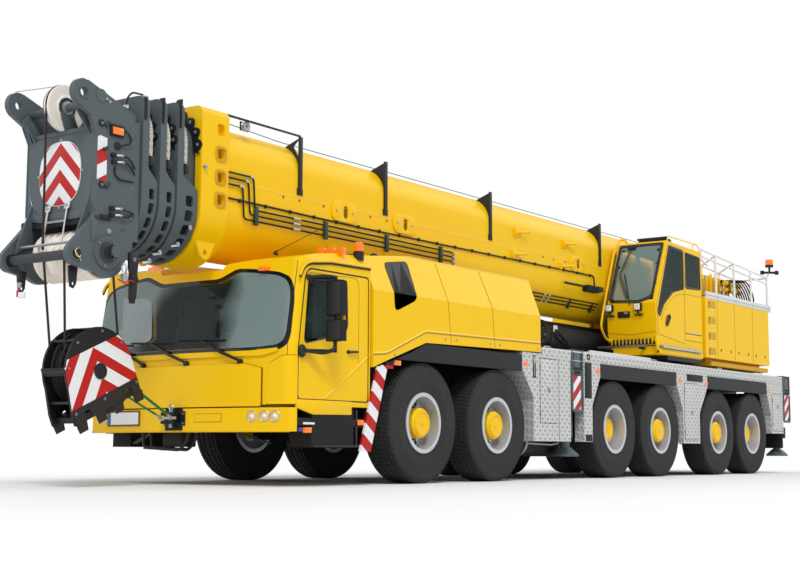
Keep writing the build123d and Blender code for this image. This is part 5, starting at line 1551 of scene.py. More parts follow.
class CRANE_OT_boom_side_fittings(bpy.types.Operator):
    """Build the pipes, cable, brackets, plates and posts on the boom base's flanks"""

    bl_idname = "crane.boom_side_fittings"
    bl_label = "Boom side fittings"

    def execute(self, context):
        for name, sign in SIDES:
            shape = Shape(vehicle(sign))
            for top, drop, low in ((3.32, -1.89, 2.965), (3.26, -1.97, 2.905), (3.19, -2.06, 2.845)):
                shape.tube("soot", boom_line(((-2.36, top), (drop, top), (drop + 0.03, low), (2.06, low)),
                    0.02), 0.0105, 8, 0.05)
                shape.tube("zinc", boom_line(((2.02, low), (2.07, low), (2.09, low - 0.16)), 0.02), 0.013, 8,
                    0.02)
                shape.rod("zinc", *boom_line(((-1.22, low), (-1.1, low)), 0.02), 0.018, sides=8)
                shape.rod("zinc", *boom_line(((drop - 0.06, top), (drop - 0.01, top)), 0.02), 0.017, sides=8)
            for s in (-1.84, -0.63, 0.57, 1.76):
                shape.box("olive", (boom_side(2.9), s - 0.028, 2.8), (boom_side(2.9) + 0.036, s + 0.028,
                    3.01), 0.006)
            for level in (2.655, 2.61, 2.565):
                shape.tube("soot", boom_line(((4.05, level), (6.25, level)), 0.02), 0.0105, 8)
                for s in (4.55, 4.68):
                    shape.rod("zinc", *boom_line(((s, level), (s + 0.06, level)), 0.021), 0.016, sides=8)
            for s in (4.28, 5.41, 6.12):
                x = boom_side(2.61)
                shape.bar("olive", (x - 0.03, s, 2.52), (x + 0.035, s, 2.7), 0.055, 0.03, 0.005)
            # cable with its clips
            cable = ((-2.3, 3.04), (0.0, 3.03), (3.0, 3.05), (6.0, 3.07), (6.03, 2.9))
            shape.tube("seal", boom_line(cable, 0.012), 0.011, 8, 0.05)
            for index in range(20):
                s = -2.1 + index * 0.42
                z = 3.035 + max(0.0, s) * 0.006
                shape.box("seal", (0.498, s - 0.014, z - 0.022), (0.528, s + 0.014, z + 0.018), 0.004)
            # valve by the cab with its long pin
            shape.box("soot", (0.49, 5.66, 2.8), (0.6, 6.02, 2.9), 0.012)
            shape.rod("black", (0.55, 5.02, 2.87), (0.55, 5.66, 2.87), 0.018)
            shape.box("olive", (0.49, 6.02, 2.83), (0.58, 6.2, 2.91), 0.01)
            # plates with slotted holes, with a darker plate of painted shade behind each hole
            for s, z, wide in ((-0.27, 3.17, 0.48), (0.95, 3.19, 0.46), (5.48, 3.20, 0.44)):
                plate = round_outline((s, z), wide, 0.24, 0.09)
                shape.plate("yellow", plate, "x", 0.5, 0.518, 0.003, holes=[round_outline((s + 0.02, z),
                    0.085, 0.15, 0.04)])
                shape.plate("groove", round_outline((s + 0.02, z), 0.088, 0.155, 0.041), "x", 0.5, 0.5035)
                for way in (-0.16, 0.15):
                    shape.bolt("zinc", (0.518, s + way, z), (1, 0, 0), 0.011, 0.008)
            for s in (-1.37, -1.09, -0.65, 0.25, 0.59, 4.45, 4.77, 5.11):
                shape.rod("groove", (0.4985, s, 3.19), (0.5025, s, 3.19), 0.016, sides=12)
            # storage pegs on their pads
            for s, z in ((3.70, 3.45), (5.09, 3.46), (3.62, 3.13), (5.00, 3.11)):
                shape.plate("yellow", soften(((s - 0.1, z - 0.075), (s + 0.12, z - 0.05),
                    (s + 0.12, z + 0.05), (s - 0.1, z + 0.075)), 0.03), "x", 0.499, 0.512, 0.003)
                shape.rod("yellow", (0.51, s - 0.06, z), (0.575, s + 0.24, z + 0.028), 0.021)
                shape.box("yellow", (0.505, s - 0.085, z - 0.05), (0.55, s - 0.05, z + 0.055), 0.005)
            # weld seam along the flank, drawn as a pale line of painted highlight
            shape.tube("pale_yellow", ((0.5, -2.34, 3.222), (0.5, 10.2, 3.222)), 0.0045, 6)
            # posts with webs over the shoulder
            arc = [(boom_side(3.495 + 0.37 * sin(t), 0.001),
                3.495 + 0.371 * sin(t)) for t in [radians(3 + 9 * i) for i in range(8)]]
            for s in (-1.09, 0.55, 2.99, 6.22):
                web = [(0.515, 3.92), (0.515, 3.4), *arc]
                hole = [(0.46, 3.885), (0.49, 3.885), (0.49, 3.7), (0.475, 3.7), (0.4, 3.83)]
                shape.plate("black", web, "y", s - 0.011, s + 0.011, holes=[hole] if s < 0 else [])
                shape.box("black", (0.5, s - 0.032, 3.29), (0.52, s + 0.032, 3.925), 0.004)
                shape.box("black", (0.5, s - 0.05, 3.25), (0.514, s + 0.05, 3.33), 0.006)
            # rail from the collar to the first post, guide pulley and light rope along the top
            shape.bar("black", (0.505, -2.32, 3.936), (0.505, -1.09, 3.934), 0.02, 0.022, 0.003)
            shape.lathe("zinc", ((-0.02, 0.055), (-0.006, 0.044), (0.006, 0.044), (0.02, 0.055),
                (0.02, 0.015), (-0.02, 0.015)), (0.47, -1.98, 3.88), (1, 0, 0), 20, closed=True)
            shape.box("black", (0.444, -2.05, 3.83), (0.452, -1.91, 3.93), 0.004)
            shape.tube("sling", ((0.3, -2.34, 3.93), (0.26, -1.2, 3.885), (0.25, 9.6, 3.885)), 0.005, 6)
            # painted shade: darker liners in the collar's pockets, and a darker ring round each that makes the pocket
            # look larger
            for z in (2.98, 3.22, 3.47, 3.73):
                x = boom_side(z, 0.0215)
                shape.plate("yellow_line", round_outline((-2.47, z), 0.11, 0.13, 0.03), "x", x - 0.001, x)
                ring = round_outline((-2.47, z), 0.165, 0.165, 0.045)
                edge = boom_side(z, 0.0865)
                shape.plate("deep_yellow", ring, "x", edge - 0.002, edge, holes=[round_outline((-2.47, z),
                    0.112, 0.114, 0.028)])
            shape.build(f"boom_side_fittings_{name}", "boom_base", "yellow_paint")
        return {"FINISHED"}


# body, station of the gap in front of its collar, how much smaller its tube is than the base
GAPS = (("boom_section_1", -2.99, 0.042), ("boom_section_2", -3.225, 0.084),
    ("boom_section_3", -3.455, 0.126))


class CRANE_OT_collar_fittings(bpy.types.Operator):
    """Build the braided ropes, guide pads, horns and couplings round the boom collars"""

    bl_idname = "crane.collar_fittings"
    bl_label = "Collar fittings"

    def execute(self, context):
        for index, (body, front, step) in enumerate(GAPS, 1):
            shape = Shape()
            radius = 0.398 - 0.012 * (index - 1)
            tube = 0.37 - step
            with shape.both_sides():
                # rope of three strands laid over the shoulder
                for strand in range(3):
                    line = []
                    for step_count in range(44):
                        turn = radians(70 - 2 * min(step_count, 35))
                        drop = 0.026 * max(0, step_count - 35)
                        lay = 2 * pi * (step_count * 0.0135 / 0.115 + strand / 3)
                        reach = radius + 0.0125 * cos(lay)
                        line.append((0.13 + reach * cos(turn), front + 0.034 + 0.0125 * sin(lay),
                            3.495 + reach * sin(turn) - drop))
                    shape.tube("braid", line, 0.015, 7)
                # shaded saddle the ropes lie on, and their anchor
                inner = [(tube + 0.001, t) for t in range(72, -4, -6)]
                outer = [(radius - 0.014, t) for t in range(0, 78, 6)]
                saddle = [(0.13 + r * cos(radians(t)), 3.495 + r * sin(radians(t))) for r, t in inner + outer]
                shape.plate("soot", saddle, "y", front + 0.002, front + 0.07)
                shape.box("black", (0.08 + radius, front + 0.004, 3.19), (0.165 + radius, front + 0.07,
                    3.285), 0.008)
            shape.build(f"collar_ropes_{index}", body, "grey_paint")

        # body whose front face carries the pads, station of that face, radius of the tube inside
        faces = (("boom_base", -2.76, 0.328, 0.585), ("boom_section_1", -3.075, 0.286, 0.56),
            ("boom_section_2", -3.31, 0.244, 0.548), ("boom_section_3", -3.54, 0.202, 0.536))
        for index, (body, face, tube, half) in enumerate(faces):
            shape = Shape()
            thick = 0.02 if index == 0 else 0.016
            inner = tube + 0.006
            with shape.both_sides():
                # scalloped pad over the shoulder
                lobes = [(inner + 0.064 + 0.058 * abs(cos(radians(9 * (t - 4)))), t) for t in range(-10, 97,
                    2)]
                pad = [(0.13 + r * cos(radians(t)), 3.495 + r * sin(radians(t))) for r,
                    t in [(inner, t) for t in range(96, -11, -6)] + lobes]
                shape.plate("black", pad, "y", face - thick, face + 0.002, 0.002)
                for turn in (4, 24, 44, 64, 84):
                    a = radians(turn)
                    spot = Vector((0.13 + (inner + 0.07) * cos(a), face - thick,
                        3.495 + (inner + 0.07) * sin(a)))
                    shape.rod("soot", spot, spot - Vector((0, 0.005, 0)), 0.034, sides=20)
                    shape.bolt("zinc", spot - Vector((0, 0.004, 0)), (0, -1, 0), 0.014, 0.008)
                # low guide pads and their adjusting screws
                flank = tube + 0.13
                low = [(flank + 0.004 + 0.045, t) for t in range(-80, -22, 6)]
                low += [(flank + 0.004, t) for t in range(-26, -84, -6)]
                shape.plate("black", [(r * cos(radians(t)), 2.92 + r * sin(radians(t))) for r, t in low], "y",
                    face - 0.012, face + 0.002, 0.002)
                for turn in (-32, -50, -68):
                    a = radians(turn)
                    spot = Vector(((flank + 0.026) * cos(a), face - 0.012, 2.92 + (flank + 0.026) * sin(a)))
                    shape.bolt("zinc", spot, (0, -1, 0), 0.013, 0.007)
                # horn at the collar's top corner
                if index:
                    top = (3.943, 3.91, 3.87)[index - 1]
                    shape.plate("black", [(half - 0.03, 3.62), (half + 0.005, 3.66), (half + 0.005, top),
                        (half - 0.055, top), (half - 0.175, 3.8)], "y", face + 0.012, face + 0.04, 0.004)
            if index == 0:
                with shape.both_sides():
                    shape.tube("black", ((0.4, -2.71, 3.9), (0.42, -2.71, 3.943), (0.5, -2.71, 3.93),
                        (0.535, -2.71, 3.8)), 0.005, 6)
            shape.build(f"collar_pads_{index}", body, "black_metal")

        for index, spots in enumerate((((-2.72, 3.29),), ((-2.86, 2.64), (-2.95, 2.46)),
                                       ((-3.13, 2.36), (-3.21, 2.27)))):
            shape = Shape()
            for s, z in spots:
                x = (0.585, 0.558, 0.546)[index] - (0.0 if z > 2.92 else 0.6 * (2.92 - z) ** 2)
                with shape.both_sides():
                    shape.rod("chrome", (x - 0.06, s, z), (x + 0.022, s, z), 0.026)
                    shape.rod("zinc", (x + 0.022, s, z), (x + 0.032, s, z), 0.017, sides=6)
            shape.build(f"collar_couplings_{index}", faces[index][0], "chrome_rod")
        return {"FINISHED"}


# ------------------------------------------------------------------------------- boom head
SHEAVE_AXLE = (-3.96, 2.25)


def sheave_profile(radius, width, groove, hub):
    """Closed section of a rope sheave: (along, radius) pairs from rim to hub and back."""
    half = width / 2
    rim = [(half, radius), (half * 0.86, radius)]
    rim += [(groove * cos(t),
        radius - 0.004 - groove * 1.15 * sin(t)) for t in [radians(12 + 26 * i) for i in range(7)]]
    rim += [(-half * 0.86, radius), (-half, radius)]
    web = radius - groove * 2.3
    rim += [(-half, web), (-half * 0.45, web - 0.01), (-half * 0.45, hub * 1.45), (-half, hub * 1.35),
        (-half, hub)]
    return rim + [(-a, r) for a, r in reversed(rim[-5:])]


class CRANE_OT_head_sheave_set(bpy.types.Operator):
    """Build the grooved sheaves of the boom head"""

    bl_idname = "crane.head_sheave_set"
    bl_label = "Head sheave set"

    def execute(self, context):
        pack = Shape()
        for index in range(7):
            across = -0.225 + index * 0.1
            pack.lathe("nylon", sheave_profile(0.2495, 0.098, 0.034, 0.112), (across, *SHEAVE_AXLE),
                (1, 0, 0), 64, closed=True)
        for across in (-0.42, 0.425):
            way = -1 if across < 0 else 1
            pack.rod("zinc", (across - way * 0.13, *SHEAVE_AXLE), (across, *SHEAVE_AXLE), 0.1, sides=32)
        pack.rod("soot", (-0.3, *SHEAVE_AXLE), (0.4, *SHEAVE_AXLE), 0.112, sides=32)
        made = pack.build("head_sheave_pack", "head_sheaves", "sheave_plastic", smooth=40)
        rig.replaces(made, "head_sheaves")

        top = Shape()
        for across, station, radius in ((0.02, -4.12, 0.228), (0.0, -3.76, 0.135)):
            place = (across, station, 3.7)
            top.lathe("nylon", ((0.034, radius), (0.026, radius + 0.004), (0.012, radius - 0.014),
                (-0.012, radius - 0.014), (-0.026, radius + 0.004), (-0.034, radius)), place, (1, 0, 0), 64,
                closed=True)
            for way in (1, -1):
                top.lathe("nylon", ((way * 0.02, radius + 0.002), (way * 0.034, radius),
                    (way * 0.034, radius * 0.84), (way * 0.032, radius * 0.8), (way * 0.032, radius * 0.55),
                    (way * 0.04, radius * 0.52), (way * 0.04, radius * 0.3)), place, (1, 0, 0), 64)
                face = Vector(place) + Vector((way * 0.036, 0, 0))
                top.lathe("soot", ((0.0, radius * 0.45), (way * 0.012, radius * 0.44),
                    (way * 0.014, radius * 0.33), (way * 0.004, radius * 0.3)), face, (1, 0, 0), 40)
                top.rod("zinc", face, face + Vector((way * 0.02, 0, 0)), radius * 0.3, sides=32)
                top.rod("steel", face + Vector((way * 0.02, 0, 0)), face + Vector((way * 0.034, 0, 0)),
                    radius * 0.19, sides=28)
                for index in range(3):
                    turn = radians(30 + 120 * index)
                    spot = face + Vector((way * 0.033, 0.024 * cos(turn), 0.024 * sin(turn)))
                    top.bolt("zinc", spot, (way, 0, 0), 0.009, 0.01)
        top.build("top_sheaves", "boom_head", "sheave_plastic", smooth=40)
        return {"FINISHED"}


class CRANE_OT_head_front_fittings(bpy.types.Operator):
    """Build the head's chevron shield, rope keepers, cross bars and ribs"""

    bl_idname = "crane.head_front_fittings"
    bl_label = "Head front fittings"

    def execute(self, context):
        face = -4.12
        shape = Shape()
        rim = []
        for index in range(48):
            a = 2 * pi * index / 48
            rim.append((-0.005 + 0.295 * abs(cos(a)) ** 0.8 * (1 if cos(a) >= 0 else -1),
                3.05 + 0.315 * abs(sin(a)) ** 0.8 * (1 if sin(a) >= 0 else -1)))
        shape.plate("white", scaled(rim, (-0.005, 3.05), 1.02, 1.02), "y", face - 0.01, face - 0.002)
        shape.plate("shield_stripes", rim, "y", face - 0.014, face - 0.003, 0.001)
        for x, z in ((-0.005, 3.385), (-0.005, 2.715), (-0.32, 3.05), (0.31, 3.05)):
            shape.bolt("zinc", (x, face, z), (0, -1, 0), 0.012, 0.016)
        # rope keeper arms, their link and the thin bar
        for high, low in (((-0.15, 2.71), (-0.17, 2.40)), ((0.13, 2.72), (0.10, 2.32))):
            shape.bar("aluminium", (high[0], face - 0.02, high[1]), (low[0], face - 0.055, low[1]), 0.045,
                0.014, 0.004)
            shape.bar("aluminium", (high[0], face - 0.012, high[1] + 0.03),
                (high[0], face - 0.03, high[1] - 0.03), 0.07, 0.014, 0.004)
            shape.rod("zinc", (high[0], face, high[1]), (high[0], face - 0.045, high[1]), 0.02)
            shape.tube("aluminium", ((low[0], face - 0.055, low[1]), (low[0], face - 0.1, low[1] - 0.08),
                (low[0], face - 0.11, low[1] - 0.16)), 0.011, 8)
        shape.rod("zinc", (-0.18, face - 0.04, 2.57), (0.135, face - 0.04, 2.57), 0.011, sides=10)
        shape.rod("zinc", (-0.5, -4.25, 2.335), (0.4, -4.25, 2.335), 0.014, sides=10)
        # dark cross bar with collars by the ears
        shape.rod("charcoal", (-0.446, -4.33, 2.2), (0.446, -4.33, 2.2), 0.047, sides=28)
        with shape.both_sides():
            shape.rod("black", (0.41, -4.33, 2.2), (0.446, -4.33, 2.2), 0.062, sides=28)
        # shaded opening above the sheaves, its lip and stiffeners
        shape.box("soot", (-0.43, face - 0.001, 2.53), (0.43, face + 0.02, 2.6), 0.004)
        shape.plate("slate", [(-0.44, 2.72), (-0.3, 2.66), (0.3, 2.66), (0.44, 2.72), (0.44, 2.62),
            (0.28, 2.585), (-0.28, 2.585), (-0.44, 2.62)], "y", face - 0.012, face + 0.001, 0.003)
        with shape.both_sides():
            # ribs that run from the front plate down to the lower ears and up to the upper ears
            shape.plate("slate", [(-4.12, 2.8), (-4.3, 2.33), (-4.3, 2.27), (-4.1, 2.4)], "x", 0.405, 0.425,
                0.003)
            shape.plate("slate", [(-4.12, 3.4), (-4.29, 3.6), (-4.24, 3.66), (-4.08, 3.52)], "x", 0.385,
                0.405, 0.003)
            shape.bar("slate", (0.42, face, 3.455), (0.42, -3.7, 3.6), 0.12, 0.02, 0.004)
            # rounded liner about each bore
            for station, height, radius in ((-4.30, 3.76, 0.062), (-4.33, 2.20, 0.070)):
                shape.lathe("slate", ((0.0, radius), (0.006, radius), (0.009, radius * 0.93),
                    (0.009, radius * 0.78), (0.0, radius * 0.74)), (0.505, station, height), (1, 0, 0), 32,
                    closed=True)
        # top cross member and its dark back, floor under the upper sheaves
        shape.box("slate", (-0.44, -4.09, 3.43), (0.44, -3.66, 3.462), 0.004)
        shape.box("slate", (-0.44, face - 0.012, 3.435), (0.44, face + 0.03, 3.48), 0.008)
        for x in (-0.05, 0.065):
            shape.plate("slate", [(-4.2, 3.62), (-4.2, 3.74), (-4.1, 3.76), (-3.95, 3.46), (-4.14, 3.46)],
                "x", x - 0.006, x + 0.006, 0.002)
        # low swivel and lug between the sheaves
        shape.rod("black", (-0.34, -4.3, 2.1), (-0.34, -4.3, 1.98), 0.022, sides=12)
        shape.rod("zinc", (-0.34, -4.3, 1.98), (-0.34, -4.3, 1.93), 0.028, 0.014, sides=14)
        shape.box("red_lens", (-0.375, -4.31, 1.84), (-0.345, -4.29, 1.91), 0.006)
        shape.box("white", (-0.34, -4.315, 1.825), (-0.25, -4.295, 1.885), 0.004)
        shape.tube("zinc", ((-0.34, -4.3, 1.93), (-0.36, -4.3, 1.86), (-0.31, -4.3, 1.86)), 0.004, 6)
        shape.build("head_front_fittings", "boom_head", "grey_paint")

        # thin ground wires on the front plate
        wire = Shape()
        with wire.both_sides():
            wire.tube("steel", curve_line([(0.46, face - 0.004, 2.98), (0.42, face - 0.006, 2.8),
                (0.3, face - 0.006, 2.66), (0.22, face - 0.006, 2.64)]), 0.0025, 6)
        wire.build("head_wires", "boom_head")
        return {"FINISHED"}


class CRANE_OT_head_side_fittings(bpy.types.Operator):
    """Build the lamps, stripes, couplings, hoses and pins on the head's flanks"""

    bl_idname = "crane.head_side_fittings"
    bl_label = "Head side fittings"

    def execute(self, context):
        for name, sign in SIDES:
            shape = Shape(vehicle(sign))
            flank = 0.505
            shape.plate("head_stripes", ((-4.118, 2.945), (-4.118, 3.385), (-3.99, 3.365), (-3.99, 2.935)),
                "x", flank - 0.001, flank + 0.003)
            # amber lamp in its bracket with cable
            shape.box("soot", (flank - 0.002, -3.965, 3.4), (flank + 0.028, -3.79, 3.515), 0.012)
            shape.box("amber", (flank + 0.022, -3.945, 3.418), (flank + 0.036, -3.81, 3.487), 0.005)
            shape.tube("seal", curve_line([(flank + 0.02, -3.8, 3.49), (flank + 0.02, -3.72, 3.44),
                (flank + 0.02, -3.7, 3.37), (flank + 0.02, -3.78, 3.33), (flank, -3.86, 3.3)]), 0.0085,
                8)
            shape.lathe("soot", ((0.0, 0.042), (0.008, 0.042), (0.008, 0.0)), (flank, -3.86, 3.31), (1, 0, 0),
                20)
            # cover disc, small bosses and lugs
            shape.lathe("slate", ((0.0, 0.066), (0.006, 0.064), (0.006, 0.0)), (flank, -4.08, 3.77),
                (1, 0, 0), 28)
            for s, z in ((-4.01, 3.75), (-3.97, 3.73)):
                shape.rod("zinc", (flank, s, z), (flank + 0.007, s, z), 0.015, sides=16)
            for s, z in ((-4.07, 3.50), (-4.05, 2.90)):
                shape.lathe("soot", ((0.0, 0.036), (0.008, 0.035), (0.01, 0.022), (0.004, 0.02)),
                    (flank, s, z), (1, 0, 0), 20)
                shape.bolt("steel", (flank, s, z), (1, 0, 0), 0.014, 0.018)
                shape.rod("charcoal", (flank + 0.004, s + 0.05, z - 0.02), (flank + 0.004, s + 0.1, z + 0.03),
                    0.018, sides=12)
            shape.rod("charcoal", (flank - 0.01, -4.03, 3.25), (flank + 0.055, -4.03, 3.25), 0.018, sides=16)
            # couplings with hoses
            for s, z in ((-3.91, 3.21), (-3.90, 3.145), (-3.91, 2.685), (-3.91, 2.62)):
                shape.box("soot", (flank - 0.002, s - 0.035, z - 0.022), (flank + 0.034, s + 0.02, z + 0.022),
                    0.006)
                shape.rod("chrome", (flank + 0.022, s + 0.02, z), (flank + 0.022, s + 0.085, z + 0.008),
                    0.013, sides=12)
                shape.rod("zinc", (flank + 0.022, s + 0.085, z + 0.008), (flank + 0.022, s + 0.11, z + 0.009),
                    0.017, sides=6)
            for z, drop in ((3.218, 0.10), (3.152, 0.09), (2.693, 0.03), (2.628, -0.03)):
                shape.tube("seal", curve_line([(flank + 0.022, -3.8, z), (flank + 0.024, -3.73, z - 0.01),
                    (flank + 0.02, -3.66, z - drop * 0.7), (flank - 0.01, -3.615, z - drop)]), 0.0085, 8)
            shape.tube("seal", curve_line([(flank + 0.008, -3.885, 3.1), (flank + 0.014, -3.89, 3.03),
                (flank + 0.012, -3.82, 2.985), (flank + 0.008, -3.7, 2.985), (flank - 0.005, -3.63, 2.99)]),
                0.0085, 8)
            # key slots as darker bars of painted shade, bolt and gusset on the lower plate
            for s, z in ((-3.75, 2.57), (-3.75, 2.50)):
                shape.bar("groove", (flank + 0.0015, s - 0.04, z - 0.012), (flank + 0.0015, s + 0.03,
                    z + 0.012), 0.016, 0.004)
            shape.bolt("zinc", (flank, -3.94, 2.46), (1, 0, 0), 0.02, 0.018)
            shape.box("soot", (flank - 0.001, -4.06, 2.56), (flank + 0.02, -3.93, 2.61), 0.006)
            shape.box("charcoal", (flank - 0.001, -4.13, 2.565), (flank + 0.016, -4.06, 2.6), 0.005)
            shape.plate("slate", soften(((-4.17, 2.6), (-4.1, 2.62), (-4.1, 2.38), (-4.16, 2.33)), 0.02), "x",
                flank - 0.001, flank + 0.01, 0.003)
            # sheave axle: boss ring, keeper and pin end
            centre = (flank, *SHEAVE_AXLE)
            shape.lathe("slate", ((0.0, 0.165), (0.02, 0.16), (0.022, 0.12), (0.0, 0.112)), centre, (1, 0, 0),
                40)
            shape.lathe("charcoal", ((0.0, 0.108), (0.034, 0.104), (0.04, 0.092), (0.04, 0.0)), centre,
                (1, 0, 0), 36)
            shape.rod("charcoal", (flank + 0.03, *SHEAVE_AXLE), (0.648, *SHEAVE_AXLE), 0.064, sides=32)
            shape.rod("black", (flank + 0.1, *SHEAVE_AXLE), (flank + 0.115, *SHEAVE_AXLE), 0.072, sides=32)
            shape.rod("steel", (0.615, SHEAVE_AXLE[0], 2.17), (0.615, SHEAVE_AXLE[0], 2.33), 0.008, sides=8)
            for turn in (35, 145, 255):
                a = radians(turn)
                spot = (flank + 0.006, SHEAVE_AXLE[0] + 0.138 * cos(a), SHEAVE_AXLE[1] + 0.138 * sin(a))
                shape.bolt("steel", spot, (1, 0, 0), 0.013, 0.024)
            # spring clips in the lower ear
            shape.rod("black", (flank - 0.01, -4.33, 2.2), (flank + 0.012, -4.33, 2.2), 0.048, sides=24)
            shape.lathe("pale_yellow", ((-0.003, 0.046), (0.003, 0.046), (0.003, 0.04), (-0.003, 0.04)),
                (flank + 0.018, -4.325, 2.205), (1, 0.3, 0.2), 24, closed=True)
            shape.tube("zinc", ((flank + 0.014, -4.37, 2.23), (flank + 0.018, -4.3, 2.16),
                (flank + 0.014, -4.285, 2.13)), 0.005, 6)
            # edge strips along the plate's rims
            shape.tube("slate", [(0.502, s, z) for s, z in ((-4.12, 2.66), (-4.12, 3.4), (-4.2, 3.56))], 0.01,
                8)
            shape.tube("slate", [(0.5, s, z) for s, z in ((-4.25, 3.882), (-3.64, 3.66), (-3.635, 2.33))],
                0.009, 8)
            for index in range(7):
                shape.bolt("steel", (0.502, -3.665, 2.62 + 0.15 * index), (1, 0, 0), 0.01, 0.008)
            # lugs hanging from the lower edge
            shape.plate("black", [(-4.31, 2.1), (-4.2, 2.1), (-4.215, 1.93), (-4.245, 1.885), (-4.285, 1.9),
                (-4.3, 1.98)], "x", 0.36, 0.385, 0.003, holes=[circle_outline((-4.25, 1.93), 0.018)])
            shape.plate("black", soften([(-3.68, 2.29), (-3.6, 2.3), (-3.555, 2.24), (-3.57, 2.08),
                (-3.65, 2.06), (-3.68, 2.12)], 0.025), "x", 0.5, 0.53, 0.004)
            if sign > 0:
                shape.bolt("steel", (0.53, -3.62, 2.22), (1, 0, 0), 0.018, 0.012)
                shape.rod("black", (0.52, -3.62, 2.08), (0.52, -3.625, 1.83), 0.045, 0.04, sides=20)
                shape.rod("soot", (0.52, -3.62, 2.0), (0.52, -3.62, 2.04), 0.052, sides=20)
                shape.rod("seal", (0.52, -3.625, 1.84), (0.52, -3.63, 1.79), 0.03, sides=16)
                # shackle, spring clip and its red lanyard
                shape.tube("chrome", ((0.55, -3.78, 2.05), (0.55, -3.8, 2.15), (0.55, -3.76, 2.17),
                    (0.55, -3.735, 2.12), (0.55, -3.75, 2.05), (0.55, -3.78, 2.05)), 0.009, 8, 0.03)
                shape.box("zinc", (0.53, -3.8, 1.98), (0.575, -3.73, 2.06), 0.01)
                shape.tube("red", curve_line([(0.56, -3.85, 2.0), (0.57, -3.78, 1.975), (0.57, -3.7, 2.0),
                    (0.55, -3.6, 1.99)]), 0.007, 6)
            shape.build(f"head_side_fittings_{name}", "boom_head", "grey_paint")

        # aerial, camera and wind gauge at the top rear
        top = Shape()
        top.box("soot", (0.36, -3.74, 3.66), (0.44, -3.66, 3.72), 0.01)
        top.ball("chrome", (0.4, -3.66, 3.755), 0.034, 14, (1, 1.3, 0.8))
        top.rod("zinc", (0.4, -3.7, 3.7), (0.4, -3.64, 3.78), 0.014)
        top.tube("black", ((0.4, -3.66, 3.78), (0.4, -3.64, 3.87), (0.4, -3.58, 3.925), (0.4, -3.44, 3.93)),
            0.01, 8, 0.03)
        top.box("white", (0.38, -3.45, 3.915), (0.42, -3.37, 3.93), 0.004)
        top.tube("steel", ((-0.44, -4.36, 3.885), (-0.1, -4.16, 3.93)), 0.004, 6)
        with top.both_sides():
            for s in (-4.30, -4.18):
                top.bolt("zinc", (0.475, s, 3.885 if s < -4.2 else 3.86), (0, 0, 1), 0.012, 0.012)
        top.build("head_top_fittings", "boom_head", "black_metal")
        return {"FINISHED"}


def block_point(x, along, up):
    """Point in the hook block's tilted axes."""
    return Vector((x, BLOCK_STATION + along * cos(BLOCK_TILT) - up * sin(BLOCK_TILT),
        BLOCK_CENTRE[2] + along * sin(BLOCK_TILT) + up * cos(BLOCK_TILT)))


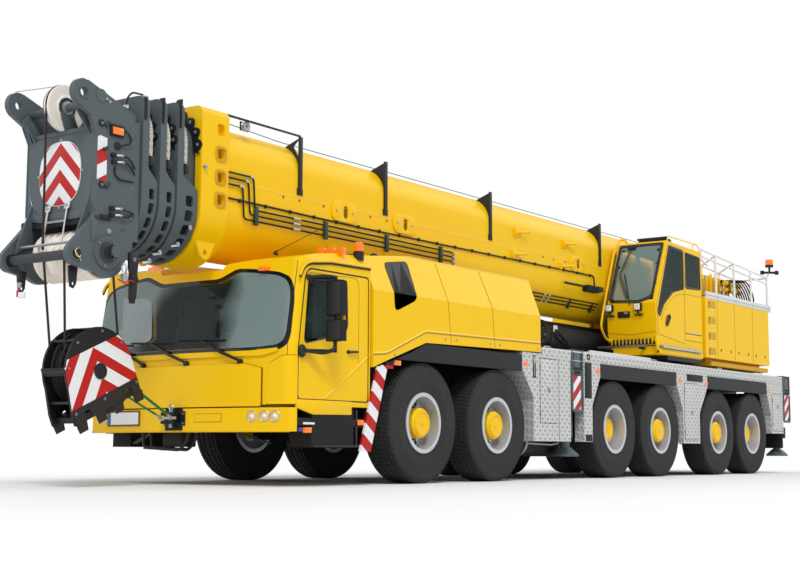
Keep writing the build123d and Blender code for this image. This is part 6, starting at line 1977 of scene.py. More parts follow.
class CRANE_OT_hook_block_fittings(bpy.types.Operator):
    """Build the hook block's sheaves, covers, frames, straps and the hoist ropes"""

    bl_idname = "crane.hook_block_fittings"
    bl_label = "Hook block fittings"

    def execute(self, context):
        tilt = Matrix.Rotation(BLOCK_TILT, 4, "X")
        place = Matrix.Translation(BLOCK_CENTRE) @ tilt
        shape = Shape(place)
        for index in range(5):
            across = -0.112 + index * 0.056
            shape.lathe("soot", ((0.02, 0.345), (0.016, 0.352), (0.006, 0.333), (-0.006, 0.333),
                (-0.016, 0.352), (-0.02, 0.345), (-0.02, 0.3), (0.02, 0.3)), (across, 0, 0), (1, 0, 0), 48,
                closed=True)
        for x in (-0.176, 0.176):
            way = -1 if x < 0 else 1
            shape.lathe("soot", ((0.0, 0.08), (way * 0.01, 0.078), (way * 0.012, 0.07), (way * 0.012, 0.0)),
                (x, 0, 0), (1, 0, 0), 40)
            shape.bolt("black", (x + way * 0.011, 0, 0), (way, 0, 0), 0.014, 0.006)
            # rounded rim strip along the side plate
            arc = [(x * 0.92, 0.424 * cos(radians(t)), 0.424 * sin(radians(t))) for t in range(-4, 186, 10)]
            shape.tube("black", arc, 0.012, 8)
            for t in (25, 65, 115, 155):
                a = radians(t)
                shape.bolt("steel", (x, 0.395 * cos(a), 0.395 * sin(a)), (way, 0, 0), 0.011, 0.01)
            # lower bar of the plate in black, with bolts
            shape.plate("black", [(-0.47, -0.23), (0.425, -0.23), (0.425, -0.375), (-0.475, -0.375)], "x",
                *sorted((x, x + way * 0.004)), 0.0, holes=[circle_outline((-0.3, -0.33), 0.045),
                circle_outline((0.27, -0.33), 0.045)])
            for a, b in ((-0.44, -0.27), (-0.05, -0.27), (0.40, -0.27)):
                shape.bolt("steel", (x + way * 0.003, a, b), (way, 0, 0), 0.012, 0.01)
            for a in (-0.40, -0.14, 0.10, 0.38):
                shape.plate("black", [(a - 0.07, -0.37), (a + 0.07, -0.37), (a + 0.055, -0.47),
                    (a - 0.055, -0.47)], "x", *sorted((x * 0.92, x)), 0.003)
        # cross bars between the plates
        for a, b in ((-0.395, 0.15), (-0.18, 0.385), (0.20, 0.375), (0.40, 0.12), (-0.42, -0.16)):
            shape.rod("black", (-0.17, a, b), (0.17, a, b), 0.016, sides=12)
        for x in (-0.06, 0.06):
            shape.tube("black", [(x, 0.405 * cos(radians(t)), 0.405 * sin(radians(t))) for t in range(95, 165,
                10)], 0.01, 8)
        shape.box("charcoal", (-0.15, -0.1, -0.42), (0.15, 0.12, -0.3), 0.03)
        shape.build("hook_block_fittings", "hook_block", "black_metal")

        # green straps from the block's lower bar to the towing jaw
        straps = Shape()
        for x, end_x in ((0.175, 0.07), (-0.10, -0.08)):
            start = block_point(x, 0.4, -0.34)
            end = Vector((end_x, -2.6, 0.7))
            straps.bar("sling", start.lerp(end, 0.08), start.lerp(end, 0.86), 0.05, 0.006, 0.001)
            straps.rod("chrome", start, start.lerp(end, 0.09), 0.018, sides=12)
            straps.rod("zinc", start.lerp(end, 0.86), end, 0.014, sides=12)
            straps.ball("chrome", start.lerp(end, 0.08), 0.024, 12)
        straps.rod("zinc", (-0.12, -2.6, 0.7), (0.12, -2.6, 0.7), 0.016, sides=14)
        straps.build("block_straps", "hook_block")

        # hoist ropes: from the top sheave and from the sheave pack down to the block
        ropes = Shape()
        front = SHEAVE_AXLE[0] - 0.235
        for x, low_x, up in ((-0.125, -0.110, -0.30), (0.175, 0.045, -0.26)):
            low = block_point(low_x, up, 0.12)
            ropes.tube("rope", ((x, front, SHEAVE_AXLE[1] - 0.02), (low_x, low.y, low.z)), 0.0125, 10)
        low = block_point(0.11, 0.34, 0.02)
        ropes.tube("rope", ((0.325, SHEAVE_AXLE[0] + 0.235, SHEAVE_AXLE[1]), (0.16, low.y, low.z)), 0.0125,
            10)
        made = ropes.build("hoist_ropes", None)
        high, low = SHEAVE_AXLE[1], block_point(0, 0, 0.12).z
        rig.blend(made, "head_sheaves", "hook_block", (0.0, at(SHEAVE_AXLE[0]), high),
            (0.0, at(SHEAVE_AXLE[0]), low))

        lead = Shape()
        lead.tube("rope", ((0.02, -4.12 - 0.222, 3.7), (-0.13, SHEAVE_AXLE[0] - 0.245, 2.3)), 0.0125, 10)
        lead.tube("rope", ((0.02, -4.12, 3.918), (0.01, -3.76, 3.84), (0.0, -3.6, 3.8)), 0.0125, 10)
        lead.tube("rope",
            [(0.02, -4.12 - 0.224 * cos(radians(t)), 3.7 + 0.224 * sin(radians(t))) for t in range(0, 96, 8)],
            0.0125, 10)
        lead.build("rope_lead", "boom_head")
        return {"FINISHED"}


# ------------------------------------------------------------------------------- superstructure
def cab_window(across, height, out=0.0):
    """Point ahead of the operator's cab's leaning front."""
    high = height - 2.64
    ahead = 0.4356 * high if high > 0 else -0.096 * high
    way = (0.917, 0.399) if high > 0 else (0.995, -0.096)
    return Vector((across, 6.3 + ahead - out * way[0], height + out * way[1]))


def window_bend(out):
    return lambda across, height: cab_window(across, height, out)


class CRANE_OT_upper_cab_glazing(bpy.types.Operator):
    """Build the operator's cab's windows, frames and wiper"""

    bl_idname = "crane.upper_cab_glazing"
    bl_label = "Operator's cab glazing"

    def execute(self, context):
        shape = Shape()
        pane = soften([(0.625, 2.74), (0.66, 2.685), (1.12, 2.66), (1.33, 2.735), (1.352, 3.6), (0.628, 3.6)],
            0.04)
        middle = (0.985, 3.13)
        # front pane in pale glass: a painted reflection
        shape.skin("pale_glass", pane, [], window_bend(0.006), 0.004)
        shape.skin("gloss", scaled(pane, middle, 1.055, 1.04), [], window_bend(0.008), 0.006,
            hole=scaled(pane, middle, 0.93, 0.95))
        for outline in (((6.4, 2.53), (6.475, 2.445), (6.64, 2.66), (6.96, 2.86), (7.33, 2.935), (7.32, 3.53),
                (6.82, 3.55)), ((7.44, 2.97), (7.44, 3.53), (7.98, 3.51), (8.0, 3.0))):
            middle = (sum(s for s, _ in outline) / len(outline), sum(z for _, z in outline) / len(outline))
            shape.plate("cab_glass", soften(outline, 0.04), "x", 1.392, 1.397)
            shape.plate("gloss", soften(scaled(outline, middle, 1.075, 1.07), 0.05), "x", 1.398, 1.404, 0.001,
                holes=[soften(scaled(outline, middle, 0.97, 0.97), 0.04)])
        shape.plate("cab_glass", round_outline((7.45, 3.1), 0.9, 0.62, 0.05), "x", 0.574, 0.58)
        # wiper with two arms, rear-view mirror, screen and levers
        pivot = cab_window(0.84, 3.56, 0.03)
        shape.rod("black", cab_window(0.84, 3.56, 0.0), cab_window(0.84, 3.56, 0.05), 0.035, 0.025)
        shape.box("black", cab_window(0.84, 3.56, 0.02) - Vector((0.07, 0.02, 0.03)),
            cab_window(0.84, 3.56, 0.02) + Vector((0.07, 0.03, 0.03)), 0.01)
        joint = cab_window(0.73, 3.1, 0.05)
        for shift in (-0.014, 0.014):
            shape.tube("black", (pivot + Vector((shift, 0, 0)), joint + Vector((shift, 0, 0)),
                cab_window(0.92 + shift, 2.72, 0.03)), 0.007, 8, 0.05)
        shape.tube("black", (cab_window(0.8, 3.12, 0.02), cab_window(0.98, 2.63, 0.02)), 0.01, 8)
        shape.tube("black", (cab_window(0.66, 3.3, 0.02), cab_window(0.66, 2.66, 0.02)), 0.008, 8)
        shape.box("soot", (0.86, 6.62, 2.42), (1.2, 6.78, 2.62), 0.03)
        shape.box("charcoal", (0.7, 7.05, 2.35), (0.78, 7.55, 2.62), 0.03)
        shape.box("charcoal", (1.22, 7.05, 2.35), (1.3, 7.55, 2.62), 0.03)
        for x in (0.74, 1.26):
            shape.rod("black", (x, 7.1, 2.6), (x, 7.07, 2.78), 0.016)
            shape.ball("black", (x, 7.07, 2.79), 0.032, 14, (1, 1, 1.3))
        shape.box("black", (1.24, 6.66, 2.86), (1.3, 6.69, 3.06), 0.008)
        shape.build("upper_cab_glazing", "superstructure", "black_metal")
        return {"FINISHED"}


class CRANE_OT_upper_cab_fittings(bpy.types.Operator):
    """Build the operator's cab's lights, grille, rails, handle and steps"""

    bl_idname = "crane.upper_cab_fittings"
    bl_label = "Operator's cab fittings"

    def execute(self, context):
        shape = Shape()
        for x in (0.635, 1.12):
            spot = cab_window(x, 2.585, 0.04)
            shape.box("black", spot - Vector((0.062, 0.03, 0.06)), spot + Vector((0.062, 0.05, 0.06)), 0.014)
            shape.box("clear", spot - Vector((0.05, 0.036, 0.048)), spot + Vector((0.05, -0.02, 0.048)),
                0.008)
            for dx in (-0.024, 0.024):
                for dz in (-0.022, 0.022):
                    shape.ball("mirror", spot + Vector((dx, -0.032, dz)), 0.014, 10)
            shape.tube("black", (spot + Vector((0, 0.02, -0.05)), cab_window(x, 2.47, 0.04),
                cab_window(x, 2.45, 0.0)), 0.012, 8, 0.02)
            for dx in (-0.045, 0.03, 0.06):
                shape.ball("soot", cab_window(x + dx, 2.462, 0.02), 0.017, 10)
        shape.skin("soot", round_outline((0.865, 2.475), 0.21, 0.1, 0.015), [], window_bend(0.012), 0.012)
        shape.skin("zinc", round_outline((0.905, 2.5), 0.07, 0.035, 0.008), [], window_bend(0.017), 0.01)
        # grille below the front, kick rail
        shape.box("soot", (0.575, 6.37, 2.005), (1.37, 6.4, 2.115), 0.004)
        for index in range(11):
            x = 0.64 + index * 0.062
            shape.box("charcoal", (x, 6.355, 2.03), (x + 0.04, 6.385, 2.095), 0.004)
        for index in range(12):
            x = 0.63 + index * 0.062
            shape.box("yellow", (x - 0.009, 6.352, 2.012), (x + 0.009, 6.36, 2.108), 0.002)
        shape.box("steel", (0.47, 6.16, 1.955), (1.27, 6.26, 1.985), 0.006)
        for x in (0.58, 1.16):
            shape.box("soot", (x - 0.02, 6.24, 1.93), (x + 0.02, 6.42, 1.965), 0.004)
        shape.plate("yellow", soften(((6.3, 2.13), (6.34, 2.13), (6.42, 1.93), (6.36, 1.9)), 0.01), "x",
            1.375, 1.405, 0.003)
        # panel line around the front's lower edge and the side's seams
        shape.tube("yellow_line", [cab_window(x, z, 0.001) for x, z in ((0.6, 2.2), (0.98, 2.16),
            (1.38, 2.2))], 0.004, 6)
        for line in (((7.385, 3.58), (7.385, 2.93), (7.37, 2.13)), ((7.37, 2.13), (8.03, 2.13)),
                ((6.4, 2.16), (6.35, 2.62), (6.79, 3.6)), ((6.4, 2.16), (7.37, 2.07))):
            shape.tube("yellow_line", [(1.4005, s, z) for s, z in line], 0.005, 6)
        shape.tube("yellow_line", curve_line([(1.4005, 6.5, 2.38), (1.4005, 6.66, 2.58), (1.4005, 6.97, 2.78),
            (1.4005, 7.36, 2.86), (1.4005, 8.03, 2.87)]), 0.004, 6)
        shape.box("groove", (1.396, 7.4, 2.232), (1.403, 8.0, 2.258), 0.004)
        shape.box("chrome", (1.396, 7.4, 2.246), (1.405, 8.0, 2.256), 0.002)
        # pull handle in its recess, the recess a darker plate of painted shade
        shape.plate("groove", soften(((6.64, 2.3), (6.69, 2.47), (6.83, 2.5), (6.78, 2.31)), 0.05), "x",
            1.399, 1.4035)
        shape.tube("black", ((1.404, 6.66, 2.31), (1.43, 6.7, 2.36), (1.43, 6.77, 2.44), (1.404, 6.8, 2.48)),
            0.016, 10, 0.03)
        # step plate along the side with its brackets
        shape.box("steel", (1.33, 6.42, 1.945), (1.452, 7.9, 1.985), 0.006)
        for index in range(24):
            y = 6.47 + index * 0.06
            shape.box("aluminium", (1.447, y, 1.952), (1.455, y + 0.035, 1.978), 0.003)
        shape.box("yellow", (1.36, 6.4, 1.865), (1.425, 8.02, 1.942), 0.008)
        shape.box("soot", (1.3, 6.44, 2.0), (1.398, 6.62, 2.1), 0.008)
        # roof: vent, rail, corner guard tubes
        shape.box("black", (0.9, 6.79, 3.64), (1.36, 7.02, 3.7), 0.012)
        for index in range(9):
            shape.box("soot", (0.92 + index * 0.048, 6.78, 3.655), (0.95 + index * 0.048, 7.03, 3.712), 0.004)
        shape.rod("black", (0.88, 6.8, 3.705), (1.38, 6.8, 3.705), 0.02)
        rail = ((1.37, 6.83, 3.62), (1.37, 6.83, 3.735), (1.37, 7.95, 3.735), (1.37, 8.04, 3.7),
            (1.37, 8.04, 3.58))
        shape.tube("pale_yellow", rail, 0.012, 8, 0.05)
        shape.tube("pale_yellow", ((1.3, 7.95, 3.62), (1.3, 7.95, 3.735), (1.37, 7.95, 3.735)), 0.01, 8, 0.03)
        guard = [Vector((x, s, z)) for x, s, z in ((0.6, 6.36, 2.08), (0.56, 6.28, 2.12), (0.56, 6.12, 2.28),
            (0.56, 6.2, 2.52), (0.56, 6.59, 3.47), (0.57, 6.79, 3.74), (0.64, 6.88, 3.74), (0.66, 6.9, 3.63))]
        shape.tube("yellow", guard, 0.019, 10, 0.08)
        shape.tube("black", [p + Vector((0.035, 0.03, 0)) for p in guard[1:5]], 0.01, 8, 0.05)
        for x, z in ((0.70, 3.52), (1.30, 3.50), (1.33, 3.28), (0.67, 3.25), (1.34, 2.95)):
            shape.rod("soot", cab_window(x, z, 0.006), cab_window(x, z, 0.02), 0.022, sides=14)
        shape.build("upper_cab_fittings", "superstructure", "yellow_paint")
        return {"FINISHED"}


class CRANE_OT_housing_fittings(bpy.types.Operator):
    """Build the machinery housing's ladder holes, seams, rails, hoses, winch and beacon"""

    bl_idname = "crane.housing_fittings"
    bl_label = "Housing fittings"

    def execute(self, context):
        for name, sign in SIDES:
            shape = Shape(vehicle(sign))
            face = 1.425
            # ladder holes: the deep yellow inside each is painted shade, darker still at its front end, and the pale
            # bar under each is a painted highlight
            for z in (2.77, 2.51, 2.25, 2.00):
                shape.plate("yellow", round_outline((8.4, z), 0.33, 0.18, 0.05), "x", face - 0.001,
                    face + 0.003, 0.001, holes=[round_outline((8.4, z), 0.29, 0.145, 0.04)])
                shape.plate("deep_yellow", round_outline((8.4, z), 0.291, 0.146, 0.04), "x", face - 0.001,
                    face + 0.0012)
                shape.plate("groove", ((8.26, z - 0.05), (8.29, z - 0.05), (8.31, z + 0.062),
                    (8.26, z + 0.062)), "x", face, face + 0.0018)
                shape.box("pale_yellow", (face, 8.3, z - 0.072), (face + 0.0022, 8.53, z - 0.055), 0.001)
            for s in (8.62, 9.36, 10.17):
                shape.tube("yellow_line", ((face + 0.0005, s, 2.885), (face + 0.0005, s, 1.915)), 0.004, 6)
            shape.tube("yellow_line", ((face + 0.0005, 8.15, 2.88), (face + 0.0005, 10.92, 2.88)), 0.004, 6)
            # small slots as darker boxes of painted shade
            for s in (8.76, 9.18, 9.53, 9.96, 10.31, 10.73):
                shape.box("groove", (face - 0.001, s - 0.024, 2.028), (face + 0.0025, s + 0.024, 2.072),
                    0.002)
            # kick board, posts and rails of the walkway
            shape.box("aluminium", (face - 0.02, 8.17, 2.875), (face + 0.008, 11.04, 2.99), 0.004)
            shape.box("steel", (face - 0.01, 8.17, 2.925), (face + 0.0095, 11.04, 2.932), 0.001)
            shape.box("tread_plate", (0.76, 8.17, 2.9), (face - 0.02, 10.93, 2.916), 0.003)
            posts = ((8.64, 3.63), (9.43, 3.585), (10.19, 3.54), (10.96, 3.49))
            for s, top in posts:
                shape.tube("white", ((face - 0.02, s, 2.86), (face - 0.02, s, top)), 0.02, 10)
                shape.box("zinc", (face - 0.045, s - 0.03, 2.9), (face + 0.008, s + 0.03, 2.96), 0.006)
                shape.tube("white", ((0.82, s, 2.91), (0.82, s, top - 0.02)), 0.016, 8)
            for drop, inner in ((0.0, 0.0), (0.11, 0.0), (0.0, 0.585), (0.14, 0.585)):
                rail = face - 0.02 - inner
                line = [(rail, 8.04, 3.665 - drop), *((rail, s, top - drop) for s, top in posts)]
                shape.tube("white", line, 0.016, 8)
            shape.tube("aluminium", ((face - 0.02, 8.04, 3.665), (face - 0.02, 8.04, 3.5),
                (face - 0.02, 8.3, 3.42)), 0.014, 8, 0.03)
            shape.tube("aluminium", ((face - 0.02, 10.96, 3.49), (0.78, 10.96, 3.47)), 0.014, 8)
            shape.tube("aluminium", ((face - 0.02, 8.64, 3.63), (0.78, 9.43, 3.565)), 0.012, 8)
            shape.tube("aluminium", ((face - 0.02, 9.43, 3.585), (0.78, 10.19, 3.52)), 0.012, 8)
            # tank, winch frame and hoses inside the rails; the deep yellow plate on the tank and the deep yellow
            # strips behind the posts are painted shade
            shape.box("yellow", (0.64, 8.16, 2.915), (1.04, 8.95, 3.56), 0.03)
            shape.box("yellow", (0.64, 8.95, 2.915), (0.86, 10.3, 3.44), 0.02)
            shape.box("deep_yellow", (0.859, 9.02, 3.02), (0.866, 9.5, 3.36), 0.006)
            for s, top in ((9.62, 3.46), (9.86, 3.44), (10.28, 3.40)):
                shape.bar("yellow", (0.9, s, 2.92), (0.9, s, top), 0.05, 0.04, 0.006)
                shape.bar("deep_yellow", (0.93, s + 0.05, 2.92), (0.93, s + 0.05, top - 0.08), 0.02, 0.03,
                    0.004)
            for z in (3.08, 3.22, 3.34):
                shape.rod("yellow", (0.98, 10.05, z), (0.98, 10.72, z), 0.045, sides=16)
                shape.rod("charcoal", (0.98, 10.12, z), (0.98, 10.2, z), 0.052, sides=16)
            shape.box("charcoal", (0.88, 10.4, 2.92), (1.06, 10.62, 3.06), 0.02)
            for index in range(9):
                x = 0.8 + 0.035 * index
                shape.tube("seal", curve_line([(x, 10.1 + 0.02 * index, 3.4),
                    (x + 0.1, 10.34 + 0.03 * index, 3.3 + 0.01 * index), (x + 0.16, 10.56 + 0.02 * index,
                    3.12), (x + 0.12, 10.66 + 0.015 * index, 2.93)], 6), 0.013, 8)
            for s, x, z in ((9.0, 0.90, 3.33), (9.12, 1.02, 3.33), (9.8, 1.0, 3.20), (10.1, 0.86, 3.26)):
                shape.rod("chrome", (x, s, z - 0.03), (x, s, z + 0.04), 0.022)
            shape.build(f"housing_fittings_{name}", "superstructure", "yellow_paint")

        shape = Shape()
        # beacon on its cross bar at the left rear
        shape.bar("black", (1.27, 11.07, 3.615), (1.57, 11.07, 3.59), 0.04, 0.04, 0.008)
        for x, z in ((1.285, 3.614), (1.555, 3.591)):
            shape.box("soot", (x - 0.03, 11.04, z - 0.035), (x + 0.03, 11.1, z + 0.035), 0.008)
        shape.tube("aluminium", ((1.405, 10.96, 3.49), (1.405, 11.07, 3.59)), 0.014, 8)
        shape.rod("black", (1.42, 11.07, 3.62), (1.42, 11.07, 3.71), 0.018)
        shape.lathe("black", ((-0.02, 0.0), (-0.02, 0.07), (0.02, 0.075), (0.02, 0.0)), (1.42, 11.07, 3.72),
            (0, 0, 1), 24)
        shape.lathe("amber", ((0.0, 0.0), (0.0, 0.068), (0.07, 0.072), (0.1, 0.06), (0.11, 0.0)),
            (1.42, 11.07, 3.74), (0, 0, 1), 24)
        # winch drum with its rope at the rear, drum flanges and motor
        for x in (-0.60, 0.60):
            shape.lathe("charcoal", ((-0.012, 0.34), (0.012, 0.34), (0.012, 0.1), (-0.012, 0.1)),
                (x, 11.15, 2.39), (1, 0, 0), 40, closed=True)
        for index in range(19):
            shape.lathe("rope", ((-0.0135, 0.243), (-0.007, 0.255), (0.007, 0.255), (0.0135, 0.243)),
                (-0.513 + 0.057 * index, 11.15, 2.39), (1, 0, 0), 32)
        # valve blocks and lines on the lift cylinder's side of the turntable
        with shape.both_sides():
            shape.box("soot", (0.66, 8.05, 1.86), (0.8, 8.35, 2.06), 0.02)
            shape.tube("seal", curve_line([(0.72, 8.1, 2.05), (0.66, 8.0, 2.3), (0.64, 8.3, 2.62),
                (0.6, 8.9, 2.72)]), 0.018, 8)
        for index in range(36):
            turn = 2 * pi * index / 36
            spot = (0.9 * cos(turn), 7.36 + 0.9 * sin(turn), 1.7795)
            shape.bolt("steel", spot, (0, 0, 1), 0.016, 0.02)
        shape.build("superstructure_details", "superstructure", "black_metal")
        return {"FINISHED"}


class CRANE_OT_lift_cylinder_fittings(bpy.types.Operator):
    """Build the lift cylinder's gland, pipes and holding valve"""

    bl_idname = "crane.lift_cylinder_fittings"
    bl_label = "Lift cylinder fittings"

    def execute(self, context):
        shape = Shape()
        shape.lathe("black", ((-0.03, 0.2395), (0.0, 0.252), (0.12, 0.252), (0.14, 0.2405)), (0, 5.03, 2.11),
            (0, 1, 0), 40)
        for index in range(12):
            turn = 2 * pi * index / 12
            spot = Vector((0.205 * cos(turn), 5.012, 2.11 + 0.205 * sin(turn)))
            shape.bolt("steel", spot, (0, -1, 0), 0.016, 0.012)
        with shape.both_sides():
            shape.tube("seal", ((0.17, 5.2, 2.285), (0.2, 5.3, 2.3), (0.2, 7.5, 2.3)), 0.016, 8, 0.04)
        shape.tube("black", ((0.242, 5.2, 2.14), (0.27, 5.3, 2.05), (0.25, 5.55, 1.98), (0.22, 5.75, 1.95)),
            0.015, 8, 0.04)
        shape.tube("soot", ((0.243, 5.36, 2.16), (0.262, 5.62, 2.0)), 0.014, 8)
        shape.box("soot", (0.2, 5.22, 2.1), (0.262, 5.36, 2.2), 0.01)
        shape.box("white", (0.236, 5.2, 2.16), (0.249, 5.32, 2.26), 0.004)
        shape.build("lift_cylinder_fittings", "lift_barrel", "black_metal")
        return {"FINISHED"}


class CRANE_OT_deck_fittings(bpy.types.Operator):
    """Build the deck's ladder, engine top details, rear lamps and bumper"""

    bl_idname = "crane.deck_fittings"
    bl_label = "Deck fittings"

    def execute(self, context):
        shape = Shape()
        for x in (1.16, 1.42):
            shape.box("aluminium", (x - 0.016, 4.12, 1.716), (x + 0.016, 6.05, 1.768), 0.004)
        for index in range(9):
            shape.rod("aluminium", (1.16, 4.22 + index * 0.215, 1.745), (1.42, 4.22 + index * 0.215, 1.745),
                0.014)
        for s in (4.35, 5.9):
            shape.box("zinc", (1.12, s - 0.02, 1.714), (1.46, s + 0.02, 1.72), 0.002)
        with shape.both_sides():
            for s in (2.85, 4.6, 6.1, 8.6, 10.4):
                shape.tube("zinc", ((1.42, s, 1.715), (1.42, s, 1.745), (1.42, s + 0.16, 1.745),
                    (1.42, s + 0.16, 1.715)), 0.008, 8, 0.015)
        # intake pipes and fittings at the cover's front top
        for index, (x, s, z) in enumerate(((1.22, -0.9, 2.52), (1.12, -0.82, 2.53), (1.02, -0.72, 2.545),
                (1.27, -0.7, 2.54))):
            shape.ball(("chrome", "soot", "zinc", "black")[index], (x, s, z), 0.038, 14, (1.2, 1.4, 0.8))
        shape.tube("seal", curve_line([(1.26, -0.92, 2.52), (1.12, -0.84, 2.56), (0.95, -0.66, 2.56),
            (0.84, -0.45, 2.56)]), 0.012, 8)
        # rear lamp bars and hitch
        with shape.both_sides():
            low, high = 0.62, 1.42
            shape.box("black", (low, 11.58, 0.62), (high, 11.66, 0.82), 0.012)
            for x, coat_name in ((0.76, "red_lens"), (0.90, "amber"), (1.04, "clear"), (1.22, "red_lens"),
                                 (1.33, "red_lens")):
                shape.lathe(coat_name, ((0.0, 0.052), (0.012, 0.048), (0.016, 0.0)), (x, 11.66, 0.72),
                    (0, 1, 0), 20)
            shape.bar("black", (0.7, 11.62, 0.8), (0.42, 11.62, 0.95), 0.06, 0.05)
            shape.box("black", (1.13, 11.36, 0.44), (1.47, 11.385, 0.92), 0.006)
        shape.box("soot", (-0.16, 11.6, 0.66), (0.16, 11.715, 0.86), 0.02)
        shape.rod("zinc", (0, 11.68, 0.64), (0, 11.68, 0.9), 0.022)
        shape.box("white", (-0.26, 11.695, 0.95), (0.26, 11.705, 1.07), 0.003)
        shape.build("deck_fittings", "carrier", "aluminium_plate")
        return {"FINISHED"}


# seat's name, body, across, height of the cushion's top, station of the backrest's face
SEATS = (("driver_seat", "carrier", 0.85, 1.385, -1.4), ("passenger_seat", "carrier", -0.85, 1.385, -1.4),
    ("operator_seat", "superstructure", 0.985, 2.47, 7.56))


def cushion(low, high, crown, face):
    """Padded form between two corners, crowned towards a face axis, with a piped seam."""
    half = [(b - a) / 2 for a, b in zip(low, high)]
    middle = Vector([(a + b) / 2 for a, b in zip(low, high)])
    bit = bmesh.new()
    bmesh.ops.create_cube(bit, size=2.0)
    bmesh.ops.subdivide_edges(bit, edges=bit.edges[:], cuts=9, use_grid_fill=True)
    first, second = [axis for axis in range(3) if axis != face]
    for vert in bit.verts:
        place = list(vert.co)
        u, v, w = place[first], place[second], place[face]
        edge = max(abs(u), abs(v)) ** 6
        place[first] = u * (1.0 - 0.1 * abs(v) ** 4 - 0.05 * abs(w) ** 4)
        place[second] = v * (1.0 - 0.1 * abs(u) ** 4 - 0.05 * abs(w) ** 4)
        puff = (1 - u * u) * (1 - v * v)
        groove = 0.16 * (abs(abs(u) - 0.5) < 0.06) * puff
        swell = (1 if w > 0 else -1) * (crown * puff - groove * crown) * (abs(w) > 0.99)
        place[face] = w * (1.0 - 0.45 * edge) + swell
        vert.co = middle + Vector([place[i] * half[i] for i in range(3)])
    return bit


class CRANE_OT_seats(bpy.types.Operator):
    """Build the padded seats of both cabs"""

    bl_idname = "crane.seats"
    bl_label = "Seats"

    def execute(self, context):
        for name, body, x, top, back in SEATS:
            y = back
            for part, low, high, crown, face in (("cushion", (x - 0.245, y - 0.42, top - 0.13),
                    (x + 0.245, y + 0.03, top), 0.35, 2), ("backrest", (x - 0.235, y - 0.035, top - 0.02),
                    (x + 0.235, y + 0.09, top + 0.53), 0.35, 1), ("headrest",
                    (x - 0.13, y - 0.01, top + 0.56), (x + 0.13, y + 0.08, top + 0.72), 0.3, 1)):
                shape = Shape()
                shape.join(cushion(low, high, crown, face), "cloth")
                inset = [(high[0] - 0.02, low[0] + 0.02), (high[3 - face] - 0.02, low[3 - face] + 0.02)]
                level = (low[face] + high[face]) / 2
                ring = []
                for a, b in ((0, 0), (1, 0), (1, 1), (0, 1), (0, 0)):
                    spot = [inset[0][a], 0, 0]
                    spot[face], spot[3 - face] = level, inset[1][b]
                    ring.append(Vector(spot))
                shape.tube("cloth", ring, 0.006, 6, 0.03)
                made = shape.build(f"{name}_{part}", body, smooth=60)
                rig.padded(made, 0.9)
        return {"FINISHED"}


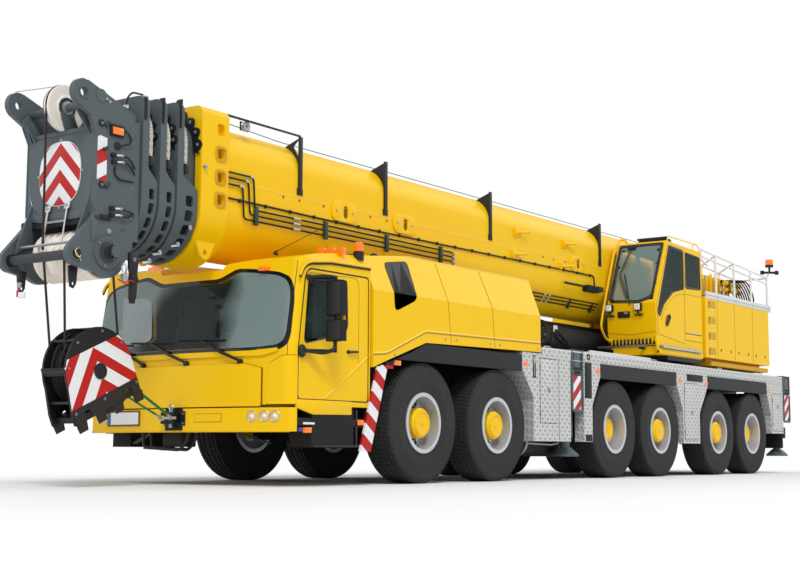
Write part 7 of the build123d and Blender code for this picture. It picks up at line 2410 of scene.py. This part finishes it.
class CRANE_OT_stage(bpy.types.Operator):
    """Build the floor, lights, world and camera"""

    bl_idname = "crane.stage"
    bl_label = "Stage"

    def execute(self, context):
        scene = context.scene
        bit = bmesh.new()
        bmesh.ops.create_grid(bit, x_segments=1, y_segments=1, size=90.0)
        mesh = bpy.data.meshes.new("floor")
        bit.to_mesh(mesh)
        bit.free()
        floor = bpy.data.objects.new("floor", mesh)
        scene.collection.objects.link(floor)
        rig.stage(floor)
        surface = Surface("floor_white", roughness=0.95, specular_ior_level=0.0)
        x, y, _ = surface.where()
        out_x = (abs(x) - 2.6).math("MAXIMUM", 0.0)
        out_y = (abs(y) - 8.6).math("MAXIMUM", 0.0)
        far = (out_x * out_x + out_y * out_y).math("SQRT")
        fade = surface.node("ShaderNodeMapRange", {"interpolation_type": "SMOOTHSTEP"},
            {"Value": far, "From Min": 0.0, "From Max": 4.5})
        seen = surface.node("ShaderNodeLightPath")
        surface.feed("Base Color", srgb(236, 236, 236))
        glow = surface.node("ShaderNodeEmission", None, {"Color": (1.0, 1.0, 1.0), "Strength": 1.0})
        shown = surface.node("ShaderNodeMixShader", None, {0: fade * seen})
        surface.tree.links.new(surface.shader.outputs[0], shown.socket.node.inputs[1])
        surface.tree.links.new(glow.socket, shown.socket.node.inputs[2])
        output = next(n for n in surface.tree.nodes if n.bl_idname == "ShaderNodeOutputMaterial")
        surface.tree.links.new(shown.socket, output.inputs[0])
        mesh.materials.append(surface.material)

        world = bpy.data.worlds.new("studio")
        scene.world = world
        world.use_nodes = True
        nodes, links = world.node_tree.nodes, world.node_tree.links
        nodes.clear()
        path = nodes.new("ShaderNodeLightPath")
        direct = nodes.new("ShaderNodeMath")
        direct.operation = "MAXIMUM"
        links.new(path.outputs["Is Camera Ray"], direct.inputs[0])
        links.new(path.outputs["Is Transmission Ray"], direct.inputs[1])
        room = nodes.new("ShaderNodeBackground")
        room.inputs["Color"].default_value = (0.93, 0.96, 1.0, 1.0)
        room.inputs["Strength"].default_value = 0.62
        white = nodes.new("ShaderNodeBackground")
        white.inputs["Color"].default_value = (1.0, 1.0, 1.0, 1.0)
        white.inputs["Strength"].default_value = 1.0
        mixed = nodes.new("ShaderNodeMixShader")
        output = nodes.new("ShaderNodeOutputWorld")
        links.new(direct.outputs[0], mixed.inputs[0])
        links.new(room.outputs[0], mixed.inputs[1])
        links.new(white.outputs[0], mixed.inputs[2])
        links.new(mixed.outputs[0], output.inputs[0])

        # name, direction the light comes from, strength, apparent size in degrees
        suns = (("key_light", (0.62, -0.62, 1.0), 1.55, 18), ("fill_light", (-0.7, -0.5, 0.5), 0.35, 60),
            ("back_light", (0.3, 0.9, 0.6), 0.45, 40))
        for name, source, strength, size in suns:
            light = bpy.data.lights.new(name, "SUN")
            light.energy = strength
            light.angle = radians(size)
            lamp = bpy.data.objects.new(name, light)
            lamp.rotation_mode = "QUATERNION"
            lamp.rotation_quaternion = Vector(source).to_track_quat("Z", "Y")
            scene.collection.objects.link(lamp)

        yaw, pitch, roll = radians(35.763), radians(6.7147), radians(0.2323)
        look = Vector((-sin(yaw) * cos(pitch), cos(yaw) * cos(pitch), sin(pitch)))
        right = look.cross(Vector((0, 0, 1))).normalized()
        up = right.cross(look)
        right, up = right * cos(roll) + up * sin(roll), up * cos(roll) - right * sin(roll)
        lens = bpy.data.cameras.new("camera")
        lens.sensor_width = 36.0
        lens.lens = 61.82
        lens.clip_start, lens.clip_end = 0.1, 400.0
        camera = bpy.data.objects.new("camera", lens)
        camera.matrix_world = Matrix.Translation((10.433, -16.555, 0.3753)) @ Matrix((right, up,
            -look)).transposed().to_4x4()
        scene.collection.objects.link(camera)
        scene.camera = camera
        scene.view_settings.view_transform = "Standard"
        return {"FINISHED"}


# ------------------------------------------------------------------------------- panel and run
def crane_operators():
    """The file's operators, in the order in which they are called."""
    return [value for name, value in globals().items() if name.startswith("CRANE_OT_")]


class CRANE_PT_panel(bpy.types.Panel):
    """Lists the crane's operators and settings"""

    bl_idname = "CRANE_PT_panel"
    bl_label = "Mobile Crane"
    bl_space_type = "VIEW_3D"
    bl_region_type = "UI"
    bl_category = "Mobile Crane"

    def draw(self, context):
        for group in (paints(), sizes()):
            for setting in group.__annotations__:
                self.layout.prop(group, setting)
        for operator in crane_operators():
            self.layout.operator(operator.bl_idname)


def register():
    for group in (CranePaints, CraneSizes, *crane_operators(), CRANE_PT_panel):
        bpy.utils.register_class(group)
    bpy.types.Scene.crane_paints = bpy.props.PointerProperty(type=CranePaints)
    bpy.types.Scene.crane_sizes = bpy.props.PointerProperty(type=CraneSizes)


def unregister():
    del bpy.types.Scene.crane_paints, bpy.types.Scene.crane_sizes
    for group in reversed((CranePaints, CraneSizes, *crane_operators(), CRANE_PT_panel)):
        bpy.utils.unregister_class(group)


def main():
    register()
    for operator in crane_operators():
        family, name = operator.bl_idname.split(".")
        getattr(getattr(bpy.ops, family), name)()
    corners = [list(corner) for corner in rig.bounds()]
    with open("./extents.json", "w") as sheet:
        json.dump({"cad": CAD_BOX, "visual": corners}, sheet)


if __name__ == "__main__":
    main()
